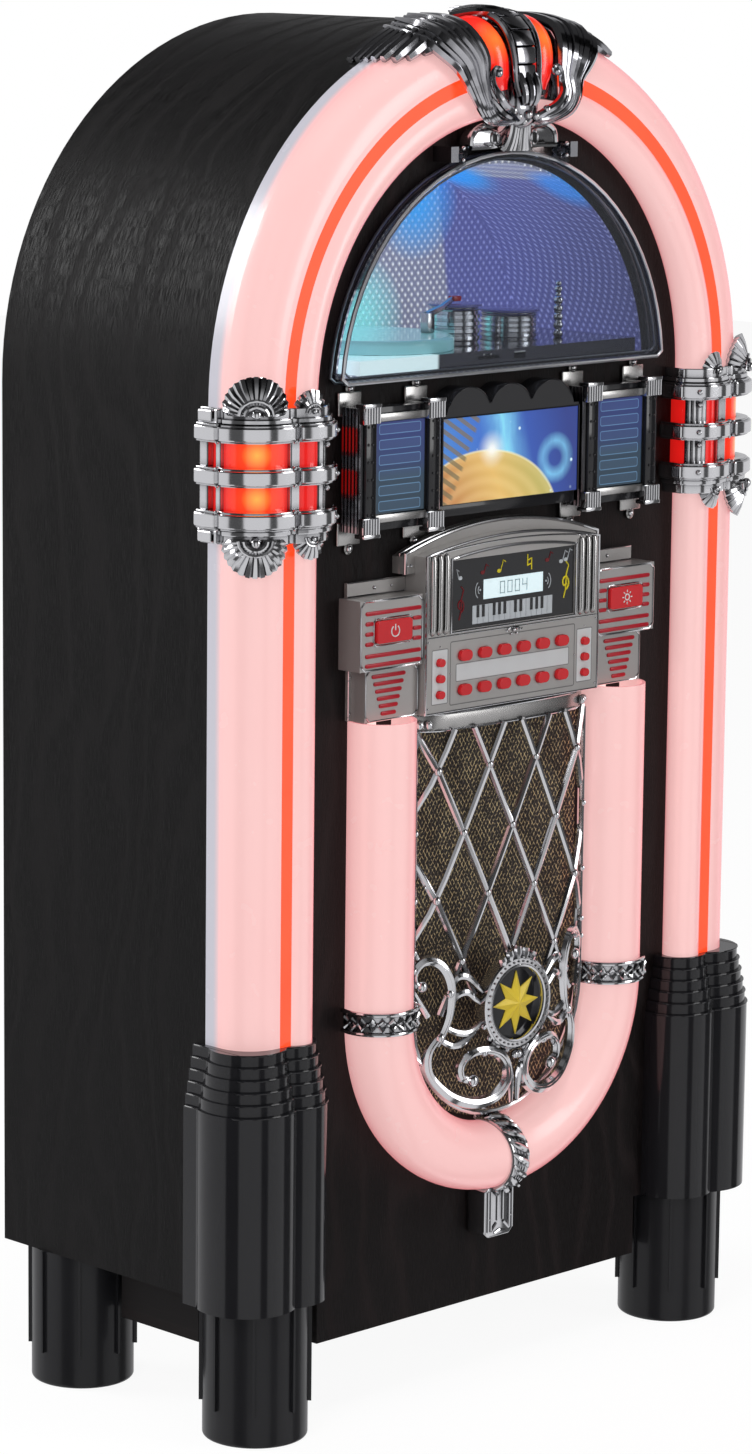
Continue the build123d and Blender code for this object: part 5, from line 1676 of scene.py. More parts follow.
@dataclass
class Crown(Assembly):
    """Plated crown over the arch: rib, feathered arms, scrolls, wings and red domes."""

    outer_edge: tuple[tuple[float, float], ...] = (
        (-16.8, -12.0), (-18.2, 10.0), (-18.8, 30.0), (-18.2, 44.0), (-16.6, 56.0), (-15.2, 68.0),
        (-14.8, 80.0), (-13.2, 92.0), (-9.8, 101.0), (-6.0, 105.0), (-2.8, 103.0)
    )
    inner_edge: tuple[tuple[float, float], ...] = (
        (-8.6, -12.0), (-9.6, 10.0), (-10.2, 30.0), (-10.0, 44.0), (-9.6, 56.0), (-10.0, 68.0),
        (-10.8, 78.0), (-10.2, 86.0), (-8.0, 93.0), (-5.4, 96.5), (-3.4, 98.0)
    )
    hook: tuple[tuple[float, float, float], ...] = (
        (-2.4, 98.0, 2.8), (-5.0, 92.5, 3.1), (-7.6, 87.0, 3.2), (-9.0, 80.0, 2.9), (-9.3, 73.0, 2.5),
        (-8.9, 66.5, 2.2), (-7.9, 63.5, 2.0), (-7.0, 65.0, 1.9), (-7.1, 68.0, 1.8)
    )
    wing_tips: tuple[tuple[float, float], ...] = (
        (-27.2, -6.0), (-27.0, 1.0), (-26.8, 8.0), (-26.6, 15.0), (-26.2, 22.0), (-25.4, 29.0),
        (-23.4, 34.0), (-20.4, 36.5)
    )
    strands: int = 7
    rough: tuple[float, ...] = (1.1, 0.8, 1.25, 0.85, 1.15, 0.8, 1.2)
    strand_radius: float = 3.6
    saddle_turn: float = 10.0
    saddle_grow: float = 1.2
    rib_turn: float = 2.3
    rib_marks: tuple[float, ...] = (-12.0, 3.0, 17.0, 30.0, 42.0, 53.0, 64.0, 75.0)
    dome_radius: float = 15.0
    dome_sunk: float = 7.5
    bracket_v: float = 45.0
    hole: tuple[float, float] = (21.5, 961.5)

    def build(self) -> None:
        """Model the crown's halves, the rib and the bracket."""
        halves = {"arm": self.arm(), "scroll": self.scroll(), "wing": self.wing()}
        feathers = self.rear_feathers()
        for name, piece in halves.items():
            stands = ("crown",) if name == "arm" else ()
            self.bench.deliver_pair(piece, f"crown_{name}", Palette.shaded_chrome, stands_for=stands)
        self.bench.deliver(feathers, "crown_feathers_left", Palette.shaded_chrome)
        bowl = self.bench.ball(self.spot(0.0, 96.0, 0.0), 17.0, 20, (1.0, 0.45, 1.0))
        self.bench.deliver(self.bench.join([self.saddle(), bowl]), "crown_saddle", Palette.shaded_chrome)
        self.bench.deliver(self.rib(), "crown_rib", Palette.shaded_chrome)
        self.bench.deliver(self.beads(), "crown_beads", Palette.chrome)
        self.bench.deliver(self.bracket(), "crown_bracket", Palette.chrome)
        self.bench.deliver(self.holes(), "crown_bracket_holes", Palette.matt_black, slot="chromed")
        hot = [self.spot(side.value * 5.8, 46.0, 8.0) / MM for side in SIDES]
        glow = RedGlow(
            "crown_domes", lamps=tuple((point.x, FRONT_Y - point.y, point.z) for point in hot), reach=44.0,
            edge=(0.50, 0.002, 0.006), middle=(0.92, 0.02, 0.01), heart=(1.0, 0.17, 0.03), strength=0.75
        )
        self.bench.deliver_pair(self.dome(), "crown_dome", glow, stands_for=("crown_lens",))

    def spot(self, turn: float, s: float, grow: float) -> Vector:
        """Return a point on the arch's tube.

        Args:
            turn: Degrees from the top of the arch, positive to the right.
            s: Millimetres round the tube from the shell's front edge, negative on the shell.
            grow: Millimetres off the surface.

        Returns:
            The point in metres.
        """
        if s < 0:
            u, v = -grow, s
        else:
            points = TUBE.outline(0.0, 16, 16)
            length = sum(math.dist(a, b) for a, b in zip(points, points[1:]))
            u, v = TUBE.along(min(s / length, 1.0), grow)
        angle = math.radians(turn)
        reach = HALF_WIDTH - u
        return at(reach * math.sin(angle), v, ARCH_Z + reach * math.cos(angle))

    def strand(self, knots: Sequence[tuple[float, float, float, float]], facets: int = 1) -> Piece:
        """Sweep a bar through knots on the arch's tube.

        Args:
            knots: Turn, s, height off the tube and radius, as in spot.
            facets: Bevel resolution of the bar, from 0.

        Returns:
            The bar.
        """
        line = [(self.spot(turn, s, grow), radius) for turn, s, grow, radius in knots]
        return self.bench.vine(line, facets=facets)

    def arm(self) -> Piece:
        """Sweep the strands of the left arm from its feathered tips to the bowl at its foot.

        Returns:
            The arm.
        """
        parts = []
        for number in range(self.strands):
            share = number / (self.strands - 1)
            lift = 4.6 + 4.6 * math.sin(math.pi * (0.15 + 0.7 * share))
            knots = []
            for (turn_a, s_a), (turn_b, s_b) in zip(self.outer_edge, self.inner_edge):
                turn, s = turn_a + (turn_b - turn_a) * share, s_a + (s_b - s_a) * share
                wide = math.hypot((turn_b - turn_a) * 4.6, s_b - s_a)
                radius = max(
                    min(wide / (self.strands - 1) * 0.62, self.strand_radius), 1.5
                ) * self.rough[number]
                knots.append((self.spot(turn, s, lift), radius))
            if number % 2 == 0:
                turn, s = knots[0][0], knots[1][0]
                knots[0] = (turn + (turn - s) * 0.18 + Vector((0, 0, 1.2 * MM)), 2.0)
            parts.append(self.bench.vine(knots))
        return self.bench.join(parts)

    def scroll(self) -> Piece:
        """Curl the left hook up from the beads and set the ball at its end.

        Returns:
            The hook with its ball and leaf.
        """
        ball = self.bench.ball(self.spot(-7.6, 67.0, 10.0), 3.3)
        hook = self.strand([(turn, s, 9.5, radius) for turn, s, radius in self.hook], 2)
        leaf = self.strand(
            [
                (turn, s, 7.5, radius)
                for turn, s, radius in (
                    (-3.0, 100.0, 1.6), (-6.5, 95.0, 2.4), (-9.0, 89.0, 2.4), (-10.6, 82.0, 1.4)
                )
            ]
        )
        return self.bench.join([hook, ball, leaf])

    def wing(self) -> Piece:
        """Fan the wing's feathers from under the arm to their blunt tips.

        Returns:
            The wing.
        """
        parts = []
        for number, (turn, s) in enumerate(self.wing_tips):
            root_turn, root_s = -13.5, -10.0 + number * 5.6
            knots = []
            for share, grow, radius in (
                (0.0, 7.5, 3.4), (0.4, 6.0, 4.0), (0.75, 4.6, 4.2), (1.0, 3.4, 3.0)
            ):
                bend = 2.6 * math.sin(math.pi * share)
                knots.append(
                    (
                        self.spot(
                            root_turn + (turn - root_turn) * share, root_s + (s - root_s) * share + bend,
                            grow
                        ),
                        radius
                    )
                )
            parts.append(self.bench.vine(knots))
        return self.bench.join(parts)

    def rear_feathers(self) -> Piece:
        """Sweep the short feathers that run from the back over the rib.

        Returns:
            The feathers.
        """
        parts = []
        for number in range(5):
            knots = (
                (-1.4 - number * 1.7, -12.0 + number * 5.6, 8.2, 2.6),
                (0.2 - number * 1.3, -5.0 + number * 6.0, 9.8, 2.9),
                (1.6 - number * 0.8, 4.0 + number * 5.6, 10.0, 2.7),
                (2.4 - number * 0.4, 14.0 + number * 4.4, 8.6, 2.0)
            )
            parts.append(self.strand(knots))
        return self.bench.join(parts)

    def saddle(self) -> Piece:
        """Turn the thin plate under the crown's arms along the arch.

        Returns:
            The plate.
        """
        start = -math.radians(self.saddle_turn)
        profile = []
        for s in (-12.0, 0.0, 14.0, 24.0, 34.0, 44.0, 54.0, 62.0, 70.0, 80.0, 90.0):
            profile.append(self.spot(-self.saddle_turn, s, self.saddle_grow))
        piece = self.bench.trace(profile, closed=False)
        with self.bench.editing(piece):
            bpy.ops.mesh.spin(
                steps=14, angle=2 * start, center=Vector((0, 0, ARCH_Z)) * MM, axis=Vector((0, 1, 0))
            )
        self.bench.tidy(piece)
        self.bench.pick(piece)
        wall = piece.modifiers.new("wall", "SOLIDIFY")
        wall.thickness = 1.6 * MM
        wall.offset = 0.0
        bpy.ops.object.modifier_apply(modifier=wall.name)
        return piece

    def rib(self) -> Piece:
        """Step the flat rib over the middle between its two side rods.

        Returns:
            The rib with its rods.
        """
        parts = []
        for number, (first, last) in enumerate(zip(self.rib_marks, self.rib_marks[1:])):
            grow = 11.5 - number * 0.35
            outline = [
                self.spot(side * self.rib_turn, s, grow)
                for side, s in ((-1, first), (1, first), (1, last - 0.6), (-1, last - 0.6))
            ]
            middle = (first + last) / 2
            push = self.spot(0.0, middle, 2.0) - self.spot(0.0, middle, grow)
            parts.append(self.bench.round_edges(self.bench.plate(outline, push), 1.3))
        for side in SIDES:
            knots = [
                (side.value * 3.1, s, 8.6, radius)
                for s, radius in (
                    (-12.0, 1.8), (10.0, 2.3), (30.0, 2.5), (45.0, 2.5), (60.0, 2.3), (74.0, 2.0),
                    (84.0, 1.6)
                )
            ]
            parts.append(self.strand(knots, 2))
        for turn in (-1.9, 0.0, 1.9):
            knots = [
                (turn * share, s, grow, radius)
                for share, s, grow, radius in (
                    (1.0, 70.0, 8.0, 3.2), (0.95, 78.0, 9.4, 3.2), (0.85, 85.0, 9.0, 2.7),
                    (0.7, 90.0, 8.0, 1.6)
                )
            ]
            parts.append(self.strand(knots, 2))
        return self.bench.join(parts)

    def dome(self) -> Piece:
        """Bulge the left red dome between the rib and the arm.

        Returns:
            The dome.
        """
        wide = (
            (-9.0, 0.5), (2.0, 0.85), (16.0, 1.0), (32.0, 1.0), (46.0, 1.0), (58.0, 1.0), (70.0, 0.98),
            (82.0, 0.88), (92.0, 0.6)
        )
        knots = []
        for s, share in wide:
            turn = -6.4 + 0.012 * max(s, 0.0)
            sunk = 2 * self.spot(turn, s, 0.0) - self.spot(turn, s, self.dome_sunk)
            knots.append((sunk, self.dome_radius * share))
        return self.bench.vine(knots, facets=5)

    def beads(self) -> Piece:
        """Cluster the beads and flute the neck at the bottom centre.

        Returns:
            The beads and the neck.
        """
        spots = (
            (-5.0, 91.5, 3.3), (5.0, 91.5, 3.3), (0.0, 95.5, 3.5), (-2.6, 96.5, 2.9), (2.6, 96.5, 2.9),
            (0.0, 101.0, 3.0)
        )
        parts = [self.bench.ball(self.spot(turn, s, 9.5), radius) for turn, s, radius in spots]
        for step in range(-4, 5):
            knots = [
                (self.spot(step * 0.75, 101.0, 6.5), 1.6), (at(step * 2.5, 49.5, 976.0), 1.9),
                (at(step * 2.4, 48.0, 967.0), 1.7), (at(step * 2.9, 46.6, 959.0), 1.9),
                (at(step * 3.7, 45.0, 952.5), 2.0)
            ]
            parts.append(self.bench.vine(knots))
        return self.bench.join(parts)

    def bracket(self) -> Piece:
        """Make the leaf-shaped bracket under the crown with the rims of its holes.

        Returns:
            The bracket.
        """
        half = ((46.0, 955.0), (45.0, 963.0), (38.0, 969.0), (26.0, 970.0), (14.0, 966.5), (6.0, 973.0))
        outline = [at(-x, 28.0, z) for x, z in half] + [at(x, 28.0, z) for x, z in reversed(half)]
        plate = self.bench.plate(outline, Vector((0, (28.0 - self.bracket_v + 2.5) * MM, 0)))
        parts = [self.bench.round_edges(plate, 2.4, 3)]
        for side in SIDES:
            x, z = side.value * self.hole[0], self.hole[1]
            ring = [
                at(x + 3.2 * math.sin(a), self.bracket_v - 2.0, z + 5.0 * math.cos(a))
                for a in fan_angles(13, 0, 332)
            ]
            parts.append(self.bench.tube(ring, 1.1, closed=True, facets=1))
            for points in (
                ((13.0, 975.0), (22.0, 971.0), (34.0, 971.5), (44.0, 966.0), (46.0, 957.0)),
                ((14.0, 956.5), (24.0, 956.0), (36.0, 955.6), (46.0, 955.4)),
                ((9.0, 964.0), (13.0, 959.0), (20.0, 957.5), (32.0, 957.5))
            ):
                knots = [
                    (at(side.value * x, self.bracket_v - 3.0, z), 2.0 if number else 1.2)
                    for number, (x, z) in enumerate(points)
                ]
                parts.append(self.bench.vine(knots))
        return self.bench.join(parts)

    def holes(self) -> Piece:
        """Fill the bracket's oval holes with dark ovals of painted shade.

        Returns:
            The two plugs.
        """
        x, z = self.hole
        hole_shades = [at(side.value * x, self.bracket_v - 2.6, z) for side in SIDES]
        return self.bench.join([self.bench.ball(hole_shade, 3.3, 14, (1.0, 0.3, 1.0)) for hole_shade in hole_shades])


@dataclass
class TitleHolder(Assembly):
    """Pair of title holders: ribbed clear sides, dotted black columns, clamps and ears."""

    centre_x: float = 120.0
    half: float = 41.5
    low: float = 677.0
    high: float = 771.0
    root_v: float = 25.0
    face_v: float = 48.0
    column_width: float = 15.5
    clamp_height: float = 12.5
    dots: int = 6
    ear_x: float = 34.5
    ear_half: float = 12.0
    card_low: float = 691.0
    card_high: float = 759.0

    def build(self) -> None:
        """Build one holder about X = 0 and set a copy on each side."""
        pieces = {
            "body": (self.body(), Palette.gloss_black), "ribs": (self.ribs(), Palette.ribbed_clear),
            "clamps": (self.clamps(), Palette.chrome), "bars": (self.bars(), Palette.satin),
            "ears": (self.ears(), Palette.satin), "screws": (self.screws(), Palette.chrome)
        }
        for name, (piece, finish) in pieces.items():
            twin = self.bench.copy(piece)
            for side, half in zip(SIDES, (piece, twin)):
                self.bench.place(half, Matrix.Translation((side.value * self.centre_x * MM, 0, 0)))
                stands = ("title_holders",) if name == "body" and side is Side.LEFT else ()
                self.bench.deliver(half, f"title_{name}_{side.word}", finish, stands_for=stands)

    def body(self) -> Piece:
        """Make the black case, open for the card, and its two dotted columns.

        Returns:
            The case.
        """
        low, high, inner = self.low + 1.5, self.high - 1.5, self.half - self.column_width
        parts = []
        for sign in (-1, 1):
            near, far = sign * inner, sign * (self.half - 1.6)
            parts.append(
                self.bench.block(
                    at(min(near, far), self.face_v - 3, low), at(max(near, far), self.root_v, high), 0.6
                )
            )
            parts.append(
                self.bench.block(
                    at(min(near, far) + 1.5, self.face_v + 0.6, low + 4),
                    at(max(near, far) - 1.0, self.face_v - 4, high - 4), 1.0
                )
            )
        for bottom, top in ((low, self.card_low), (self.card_high, high)):
            parts.append(
                self.bench.block(at(-inner, self.face_v - 5, bottom), at(inner, self.root_v, top), 0.4)
            )
        parts.append(
            self.bench.block(at(-inner, 43.9, self.card_low), at(inner, self.root_v, self.card_high))
        )
        for sign in (-1, 1):
            for row in range(self.dots):
                z = (self.low + self.high) / 2 + (row - (self.dots - 1) / 2) * 13.0
                for offset in (-2.1, 2.1):
                    x = sign * (self.half - self.column_width / 2) + offset
                    parts.append(self.bench.ball(at(x, self.face_v + 0.6, z), 1.15, 10))
        return self.bench.join(parts)

    def ribs(self) -> Piece:
        """Stand the clear ribs along both sides.

        Returns:
            The ribs.
        """
        parts = []
        for sign in (-1, 1):
            x = sign * (self.half - 1.2)
            for rib in range(6):
                v = self.root_v + 2.2 + rib * 3.6
                parts.append(self.bench.rod(at(x, v, self.low + 1.0), at(x, v, self.high - 1.0), 1.9, 2))
        return self.bench.join(parts)

    def clamps(self) -> Piece:
        """Fit a ribbed clamp over each end of each column.

        Returns:
            The four clamps.
        """
        parts = []
        middle = self.half - self.column_width / 2
        for sign in (-1, 1):
            for end in (-1, 1):
                edge = self.high if end > 0 else self.low
                low, high = sorted((edge + end * 1.0, edge - end * self.clamp_height))
                x = sign * middle
                parts.append(
                    self.bench.block(
                        at(x - 8.4, self.face_v + 2.4, low), at(x + 8.4, self.face_v - 4, high), 0.8
                    )
                )
                lip_low, lip_high = sorted((edge + end * 2.6, edge - end * 0.6))
                parts.append(
                    self.bench.block(
                        at(x - 8.6, self.face_v + 3.6, lip_low), at(x + 8.6, self.face_v - 7, lip_high), 0.6
                    )
                )
                for rib in range(6):
                    rx = x - 6.9 + rib * 2.76
                    parts.append(
                        self.bench.rod(
                            at(rx, self.face_v + 2.6, low + 0.6), at(rx, self.face_v + 2.6, high - 0.6), 1.1
                        )
                    )
        return self.bench.join(parts)

    def bars(self) -> Piece:
        """Put a silver bar above and below the card.

        Returns:
            The two bars.
        """
        inner = self.half - self.column_width + 0.5
        parts = []
        for low in (self.card_high + 0.3, self.card_low - 6.3):
            parts.append(
                self.bench.block(
                    at(-inner, self.face_v - 0.5, low), at(inner, self.face_v - 4.5, low + 6.0), 0.8
                )
            )
        return self.bench.join(parts)

    def ears(self) -> Piece:
        """Make the ears that hold the case to the baffle, each with an eye.

        Returns:
            The four ears.
        """
        parts = []
        for sign in (-1, 1):
            for end, edge in ((1, self.high), (-1, self.low)):
                x = sign * self.ear_x
                near, far = sorted((edge - end * 8.0, edge + end * 10.0))
                parts.append(
                    self.bench.block(
                        at(x - self.ear_half, 28.0, near), at(x + self.ear_half, 25.2, far), 1.3, 3
                    )
                )
                eye = [
                    at(x + 3.3 * math.cos(a), 26.8, edge + end * 12.2 + 3.3 * math.sin(a))
                    for a in fan_angles(12, 0, 330)
                ]
                parts.append(self.bench.tube(eye, 1.5, closed=True, facets=1))
        return self.bench.join(parts)

    def screws(self) -> Piece:
        """Set a domed screw in each eye.

        Returns:
            The four screws.
        """
        parts = []
        for sign in (-1, 1):
            for end, edge in ((1, self.high), (-1, self.low)):
                parts.append(self.bench.ball(at(sign * self.ear_x, 27.4, edge + end * 12.2), 2.7))
        return self.bench.join(parts)


@dataclass
class PicturePanel(Assembly):
    """Picture panel with a scalloped black head and a black foot strip."""

    half: float = 74.5
    low: float = 691.0
    high: float = 756.0
    face_v: float = 44.0

    def build(self) -> None:
        """Lay the print and its frame over the panel."""
        sheet = self.bench.block(
            at(-self.half + 0.5, self.face_v + 0.45, self.low + 0.5),
            at(self.half - 0.5, self.face_v, self.high), 0.1, 1
        )
        self.bench.deliver(sheet, "picture_sheet", Palette.picture)
        foot = self.bench.block(
            at(-self.half, self.face_v - 3.0, self.low - 9.0), at(self.half, 25.0, self.low - 0.2), 0.5
        )
        self.bench.deliver(foot, "picture_foot", Palette.print_black)
        edges = []
        for x in (-self.half + 0.2, self.half - 0.2):
            edges.append(
                self.bench.rod(
                    at(x, self.face_v + 0.6, self.low), at(x, self.face_v + 0.6, self.high + 1.0), 0.8
                )
            )
        edges.append(
            self.bench.rod(
                at(-self.half, self.face_v + 0.5, self.high + 0.5),
                at(self.half, self.face_v + 0.5, self.high + 0.5), 0.45
            )
        )
        for middle in (-45.0, 0.0, 45.0):
            arc = [
                at(middle + 24.6 * math.sin(a), self.face_v, 753.5 + 24.6 * math.cos(a))
                for a in fan_angles(15, -62, 62)
            ]
            edges.append(self.bench.tube(arc, 0.5, facets=1))
        self.bench.deliver(self.bench.join(edges), "picture_edges", Palette.gloss_black)


@dataclass
class ControlPanel(Assembly):
    """Trim, flutes, display, labels and screws of the control panel and its wings."""

    half: float = 95.0
    low: float = 535.5
    shoulder: float = 655.0
    crest: float = 666.0
    face_v: float = 50.0
    rear_half: float = 106.0
    rear_low: float = 642.0
    rear_crest: float = 675.5
    rear_v: float = 38.0
    flute_x: tuple[float, ...] = (74.15, 81.15, 88.15)
    window_half: float = 67.3
    window_low: float = 597.0
    window_high: float = 650.0
    wing_inner: float = 95.4
    wing_outer: float = 161.5
    wing_low: float = 575.0
    wing_high: float = 628.0
    wing_v: float = 47.5
    skirt_v: float = 43.0
    bar_depth: float = 0.9
    bar_radius: float = 1.55
    baffle_v: float = 28.0
    button_x: float = 127.5
    button_z: float = 603.6

    def build(self) -> None:
        """Build the panel's trim and the things printed or set on it."""
        self.bench.deliver(self.trim(), "panel_trim", Palette.chrome)
        self.bench.deliver(self.flutes(), "panel_flutes", Palette.satin_bright)
        self.bench.deliver(self.emblem(), "panel_emblem", Palette.chrome)
        self.bench.deliver(self.screws(), "panel_screws", Palette.chrome)
        for side in SIDES:
            self.bench.deliver(self.bars(side), f"wing_bars_{side.word}", Palette.groove_red)
            self.bench.deliver(self.wing_trim(side), f"wing_trim_{side.word}", Palette.chrome)
        Display().build()
        self.symbols()

    def crest_line(self, half: float, low: float, crest: float, v: float) -> list[Vector]:
        """Return the arched line of a crest from left to right.

        Args:
            half: Half its width.
            low: Height of its ends.
            crest: Height of its middle.
            v: How far forward it lies.

        Returns:
            Points along the arch.
        """
        rise = crest - low
        radius = (half * half + rise * rise) / (2 * rise)
        line = []
        for step in range(19):
            x = -half + 2 * half * step / 18
            line.append(at(x, v, crest - radius + math.sqrt(radius * radius - x * x)))
        return line

    def trim(self) -> Piece:
        """Run bright edges round the fascia, its crests and the display.

        Returns:
            The edges.
        """
        half, v = self.half - 0.6, self.face_v - 0.2
        outline = [at(-half, v, self.low + 0.6)]
        outline += self.crest_line(half, self.shoulder, self.crest - 0.6, v)
        outline += [at(half, v, self.low + 0.6)]
        parts = [self.bench.tube(outline, 1.15, closed=True, facets=2)]
        for depth, radius in ((self.rear_v, 1.4), (self.rear_v - 6.0, 0.9)):
            rear = [at(-self.rear_half + 0.8, depth, self.rear_low)]
            rear += self.crest_line(self.rear_half - 0.8, self.shoulder + 2.0, self.rear_crest - 0.8, depth)
            rear += [at(self.rear_half - 0.8, depth, self.rear_low)]
            parts.append(self.bench.tube(rear, radius, facets=2))
        inner = [at(-self.window_half - 1.2, v + 0.3, self.window_low - 1.2)]
        inner += self.crest_line(
            self.window_half + 1.2, self.window_high + 1.0, self.window_high + 6.5, v + 0.3
        )
        inner += [at(self.window_half + 1.2, v + 0.3, self.window_low - 1.2)]
        parts.append(self.bench.tube(inner, 1.3, closed=True, facets=2))
        rail = self.crest_line(half - 1.5, self.shoulder + 0.2, self.crest - 4.5, v + 0.3)
        parts.append(self.bench.tube(rail, 0.7, facets=1))
        parts.append(self.bench.rod(at(-half + 2, v + 0.2, 593.6), at(half - 2, v + 0.2, 593.6), 0.6))
        return self.bench.join(parts)

    def flutes(self) -> Piece:
        """Stand the polished flutes beside the display.

        Returns:
            The flutes and the lines beside them.
        """
        parts = []
        for side in SIDES:
            for x in self.flute_x:
                top = self.window_high + 4.0
                path = [
                    at(side.value * x, self.face_v - 0.5 + push, z)
                    for push, z in (
                        (-1.6, 596.5), (0.6, 598.0), (1.0, 602.0), (1.0, top - 3.0), (0.6, top - 0.5),
                        (-1.6, top + 0.8)
                    )
                ]
                parts.append(self.bench.tube(path, 2.7, facets=3))
            x = side.value * 70.6
            parts.append(self.bench.rod(at(x, self.face_v, 597.5), at(x, self.face_v, 654.0), 0.7))
            x = side.value * 91.8
            parts.append(self.bench.rod(at(x, self.face_v, 597.5), at(x, self.face_v, 655.0), 0.6))
        return self.bench.join(parts)

    def emblem(self) -> Piece:
        """Set the small ornament under the display.

        Returns:
            The ornament.
        """
        parts = []
        for side in SIDES:
            parts.append(
                self.bench.tube(
                    [
                        at(side.value * x, self.face_v + 0.5, z)
                        for x, z in ((1.0, 591.6), (4.5, 593.0), (7.5, 590.6), (9.6, 591.8))
                    ],
                    0.8, (1.2, 1.1, 0.8, 0.4), facets=1
                )
            )
        for x, z, radius in ((0.0, 591.2, 1.8), (0.0, 595.2, 1.0), (-3.0, 588.4, 1.0), (3.0, 588.4, 1.0)):
            parts.append(self.bench.ball(at(x, self.face_v + 0.4, z), radius, 12, rings=8))
        return self.bench.join(parts)

    def screws(self) -> Piece:
        """Drive the small screws into the flanges, the crest's ends and the fascia.

        Returns:
            The screws.
        """
        spots = []
        for side in SIDES:
            sign = side.value
            spots += [(sign * 128.0, self.baffle_v, 633.5, 1.5), (sign * 110.0, self.baffle_v, 633.5, 1.1)]
            for z in (541.0, 568.5):
                spots += [
                    (sign * 152.3, self.baffle_v, z, 1.0), (sign * 153.6, self.baffle_v, z - 2.6, 0.8)
                ]
            spots += [(sign * 99.5, 38.0, 648.0, 1.5), (sign * 103.4, 38.0, 648.0, 1.2)]
            spots += [(sign * 68.3, self.face_v, 564.6, 0.8), (sign * 92.0, self.face_v, 590.5, 0.9)]
            spots += [(sign * 92.0, self.face_v, 540.0, 0.9), (sign * 79.5, self.face_v, 586.2, 0.7)]
        return self.bench.join(
            [self.bench.ball(at(x, v, z), radius, 12, rings=8) for x, v, z, radius in spots]
        )

    def bar(self, first: float, last: float, z: float, v: float) -> Piece:
        """Make one round-ended bar that stands slightly off the wing.

        Args:
            first: X of one end.
            last: X of the other end.
            z: Its height.
            v: The wing's face.

        Returns:
            The bar.
        """
        low, high = min(first, last), max(first, last)
        radius = self.bar_radius
        outline = [
            at(low + radius - radius * math.sin(a), v - 1.0, z + radius * math.cos(a))
            for a in fan_angles(7, 0, 180)
        ]
        outline += [
            at(high - radius + radius * math.sin(a), v - 1.0, z - radius * math.cos(a))
            for a in fan_angles(7, 0, 180)
        ]
        return self.bench.round_edges(
            self.bench.plate(outline, Vector((0, -(self.bar_depth + 1.0) * MM, 0))), 0.35, 2, 50.0
        )

    def bars(self, side: Side) -> Piece:
        """Set the red bars of one wing: above, beside and below the button and on the skirt.

        Args:
            side: The wing's side.

        Returns:
            The bars.
        """
        sign = side.value
        rows = [(98.0, 156.0, 618.2), (98.0, 156.0, 586.4), (98.0, 156.0, 579.2)]
        for z in (610.6, 603.0, 595.4):
            rows += [(147.8, 156.0, z), (97.8, 106.6, z)]
        parts = [self.bar(sign * near, sign * far, z, self.wing_v) for near, far, z in rows]
        for step in range(6):
            half = 17.6 - step * 1.95
            parts.append(
                self.bar(sign * (127.0 - half), sign * (127.0 + half), 569.6 - step * 5.7, self.skirt_v)
            )
        return self.bench.join(parts)

    def wing_trim(self, side: Side) -> Piece:
        """Run a bright edge round one wing, its skirt, flange and button hole.

        Args:
            side: The wing's side.

        Returns:
            The edges.
        """
        sign = side.value
        left = self.wing_inner + 0.8
        parts = []
        for left, right, low, high, corner, v, radius in (
            (left, self.wing_outer - 0.8, self.wing_low + 0.8, self.wing_high - 0.8, 4.0, self.wing_v, 0.9),
            (left, 150.7, 536.2, self.wing_low - 0.4, 4.0, self.skirt_v, 0.8),
            (107.6, 147.4, 593.6, 613.6, 2.4, self.wing_v + 0.1, 0.7)
        ):
            points = [
                (left + corner, low), (right - corner, low), (right, low + corner), (right, high - corner),
                (right - corner, high), (left + corner, high), (left, high - corner), (left, low + corner)
            ]
            ring = [at(sign * x, v, z) for x, z in points]
            parts.append(self.bench.tube(ring, radius, closed=True, facets=1))
        for z in (639.0, 628.6):
            parts.append(
                self.bench.rod(at(sign * 96.5, self.baffle_v, z), at(sign * 155.5, self.baffle_v, z), 0.7)
            )
        parts.append(
            self.bench.rod(
                at(sign * 153.6, self.baffle_v, 536.0), at(sign * 153.6, self.baffle_v, 574.5), 0.7
            )
        )
        return self.bench.join(parts)

    def symbols(self) -> None:
        """Put a plain power symbol and a plain lamp symbol on the large buttons."""
        x, v, z = self.button_x, self.face_v + 0.5, self.button_z
        ring = [at(-x + 4.2 * math.sin(a), v, z + 4.2 * math.cos(a)) for a in fan_angles(13, 35, 325)]
        power = self.bench.join(
            [
                self.bench.tube(ring, 0.55, facets=1),
                self.bench.rod(at(-x, v, z + 0.5), at(-x, v, z + 5.2), 0.55)
            ]
        )
        self.bench.deliver(power, "power_symbol", Palette.white, body="power_button", slot="button_red")
        rays = [
            self.bench.tube(
                [at(x + 2.4 * math.sin(a), v, z + 2.4 * math.cos(a)) for a in fan_angles(12, 0, 330)], 0.55,
                closed=True, facets=1
            )
        ]
        for a in fan_angles(8, 0, 315):
            rays.append(
                self.bench.tube(
                    [at(x + reach * math.sin(a), v, z + reach * math.cos(a)) for reach in (3.8, 5.6)], 0.5,
                    facets=1
                )
            )
        self.bench.deliver(
            self.bench.join(rays), "light_symbol", Palette.white, body="light_button", slot="button_red"
        )


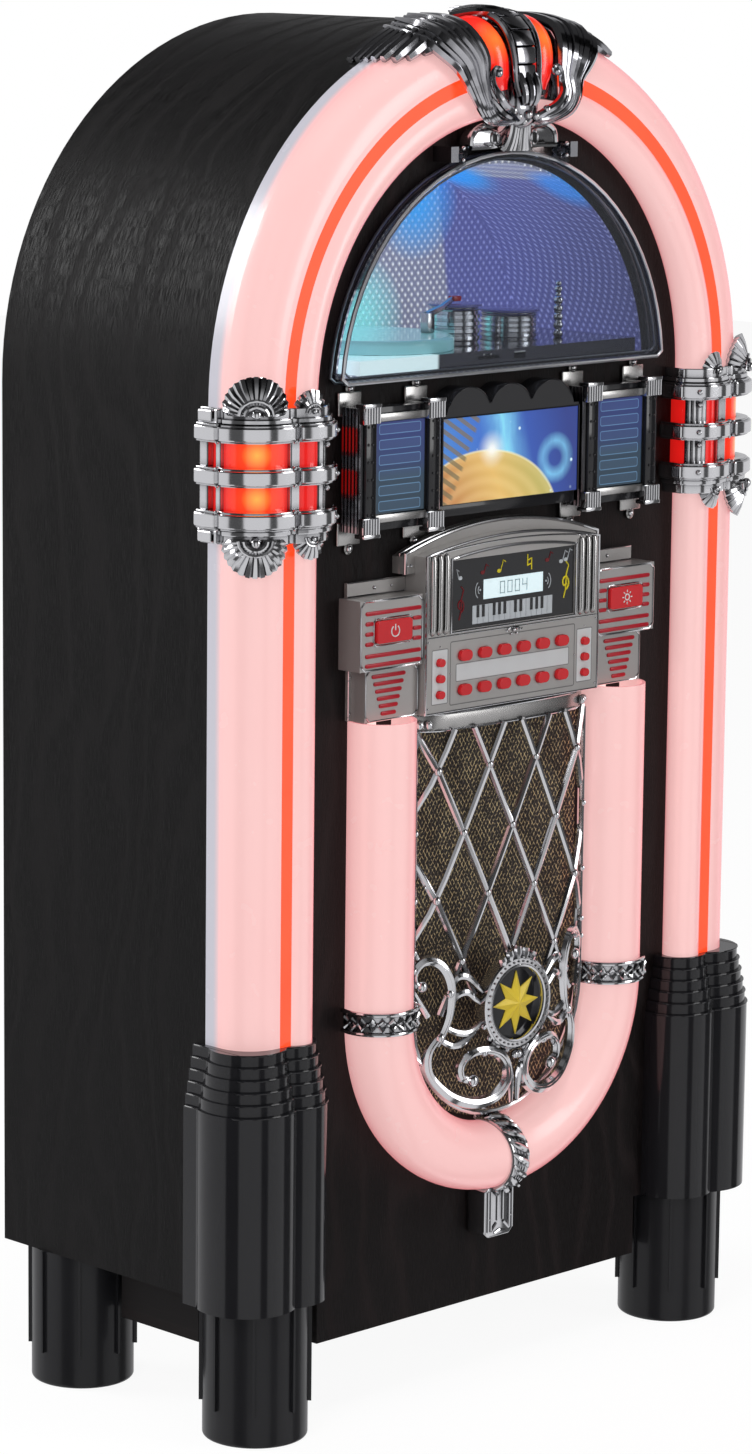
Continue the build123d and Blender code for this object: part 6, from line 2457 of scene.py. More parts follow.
@dataclass
class Display(Assembly):
    """Printed display: small screen, piano keys, sound arcs and notes."""

    face_v: float = 49.0
    screen: tuple[float, float, float, float] = (-32.6, 32.6, 617.5, 632.5)
    keys: tuple[float, float, float, float] = (-44.5, 43.5, 599.6, 613.6)
    white_keys: int = 15
    screen_z: float = 625.0
    digit_tall: float = 8.6
    digit_wide: float = 4.6

    def build(self) -> None:
        """Lay the parts on the display window."""
        left, right, low, high = self.screen
        self.bench.deliver(
            self.bench.block(at(left, self.face_v + 0.3, low), at(right, self.face_v - 0.2, high), 0.1, 1),
            "display_screen", Palette.lcd
        )
        digits = [
            self.digit(-14.5 + 8.2 * number, lit)
            for number, lit in enumerate(("abcdef", "abcdef", "abcdef", "bcfg"))
        ]
        self.bench.deliver(self.bench.join(digits), "display_digits", Palette.lcd_ink)
        white, black = self.keyboard()
        self.bench.deliver(white, "display_white_keys", Palette.print_white)
        self.bench.deliver(black, "display_black_keys", Palette.screen_black)
        self.bench.deliver(self.arcs(), "display_sound_arcs", Palette.print_white)
        notes = {
            "yellow": [
                self.note(-16.0, 637.6, 8.0, 1), self.clef(57.5, 622.0, 1.0), self.natural(17.5, 641.5)
            ],
            "red": [
                self.clef(-57.5, 615.0, 0.9), self.note(-34.0, 638.0, 6.0, 1),
                self.note(37.0, 641.0, 6.0, 1)
            ],
            "white": [
                self.note(x, z, tall, lean)
                for x, z, tall, lean in (
                    (-58.0, 636.0, 7.0, -1), (52.5, 638.5, 8.0, 1), (57.8, 639.5, 8.0, 1)
                )
            ]
        }
        inks = (Palette.print_yellow, Palette.print_red, Palette.print_white)
        for (colour, parts), ink in zip(notes.items(), inks):
            self.bench.deliver(self.bench.join(parts), f"display_{colour}_notes", ink)

    def digit(self, x: float, lit: str) -> Piece:
        """Make one seven-segment figure from the segments that are lit.

        Args:
            x: X of its left edge.
            lit: Letters of the lit segments, from a to g.

        Returns:
            The figure.
        """
        wide, tall, low = self.digit_wide, self.digit_tall, 620.6
        middle, high = low + tall / 2, low + tall
        ends = {
            "a": ((x, high), (x + wide, high)), "b": ((x + wide, high), (x + wide, middle)),
            "c": ((x + wide, middle), (x + wide, low)), "d": ((x, low), (x + wide, low)),
            "e": ((x, middle), (x, low)), "f": ((x, high), (x, middle)),
            "g": ((x, middle), (x + wide, middle))
        }
        parts = []
        for segment in lit:
            (x_a, z_a), (x_b, z_b) = ends[segment]
            low_x, high_x = sorted((x_a, x_b))
            low_z, high_z = sorted((z_a, z_b))
            parts.append(
                self.bench.block(
                    at(low_x - 0.35, self.face_v + 0.45, low_z - 0.35),
                    at(high_x + 0.35, self.face_v + 0.2, high_z + 0.35)
                )
            )
        return self.bench.join(parts)

    def keyboard(self) -> tuple[Piece, Piece]:
        """Make the white and the black keys.

        Returns:
            The white keys and the black keys.
        """
        left, right, low, high = self.keys
        pitch = (right - left) / self.white_keys
        white, black = [], []
        for number in range(self.white_keys):
            x = left + number * pitch
            white.append(
                self.bench.block(
                    at(x + 0.2, self.face_v + 0.3, low), at(x + pitch - 0.2, self.face_v - 0.2, high)
                )
            )
            if number % 7 not in (2, 6) and number < self.white_keys - 1:
                black.append(
                    self.bench.block(
                        at(x + pitch - 1.5, self.face_v + 0.5, low + 4.8),
                        at(x + pitch + 1.5, self.face_v + 0.25, high)
                    )
                )
        return self.bench.join(white), self.bench.join(black)

    def arcs(self) -> Piece:
        """Draw two sound arcs and a dot on each side of the screen.

        Returns:
            The arcs and dots.
        """
        parts = []
        for side in SIDES:
            for radius in (2.6, 5.4):
                line = [
                    at(
                        side.value * (36.0 + radius * math.cos(a)), self.face_v + 0.2,
                        self.screen_z + radius * 1.25 * math.sin(a)
                    )
                    for a in fan_angles(9, -58, 58)
                ]
                parts.append(self.bench.tube(line, 0.38, facets=0))
            parts.append(
                self.bench.ball(at(side.value * 36.2, self.face_v, self.screen_z), 0.8, 8, rings=6)
            )
        return self.bench.join(parts)

    def note(self, x: float, z: float, tall: float, lean: int) -> Piece:
        """Draw a note with a round head and a stem.

        Args:
            x: X of the head.
            z: Height of the head.
            tall: Length of the stem.
            lean: 1 or -1, the way it leans.

        Returns:
            The note.
        """
        head = self.bench.drum(at(x, self.face_v + 0.1, z), 1.0, 0.5, 16, True, (2.1, 1.5, 1.0))
        line = [
            at(x + lean * 1.7, self.face_v + 0.2, z),
            at(x + lean * (1.7 + tall * 0.35), self.face_v + 0.2, z + tall),
            at(x + lean * (1.7 + tall * 0.35) + 2.6, self.face_v + 0.2, z + tall - 1.6)
        ]
        return self.bench.join([head, self.bench.tube(line, 0.45, facets=0)])

    def clef(self, x: float, z: float, size: float) -> Piece:
        """Draw a curled ornament like a clef.

        Args:
            x: X of its middle.
            z: Height of its middle.
            size: Its size, 1 for the largest.

        Returns:
            The ornament.
        """
        line = []
        for step in range(17):
            share = step / 16
            turn = math.radians(-90 + 430 * share)
            reach = (4.6 - 3.2 * share) * size
            line.append(at(x + reach * math.cos(turn), self.face_v + 0.2, z + 1.3 * reach * math.sin(turn)))
        stem = [
            at(x + dx * size, self.face_v + 0.2, z + dz * size)
            for dx, dz in ((-1.5, -12.0), (0.5, -6.0), (1.2, 6.0), (3.6, 13.0), (0.6, 16.0))
        ]
        return self.bench.join(
            [self.bench.tube(line, 0.85 * size, facets=0), self.bench.tube(stem, 0.7 * size, facets=0)]
        )

    def natural(self, x: float, z: float) -> Piece:
        """Draw a natural sign.

        Args:
            x: X of its middle.
            z: Height of its middle.

        Returns:
            The sign.
        """
        lines = (
            ((-2.2, 6.0), (-2.2, -3.0)), ((2.2, 3.0), (2.2, -6.0)), ((-2.2, 1.2), (2.2, 2.6)),
            ((-2.2, -2.6), (2.2, -1.2))
        )
        parts = []
        for first, last in lines:
            parts.append(
                self.bench.tube(
                    [at(x + dx, self.face_v + 0.2, z + dz) for dx, dz in (first, last)], 0.6, facets=0
                )
            )
        return self.bench.join(parts)


@dataclass
class Grille(Assembly):
    """Bowed lattice of round bars over the cloth, with its rail, scrolls and medallion."""

    half: float = 95.2
    centre_z: float = 306.0
    top: float = 535.5
    rail: float = 15.0
    peak_v: float = 51.0
    edge_v: float = 43.5
    slope: float = 1.95
    mark_low: float = 230.0
    mark_step: float = 3.1
    marks: int = 95
    pitch: float = 51.0
    phase_z: float = 341.5
    bar_radius: float = 2.9
    scroll_peak_v: float = 57.0
    scroll_edge_v: float = 33.0
    border_v: float = 38.5
    medal_z: float = 302.5
    medal_outer: float = 36.5
    medal_inner: float = 28.5
    medal_v: float = 60.0
    star_reach: float = 25.0
    star_waist: float = 12.0
    star_points: int = 8
    upper_scroll: tuple[tuple[float, float], ...] = (
        (-73.5, 278.0), (-67.0, 290.0), (-63.0, 303.0), (-62.0, 320.0), (-66.0, 334.0), (-74.0, 343.0),
        (-84.0, 344.0), (-90.5, 336.0), (-90.0, 328.0), (-85.0, 325.0)
    )
    lower_scroll: tuple[tuple[float, float], ...] = (
        (-72.0, 284.0), (-78.6, 274.5), (-80.0, 264.0), (-77.0, 253.0), (-66.0, 240.5), (-54.0, 233.0),
        (-38.0, 229.0), (-21.0, 232.0), (-10.0, 242.0), (-9.5, 254.0), (-17.0, 264.5), (-29.5, 269.5),
        (-44.0, 268.6), (-53.0, 260.0), (-51.5, 250.5), (-43.0, 247.5)
    )

    def build(self) -> None:
        """Build the lattice, the scrolls, the rail and the medallion."""
        self.bench.deliver(
            self.bars(1), "grille_bars_right", Palette.chrome, stands_for=("grille_lattice",)
        )
        self.bench.deliver(self.bars(-1), "grille_bars_left", Palette.chrome)
        self.bench.deliver(self.crossings(), "grille_knots", Palette.chrome)
        self.bench.deliver(self.rail_block(), "grille_rail", Palette.satin)
        self.bench.deliver(self.knobs(), "grille_knobs", Palette.chrome)
        self.bench.deliver(self.border(), "grille_border", Palette.chrome)
        self.bench.deliver_pair(self.scrolls(), "grille_scroll", Palette.chrome)
        self.medallion()

    def bow(self, x: float) -> float:
        """Return how far forward the bowed bars lie at an X."""
        return self.arc(x, self.peak_v, self.edge_v) - max(abs(x) - 78.0, 0.0) * 0.5

    def scroll_bow(self, x: float) -> float:
        """Return how far forward the scrolls lie at an X."""
        return self.arc(x, self.scroll_peak_v, self.scroll_edge_v)

    def arc(self, x: float, peak: float, edge: float) -> float:
        """Return the depth at an X of an arc from its peak in the middle to the lattice's edges.

        Args:
            x: Where the depth is wanted.
            peak: Depth in the middle.
            edge: Depth at the lattice's edges.

        Returns:
            The depth, as v in millimetres.
        """
        rise = peak - edge
        radius = (rise * rise + self.half * self.half) / (2 * rise)
        return peak - radius + math.sqrt(max(radius * radius - x * x, 0.0))

    def inside(self, x: float, z: float) -> bool:
        """Return whether a point of the lattice lies inside its border and off the medallion.

        Args:
            x: X in millimetres.
            z: Z in millimetres.

        Returns:
            Whether a bar may be there.
        """
        if abs(x) > self.half - 1.0 or z > self.top - 8.0:
            return False
        if z < self.centre_z and math.hypot(x, z - self.centre_z) > self.half - 2.0:
            return False
        if z < self.medal_z - 4.0 or (z < self.phase_z and abs(x) < 66.0 and z < 288.0):
            return False
        return math.hypot(x, z - self.medal_z) > self.medal_outer

    def bars(self, lean: int) -> Piece:
        """Run the bars of one lean across the bow.

        Args:
            lean: 1 for the bars that fall to the right, -1 for those that fall to the left.

        Returns:
            The bars.
        """
        parts = []
        for step in range(-5, 6):
            line = []
            for mark in range(self.marks):
                z = self.mark_low + mark * self.mark_step
                x = step * self.pitch - lean * (z - self.phase_z) / self.slope
                if self.inside(x, z):
                    line.append(at(x, self.bow(x), z))
            if len(line) > 3:
                thin = line[::8] + ([line[-1]] if (len(line) - 1) % 8 else [])
                parts.append(self.bench.tube(thin, self.bar_radius, facets=2))
        return self.bench.join(parts)

    def crossings(self) -> Piece:
        """Set a small knot on every crossing of the bars.

        Returns:
            The knots.
        """
        parts = []
        rows = self.pitch * self.slope / 2
        for row in range(0, 4):
            for column in range(-4, 5):
                x, z = column * self.pitch / 2, self.phase_z + row * rows
                if (row + column) % 2 == 0 and self.inside(x, z):
                    parts.append(self.bench.ball(at(x, self.bow(x) + 0.4, z), self.bar_radius + 0.8, 12))
        return self.bench.join(parts)

    def rail_block(self) -> Piece:
        """Extrude the flat top rail along the bow.

        Returns:
            The rail.
        """
        xs = [self.half * step / 6 for step in range(-6, 7)]
        low = self.top - self.rail
        front = [at(x, self.bow(x) - 1.0, low) for x in xs]
        back = [at(x, self.bow(x) - 6.0, low) for x in reversed(xs)]
        rail = self.bench.plate(front + back, Vector((0, 0, (self.rail - 0.6) * MM)))
        return self.bench.round_edges(rail, 0.8)

    def knobs(self) -> Piece:
        """Set the lines along the rail and two knobs at each of its ends.

        Returns:
            The lines and the knobs.
        """
        parts = []
        for z in (self.top - self.rail + 0.8, self.top - 1.6):
            line = [at(x, self.bow(x) - 0.8, z) for x in range(-90, 91, 15)]
            parts.append(self.bench.tube(line, 0.9, facets=1))
        for side in SIDES:
            for offset, radius in ((90.0, 4.0), (84.5, 3.0)):
                x = side.value * offset
                place = at(x, self.bow(x) + 2.0, self.top - 9.0)
                parts.append(self.bench.ball(place, 1.0, 16, (radius, 3.2, 3.6), 10))
        return self.bench.join(parts)

    def border(self) -> Piece:
        """Run a rod down each side and round the bottom.

        Returns:
            The rod with its beads.
        """
        edge = self.half - 2.2
        line = [at(-edge, self.border_v, z) for z in (520.0, 450.0, 380.0, self.centre_z)]
        line += [
            at(edge * math.cos(a), self.border_v, self.centre_z + edge * math.sin(a))
            for a in fan_angles(21, 188, 352)
        ]
        line += [at(edge, self.border_v, z) for z in (self.centre_z, 380.0, 450.0, 520.0)]
        parts = [self.bench.tube(line, 2.3, facets=2)]
        for side in SIDES:
            for z in (352.0, 338.0, 392.0, 444.0):
                parts.append(
                    self.bench.ball(at(side.value * edge, self.border_v + 1.0, z), 3.1, 12, rings=8)
                )
        return self.bench.join(parts)

    def over(self, points: Sequence[tuple[float, float]], radii: Sequence[float], lift: float) -> Piece:
        """Sweep a smooth bar along the bow.

        Args:
            points: Pairs (X, Z) of its line.
            radii: Its radius at the start, in the middle and at the end.
            lift: How far in front of the bow it runs.

        Returns:
            The bar.
        """
        start, middle, end = radii
        knots = []
        for number, (x, z) in enumerate(points):
            share = number / (len(points) - 1)
            radius = start + (middle - start) * min(share * 3, 1.0) + (end - middle) * max(
                share * 2 - 1, 0.0
            )
            knots.append((at(x, self.scroll_bow(x) + lift, z), radius))
        return self.bench.vine(knots, facets=2)

    def scrolls(self) -> Piece:
        """Make the left scrolls, their straps and leaves.

        Returns:
            The left scrolls.
        """
        parts = [
            self.over(self.upper_scroll, (3.4, 4.7, 3.2), 1.5),
            self.over(self.upper_scroll, (1.0, 1.7, 1.0), 5.0),
            self.over(self.lower_scroll, (3.2, 5.0, 3.4), 1.5),
            self.over(self.lower_scroll, (1.0, 1.8, 1.0), 5.2)
        ]
        for line, radius in ((self.upper_scroll, 4.8), (self.lower_scroll, 5.2)):
            x, z = line[-1]
            parts.append(self.bench.ball(at(x, self.scroll_bow(x) + 2.5, z), radius))
        straps = (
            ((-62.0, 320.0), (-57.0, 329.0), (-48.0, 329.0), (-39.0, 321.0), (-33.0, 315.0)),
            ((-63.0, 306.0), (-57.0, 315.0), (-48.0, 317.0), (-41.0, 311.0), (-34.0, 306.0)),
            ((-66.0, 292.0), (-58.0, 287.0), (-48.0, 285.0), (-39.0, 288.0), (-31.0, 294.0)),
            ((-72.0, 284.0), (-62.0, 277.0), (-53.0, 277.0), (-46.0, 281.0), (-40.0, 285.0)),
            ((-29.5, 269.0), (-22.0, 274.0), (-15.0, 273.0), (-10.0, 269.0)),
            ((-15.0, 267.0), (-9.5, 258.0), (-5.0, 246.0), (-3.6, 234.0), (-3.4, 224.0)),
            ((-80.0, 262.0), (-87.0, 268.0), (-91.0, 280.0), (-92.0, 300.0)),
            ((-86.0, 344.0), (-91.0, 356.0), (-92.0, 374.0))
        )
        for number, strap in enumerate(straps):
            parts.append(self.over(strap, (2.6, 3.2, 1.6) if number < 6 else (1.6, 2.2, 1.2), 1.0))
        for x, z, radius in (
            (-63.5, 318.0, 4.0), (-71.0, 284.0, 4.2), (-33.0, 268.0, 3.4), (-2.0, 262.0, 3.4)
        ):
            parts.append(self.bench.ball(at(x, self.scroll_bow(x) + 3.0, z), radius, 12))
        return self.bench.join(parts)

    def medallion(self) -> None:
        """Turn the medallion's ring, bead it, crest it and set the star on its black field."""
        centre = at(0.0, 0.0, self.medal_z)
        axis = Vector((0, 1, 0))
        inner, outer, face = self.medal_inner, self.medal_outer, self.medal_v
        profile = (
            (inner - 1.5, 50.0), (inner - 1.2, face), (inner, face + 2.0), (inner + 1.4, face + 2.2),
            (inner + 2.0, face + 1.4), (outer - 1.8, face + 1.2), (outer - 1.0, face + 1.9),
            (outer, face + 0.8), (outer + 0.3, face - 2.0), (outer - 1.0, 50.0)
        )
        ring = self.bench.trace([at(0.0, v, self.medal_z + radius) for radius, v in profile])
        with self.bench.editing(ring):
            bpy.ops.mesh.delete(type="ONLY_FACE")
            bpy.ops.mesh.select_all(action="SELECT")
            bpy.ops.mesh.spin(steps=56, angle=math.tau, center=centre, axis=axis)
        parts = [self.bench.tidy(ring)]
        for angle in fan_angles(40, 0, 351):
            reach = (self.medal_outer + self.medal_inner) / 2
            dot = at(reach * math.sin(angle), self.medal_v + 2.0, self.medal_z + reach * math.cos(angle))
            parts.append(self.bench.ball(dot, 0.75, 8))
        for angle in fan_angles(5, -25, 25):
            inner, outer = self.medal_outer - 2.0, self.medal_outer + 8.0 - 7.0 * abs(angle)
            knots = [
                (
                    at(reach * math.sin(angle), self.medal_v - 0.5, self.medal_z + reach * math.cos(angle)),
                    radius
                )
                for reach, radius in ((inner, 2.6), ((inner + outer) / 2, 3.5), (outer, 3.0))
            ]
            parts.append(self.bench.vine(knots, facets=2))
        for side in SIDES:
            for angle in fan_angles(4, 112, 166):
                reach = self.medal_outer + 0.4
                leaf = at(
                    side.value * reach * math.sin(angle), self.medal_v - 2.0,
                    self.medal_z + reach * math.cos(angle)
                )
                parts.append(self.bench.ball(leaf, 2.8, 10))
        self.bench.deliver(
            self.bench.join(parts), "medallion_ring", Palette.chrome, stands_for=("medallion",)
        )
        middle = at(0.0, self.medal_v - 3.5, self.medal_z)
        field_disc = self.bench.round_edges(
            self.bench.drum(middle, self.medal_inner - 0.5, 3.0, 56, True), 0.5
        )
        self.bench.deliver(field_disc, "medallion_field", Palette.screen_black, slot="pilaster_black")
        corners = []
        for corner in range(2 * self.star_points):
            reach = self.star_reach if corner % 2 == 0 else self.star_waist
            turn = math.pi * corner / self.star_points
            corners.append(
                at(reach * math.sin(turn), self.medal_v - 1.9, self.medal_z + reach * math.cos(turn))
            )
        star = self.bench.trace(corners)
        with self.bench.editing(star):
            bpy.ops.mesh.extrude_region_move(TRANSFORM_OT_translate={"value": Vector((0, -0.8 * MM, 0))})
            bpy.ops.mesh.extrude_region_move(TRANSFORM_OT_translate={"value": Vector((0, -4.0 * MM, 0))})
            bpy.ops.mesh.merge(type="CENTER")
        self.bench.deliver(
            self.bench.tidy(star), "medallion_star_face", Palette.yellow, smooth=5.0,
            stands_for=("medallion_star",)
        )


@dataclass
class LoopTrim(Assembly):
    """Cast bands, the clasp and the tail of the lower light loop."""

    loop_radius: float = 127.0
    loop_v: float = 36.0
    tube: float = 26.8
    loop_z: float = 306.0
    band_z: float = 308.0
    band_height: float = 17.0
    clasp_half: float = 8.6
    tail: tuple[float, float, float, float] = (16.5, 113.0, 152.0, 46.0)

    def build(self) -> None:
        """Build one band and its mirror copy, then the clasp and the tail."""
        self.bench.deliver_pair(self.band(), "loop_band", Palette.chrome, stands_for=("loop_bands",))
        self.bench.deliver(self.clasp(), "loop_clasp", Palette.chrome)
        self.bench.deliver(self.tail_plate(), "loop_tail", Palette.chrome)

    def round_point(self, turn: float, grow: float, z: float) -> Vector:
        """Return a point round the left leg's tube, 90 degrees facing forward."""
        reach, angle = self.tube + grow, math.radians(turn)
        return at(-self.loop_radius - reach * math.cos(angle), self.loop_v + reach * math.sin(angle), z)

    def band(self) -> Piece:
        """Make the left band: a strap with two rims and a row of leaves and beads.

        Returns:
            The band.
        """
        half = self.band_height / 2
        turns = [-20 + 220 * step / 24 for step in range(25)]
        outer = [self.round_point(turn, 2.2, self.band_z - half) for turn in turns]
        inner = [self.round_point(turn, 0.3, self.band_z - half) for turn in reversed(turns)]
        parts = [self.bench.plate(outer + inner, Vector((0, 0, self.band_height * MM)))]
        for z in (-half + 0.9, half - 0.9):
            parts.append(
                self.bench.tube(
                    [self.round_point(turn, 2.6, self.band_z + z) for turn in turns], 1.7, facets=2
                )
            )
        for step in range(14):
            turn = -8 + step * 15.0
            for lean in (-1, 1):
                path = [
                    self.round_point(turn - 5.0, 3.0, self.band_z + lean * 0.8),
                    self.round_point(turn, 3.6, self.band_z + lean * 3.6),
                    self.round_point(turn + 5.0, 3.0, self.band_z + lean * 1.2)
                ]
                parts.append(self.bench.tube(path, 1.9, (0.5, 1.0, 0.4), facets=1))
            parts.append(self.bench.bead(self.round_point(turn + 7.5, 3.0, self.band_z), 1.9, 1))
        return self.bench.join(parts)

    def wrap(self, x: float, turn: float, grow: float) -> Vector:
        """Return a point round the loop's lowest section, 90 degrees facing forward.

        Args:
            x: X before the strap's sway.
            turn: Degrees round the tube.
            grow: Millimetres off the tube.

        Returns:
            The point in metres.
        """
        reach, angle = self.tube + grow, math.radians(turn)
        sway = -2.0 + 4.5 * math.sin(math.radians(turn - 10))
        return at(
            x + sway, self.loop_v + reach * math.sin(angle),
            self.loop_z - self.loop_radius + reach * math.cos(angle)
        )

    def clasp(self) -> Piece:
        """Wrap a twisted strap of leaves round the bottom of the loop.

        Returns:
            The clasp.
        """
        parts = []
        turns = [-12 + 204 * step / 20 for step in range(21)]
        for x in (-self.clasp_half + 1.0, self.clasp_half - 1.0):
            parts.append(self.bench.tube([self.wrap(x, turn, 1.6) for turn in turns], 1.8, facets=2))
        for x in (-4.8, -1.6, 1.6, 4.8):
            parts.append(self.bench.tube([self.wrap(x, turn, 1.2) for turn in turns], 2.6, facets=1))
        for step in range(10):
            turn = -4 + step * 19.0
            path = [
                self.wrap(-self.clasp_half + 0.5, turn - 12.0, 2.6), self.wrap(-3.5, turn - 3.0, 4.8),
                self.wrap(3.5, turn + 5.0, 5.0), self.wrap(self.clasp_half - 0.5, turn + 14.0, 2.6)
            ]
            parts.append(self.bench.tube(path, 2.5, (0.5, 1.0, 1.0, 0.5), facets=2))
        top = [self.wrap(x, -14.0, grow) for x, grow in ((-9.0, 4.0), (0.0, 8.0), (9.0, 4.0))]
        parts.append(self.bench.tube(top, 2.4, facets=2))
        return self.bench.join(parts)

    def tail_plate(self) -> Piece:
        """Make the tail plate with its rounded foot and raised lines.

        Returns:
            The plate.
        """
        half, low, high, v = self.tail
        outline = [at(-half, 25.0, high), at(-half, 25.0, low + 5), at(-half + 5, 25.0, low + 0.5)]
        outline += [
            at(half - 5, 25.0, low + 0.5), at(half, 25.0, low + 5), at(half, 25.0, high),
            at(half - 6, 25.0, high + 4)
        ]
        outline += [at(-half + 6, 25.0, high + 4)]
        plate = self.bench.round_edges(self.bench.plate(outline, Vector((0, -(v - 26.0) * MM, 0))), 1.8, 3)
        parts = [plate]
        for side in SIDES:
            lines = (
                ((13.4, low + 6), (13.4, high - 1)), ((10.2, low + 6), (10.2, high - 1)),
                ((3.0, low + 14), (3.0, high - 3)), ((3.0, high - 3), (7.0, high + 1)),
                ((10.2, low + 6), (4.0, low + 12)), ((10.2, low + 16), (13.4, low + 16)),
                ((0.0, low + 6), (6.0, low + 4))
            )
            for first, last in lines:
                path = [at(side.value * x, v - 0.8, z) for x, z in (first, last)]
                parts.append(self.bench.tube(path, 1.1, facets=1))
        return self.bench.join(parts)


@dataclass
class PilasterTrim(Assembly):
    """Fine lips on the stepped rings of the pilasters and their lower edge."""

    outer: tuple[float, float, float] = (17.8, 26.1, 38.0)
    inner: tuple[float, float, float] = (52.5, 30.6, 31.8)
    flat_u: float = -14.5
    top: float = 304.0
    ring_height: float = 9.0
    ring_step: float = 1.8
    rings: int = 5

    def build(self) -> None:
        """Lay a lip on each step of the left pilaster and mirror them."""
        parts = []
        for ring in range(self.rings):
            z = self.top - ring * self.ring_height
            parts.append(
                self.bench.tube(self.line(-(self.rings - ring) * self.ring_step, z - 0.5), 0.75, facets=1)
            )
        parts.append(
            self.bench.tube(self.line(0.0, self.top - self.rings * self.ring_height - 0.5), 0.75, facets=1)
        )
        self.bench.deliver_pair(self.bench.join(parts), "pilaster_lips", Palette.gloss_black)

    def line(self, grow: float, z: float) -> list[Vector]:
        """Return the left pilaster's outline at an offset, as a line at a height.

        Args:
            grow: How far outside the outline.
            z: Its height.

        Returns:
            Points of the line.
        """
        outer_u, outer_v, outer_radius = self.outer
        inner_u, inner_v, inner_radius = self.inner
        outer, inner = outer_radius + grow, inner_radius + grow
        flat = self.flat_u - grow
        gap = math.hypot(inner_u - outer_u, inner_v - outer_v)
        along = (gap * gap + outer * outer - inner * inner) / (2 * gap)
        lean = math.atan2(inner_v - outer_v, inner_u - outer_u)
        open_angle = math.acos(max(min(along / outer, 1.0), -1.0))
        join = (
            outer_u + outer * math.cos(lean + open_angle), outer_v + outer * math.sin(lean + open_angle)
        )
        start = math.acos((flat - outer_u) / outer)
        points = [(flat, -6.0)]
        for step in range(13):
            angle = start + (lean + open_angle - start) * step / 12
            if outer_v + outer * math.sin(angle) > -6.0:
                points.append((outer_u + outer * math.cos(angle), outer_v + outer * math.sin(angle)))
        first = math.atan2(join[1] - inner_v, join[0] - inner_u)
        last = -math.asin((inner_v - 26.0) / inner)
        for step in range(1, 11):
            angle = first + (last - first) * step / 10
            points.append((inner_u + inner * math.cos(angle), inner_v + inner * math.sin(angle)))
        return [at(u - HALF_WIDTH, v, z) for u, v in points]


@dataclass
class Window(Assembly):
    """Painted highlights along the edges of the clear window, and the hinge screws."""

    radius: float = 174.6
    low: float = 787.8
    arch_z: float = 776.0
    face_v: float = 39.2
    root_v: float = 26.4

    def build(self) -> None:
        """Run the painted highlights where the window's edges catch the light, and set the screws."""
        for name, v, radius in (("front", self.face_v, 1.5), ("back", self.root_v, 1.1)):
            edge = self.bench.tube(self.outline(v, self.radius), radius, closed=True, facets=1)
            self.bench.deliver(edge, f"window_edge_{name}", Palette.acrylic_edge_highlight, body="window_cover")
        inner = self.bench.tube(
            self.outline(self.face_v - 2.6, self.radius - 4.4), 0.8, closed=True, facets=1
        )
        self.bench.deliver(inner, "window_edge_inner", Palette.acrylic_edge_highlight, body="window_cover")
        spots = [at(side.value * 56.0, 44.2, z) for side in SIDES for z in (947.0, 955.6)]
        screws = [self.bench.ball(spot, 1.7, 12, rings=8) for spot in spots]
        self.bench.deliver(self.bench.join(screws), "hinge_screws", Palette.chrome)

    def outline(self, v: float, radius: float) -> list[Vector]:
        """Return the window's outline: a flat foot and a round head.

        Args:
            v: How far forward it lies.
            radius: The head's radius.

        Returns:
            The closed outline.
        """
        low = self.low + self.radius - radius
        start = math.degrees(math.acos((low + 4.0 - self.arch_z) / radius))
        head = [
            at(radius * math.sin(a), v, self.arch_z + radius * math.cos(a))
            for a in fan_angles(33, -start, start)
        ]
        return head + [at(radius - 6.0, v, low), at(6.0 - radius, v, low)]


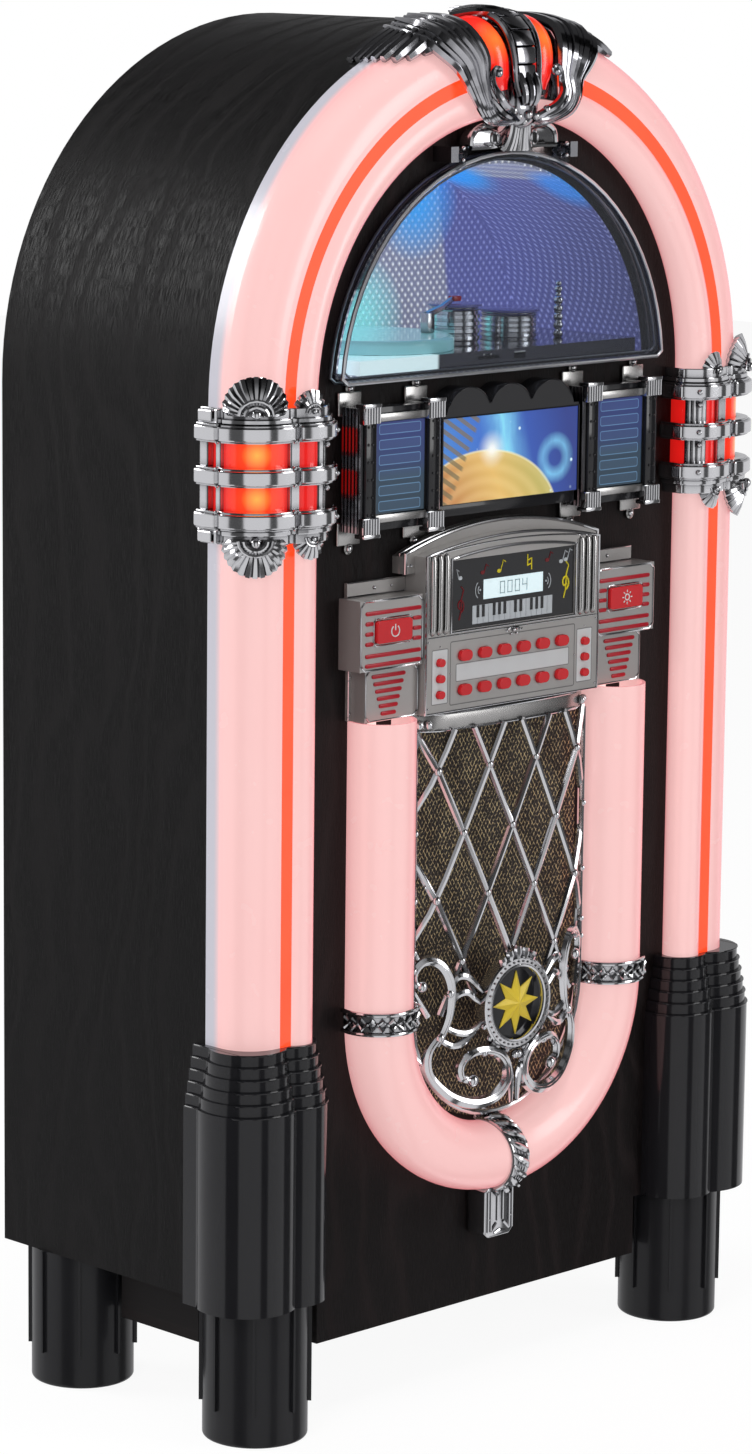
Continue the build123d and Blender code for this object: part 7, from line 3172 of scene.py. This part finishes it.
@dataclass
class DiscDeck(Assembly):
    """What stands on the deck: the drums' rings and caps, the reading arm, the beads and the marks."""

    deck_z: float = 803.0
    drums: tuple[tuple[float, float, float], ...] = ((14.0, 17.6, 27.0), (74.0, 21.0, 20.0))
    drum_v: float = -30.0
    bead_x: float = 104.0
    bead_v: float = -6.0

    def build(self) -> None:
        """Ring and cap the drums, set the arm and its tip, stack the beads and lay the marks."""
        rings, tops = [], []
        for x, radius, tall in self.drums:
            for step in range(5):
                z = self.deck_z + 2.5 + step * (tall - 4.0) / 4
                circle = [
                    at(x + radius * math.sin(a), self.drum_v + radius * math.cos(a), z)
                    for a in fan_angles(28, 0, 347)
                ]
                rings.append(self.bench.tube(circle, 1.25, closed=True, facets=1))
            tops.append(self.disc(x, self.deck_z + tall + 1.6, radius + 3.0, 1.6))
        self.bench.deliver(self.bench.join(rings), "drum_rings", Palette.chrome)
        self.bench.deliver(self.bench.join(tops), "drum_caps", Palette.glowing_violet_glass)
        arm = [
            self.bench.tube(
                [
                    at(x, self.drum_v + v, self.deck_z + z)
                    for x, v, z in ((-34.0, 16.0, 24.0), (-14.0, 12.0, 28.0), (8.0, 3.0, 33.5))
                ],
                3.0, (1.0, 0.9, 0.7), facets=2
            ),
            self.bench.block(
                at(-36.0, self.drum_v + 20.0, self.deck_z + 10.5),
                at(-28.0, self.drum_v + 12.0, self.deck_z + 26.0), 1.0
            )
        ]
        self.bench.deliver(self.bench.join(arm), "reading_arm", Palette.satin_bright, body="disc_lid")
        tip = self.bench.block(
            at(6.0, self.drum_v + 7.0, self.deck_z + 31.5), at(14.0, self.drum_v, self.deck_z + 35.5), 0.8
        )
        self.bench.deliver(tip, "reading_arm_tip", Palette.red, body="disc_lid")
        beads = []
        for step in range(10):
            place = at(self.bead_x, self.bead_v, self.deck_z + 3.0 + step * 4.3)
            beads.append(self.bench.ball(place, 2.6 if step % 2 else 3.4))
        self.bench.deliver(self.bench.join(beads), "bead_column", Palette.chrome)
        marks = [
            self.bench.block(at(x, 33.4, 799.5), at(x + wide, 32.8, 800.6))
            for x, wide in ((-20.0, 9.0), (14.0, 12.0), (-18.0, 5.0))
        ]
        self.bench.deliver(self.bench.join(marks), "deck_marks", Palette.white, slot="card")

    def disc(self, x: float, z: float, radius: float, thick: float) -> Piece:
        """Make a thin round plate on a drum.

        Args:
            x: X of its middle.
            z: Height of its middle.
            radius: Its radius.
            thick: Its thickness.

        Returns:
            The plate.
        """
        return self.bench.round_edges(self.bench.drum(at(x, self.drum_v, z), radius, thick, 40), 0.4)


@dataclass
class Studio(Assembly):
    """Floor, lamps, world and camera."""

    centre: tuple[float, float, float] = (-89.56, -68.21, 519.05)
    distance: float = 3587.2
    azimuth: float = -45.0
    pitch: float = 10.166
    roll: float = 0.63
    lens: float = 117.41
    sensor: float = 36.0
    dark_panels: tuple[tuple[float, float], ...] = ((76.0, 15.0), (2.0, 8.0), (-62.0, 12.0))
    panel_soft: float = 2.0
    panel_shade: float = 0.12
    bands: tuple[tuple[float, float], ...] = (
        (0.0, 1.0), (0.18, 0.64), (0.42, 0.50), (0.58, 0.08), (0.80, 0.04), (1.0, 0.24)
    )
    world_strength: float = 0.68
    floor_white: float = 1.08
    floor_share: float = 0.86

    def build(self) -> None:
        """Set the floor, the lamps, the world and the camera."""
        self.floor()
        self.world()
        self.lamps()
        self.camera()
        bpy.context.scene.view_settings.view_transform = "Standard"

    def floor(self) -> None:
        """Lay a pale floor that keeps the shadow."""
        self.bench.clear()
        bpy.ops.mesh.primitive_plane_add(size=14.0)
        floor = bpy.context.object
        floor.name = "studio_floor"
        graph = Graph("studio_floor")
        graph.set(Base_Color=(0.86, 0.86, 0.86), Roughness=0.9)
        rays = graph.node("ShaderNodeLightPath", {}, {})
        white = graph.node(
            "ShaderNodeEmission", {}, {"Color": (1.0, 1.0, 1.0), "Strength": self.floor_white}
        )
        part = Term(graph, rays.outputs["Is Camera Ray"]) * self.floor_share
        graph.feed(graph.output, "Surface", graph.blend(part, graph.shader, white))
        floor.data.materials.append(graph.material)
        floor.visible_glossy = False

    def world(self) -> None:
        """Make a studio round the object, white where the camera looks."""
        world = bpy.data.worlds.new("studio")
        bpy.context.scene.world = world
        world.use_nodes = True
        nodes = Nodes(world.node_tree)
        coords = nodes.node("ShaderNodeTexCoord", {}, {})
        x, y, z = nodes.axes(coords.outputs["Generated"])
        shade = nodes.ramp(z, [(height, (tone, tone, tone * 1.02)) for height, tone in self.bands])
        bearing = (x * -1.0).maths("ARCTAN2", y * -1.0)
        for middle, half in self.dark_panels:
            edge = nodes.node(
                "ShaderNodeMapRange", {},
                {
                    "Value": (bearing - math.radians(middle)).size(),
                    "From Min": math.radians(half - self.panel_soft),
                    "From Max": math.radians(half + self.panel_soft), "To Min": self.panel_shade
                }
            )
            darker = nodes.node(
                "ShaderNodeVectorMath", {"operation": "SCALE"}, {0: shade, "Scale": edge.outputs[0]}
            )
            shade = darker.outputs[0]
        studio = nodes.node("ShaderNodeBackground", {}, {0: shade, 1: self.world_strength})
        white = nodes.node("ShaderNodeBackground", {}, {0: (1.0, 1.0, 1.0)})
        rays = nodes.node("ShaderNodeLightPath", {}, {})
        nodes.node(
            "ShaderNodeOutputWorld", {}, {0: nodes.blend(rays.outputs["Is Camera Ray"], studio, white)}
        )

    def lamps(self) -> None:
        """Hang soft boxes left, right, above and behind."""
        boxes = (
            ("key", (-2.9, -1.2, 2.3), (0.9, 2.2), 28.0, False),
            ("fill", (1.6, -3.0, 1.6), (1.2, 2.2), 26.0, True),
            ("top", (0.0, -0.6, 3.2), (2.2, 1.2), 26.0, False),
            ("rim", (-1.8, 2.6, 2.2), (1.4, 1.6), 52.0, True),
            ("deck", (-0.02, -0.06, 0.955), (0.16, 0.05), 0.8, True)
        )
        for name, place, (wide, tall), power, mirrored in boxes:
            data = bpy.data.lights.new(name, "AREA")
            data.shape = "RECTANGLE"
            data.size = wide
            data.size_y = tall
            data.energy = power
            lamp = bpy.data.objects.new(name, data)
            bpy.context.scene.collection.objects.link(lamp)
            lamp.visible_glossy = mirrored
            lamp.visible_camera = False
            lamp.location = place
            aim = Vector((0.0, 0.0, 0.55)) - Vector(place)
            lamp.rotation_euler = aim.to_track_quat("-Z", "Y").to_euler()

    def camera(self) -> None:
        """Stand the camera where the photograph was taken from."""
        turn, tilt = math.radians(self.azimuth), math.radians(self.pitch)
        back = Vector((math.sin(turn) * math.cos(tilt), -math.cos(turn) * math.cos(tilt), math.sin(tilt)))
        right = (-back).cross(Vector((0, 0, 1))).normalized()
        up = right.cross(-back)
        lean = math.radians(self.roll)
        right, up = (
            right * math.cos(lean) + up * math.sin(lean), up * math.cos(lean) - right * math.sin(lean)
        )
        data = bpy.data.cameras.new("camera")
        data.lens = self.lens
        data.sensor_width = self.sensor
        data.clip_end = 50.0
        camera = bpy.data.objects.new("camera", data)
        bpy.context.scene.collection.objects.link(camera)
        place = (Vector(self.centre) + back * self.distance) * MM
        camera.matrix_world = Matrix.Translation(place) @ Matrix((right, up, back)).transposed().to_4x4()
        bpy.context.scene.camera = camera


def main() -> None:
    """Build every sub-assembly in order."""
    logging.basicConfig(level=logging.INFO, format="%(name)s %(message)s")
    upper = (Carcass, Collar, Crown, TitleHolder, PicturePanel, ControlPanel)
    lower = (Grille, LoopTrim, PilasterTrim, Window, DiscDeck, Studio)
    for kind in upper + lower:
        LOG.info("building %s", kind.__name__)
        kind().build()
    Assembly.bench.clear()


if __name__ == "__main__":
    main()
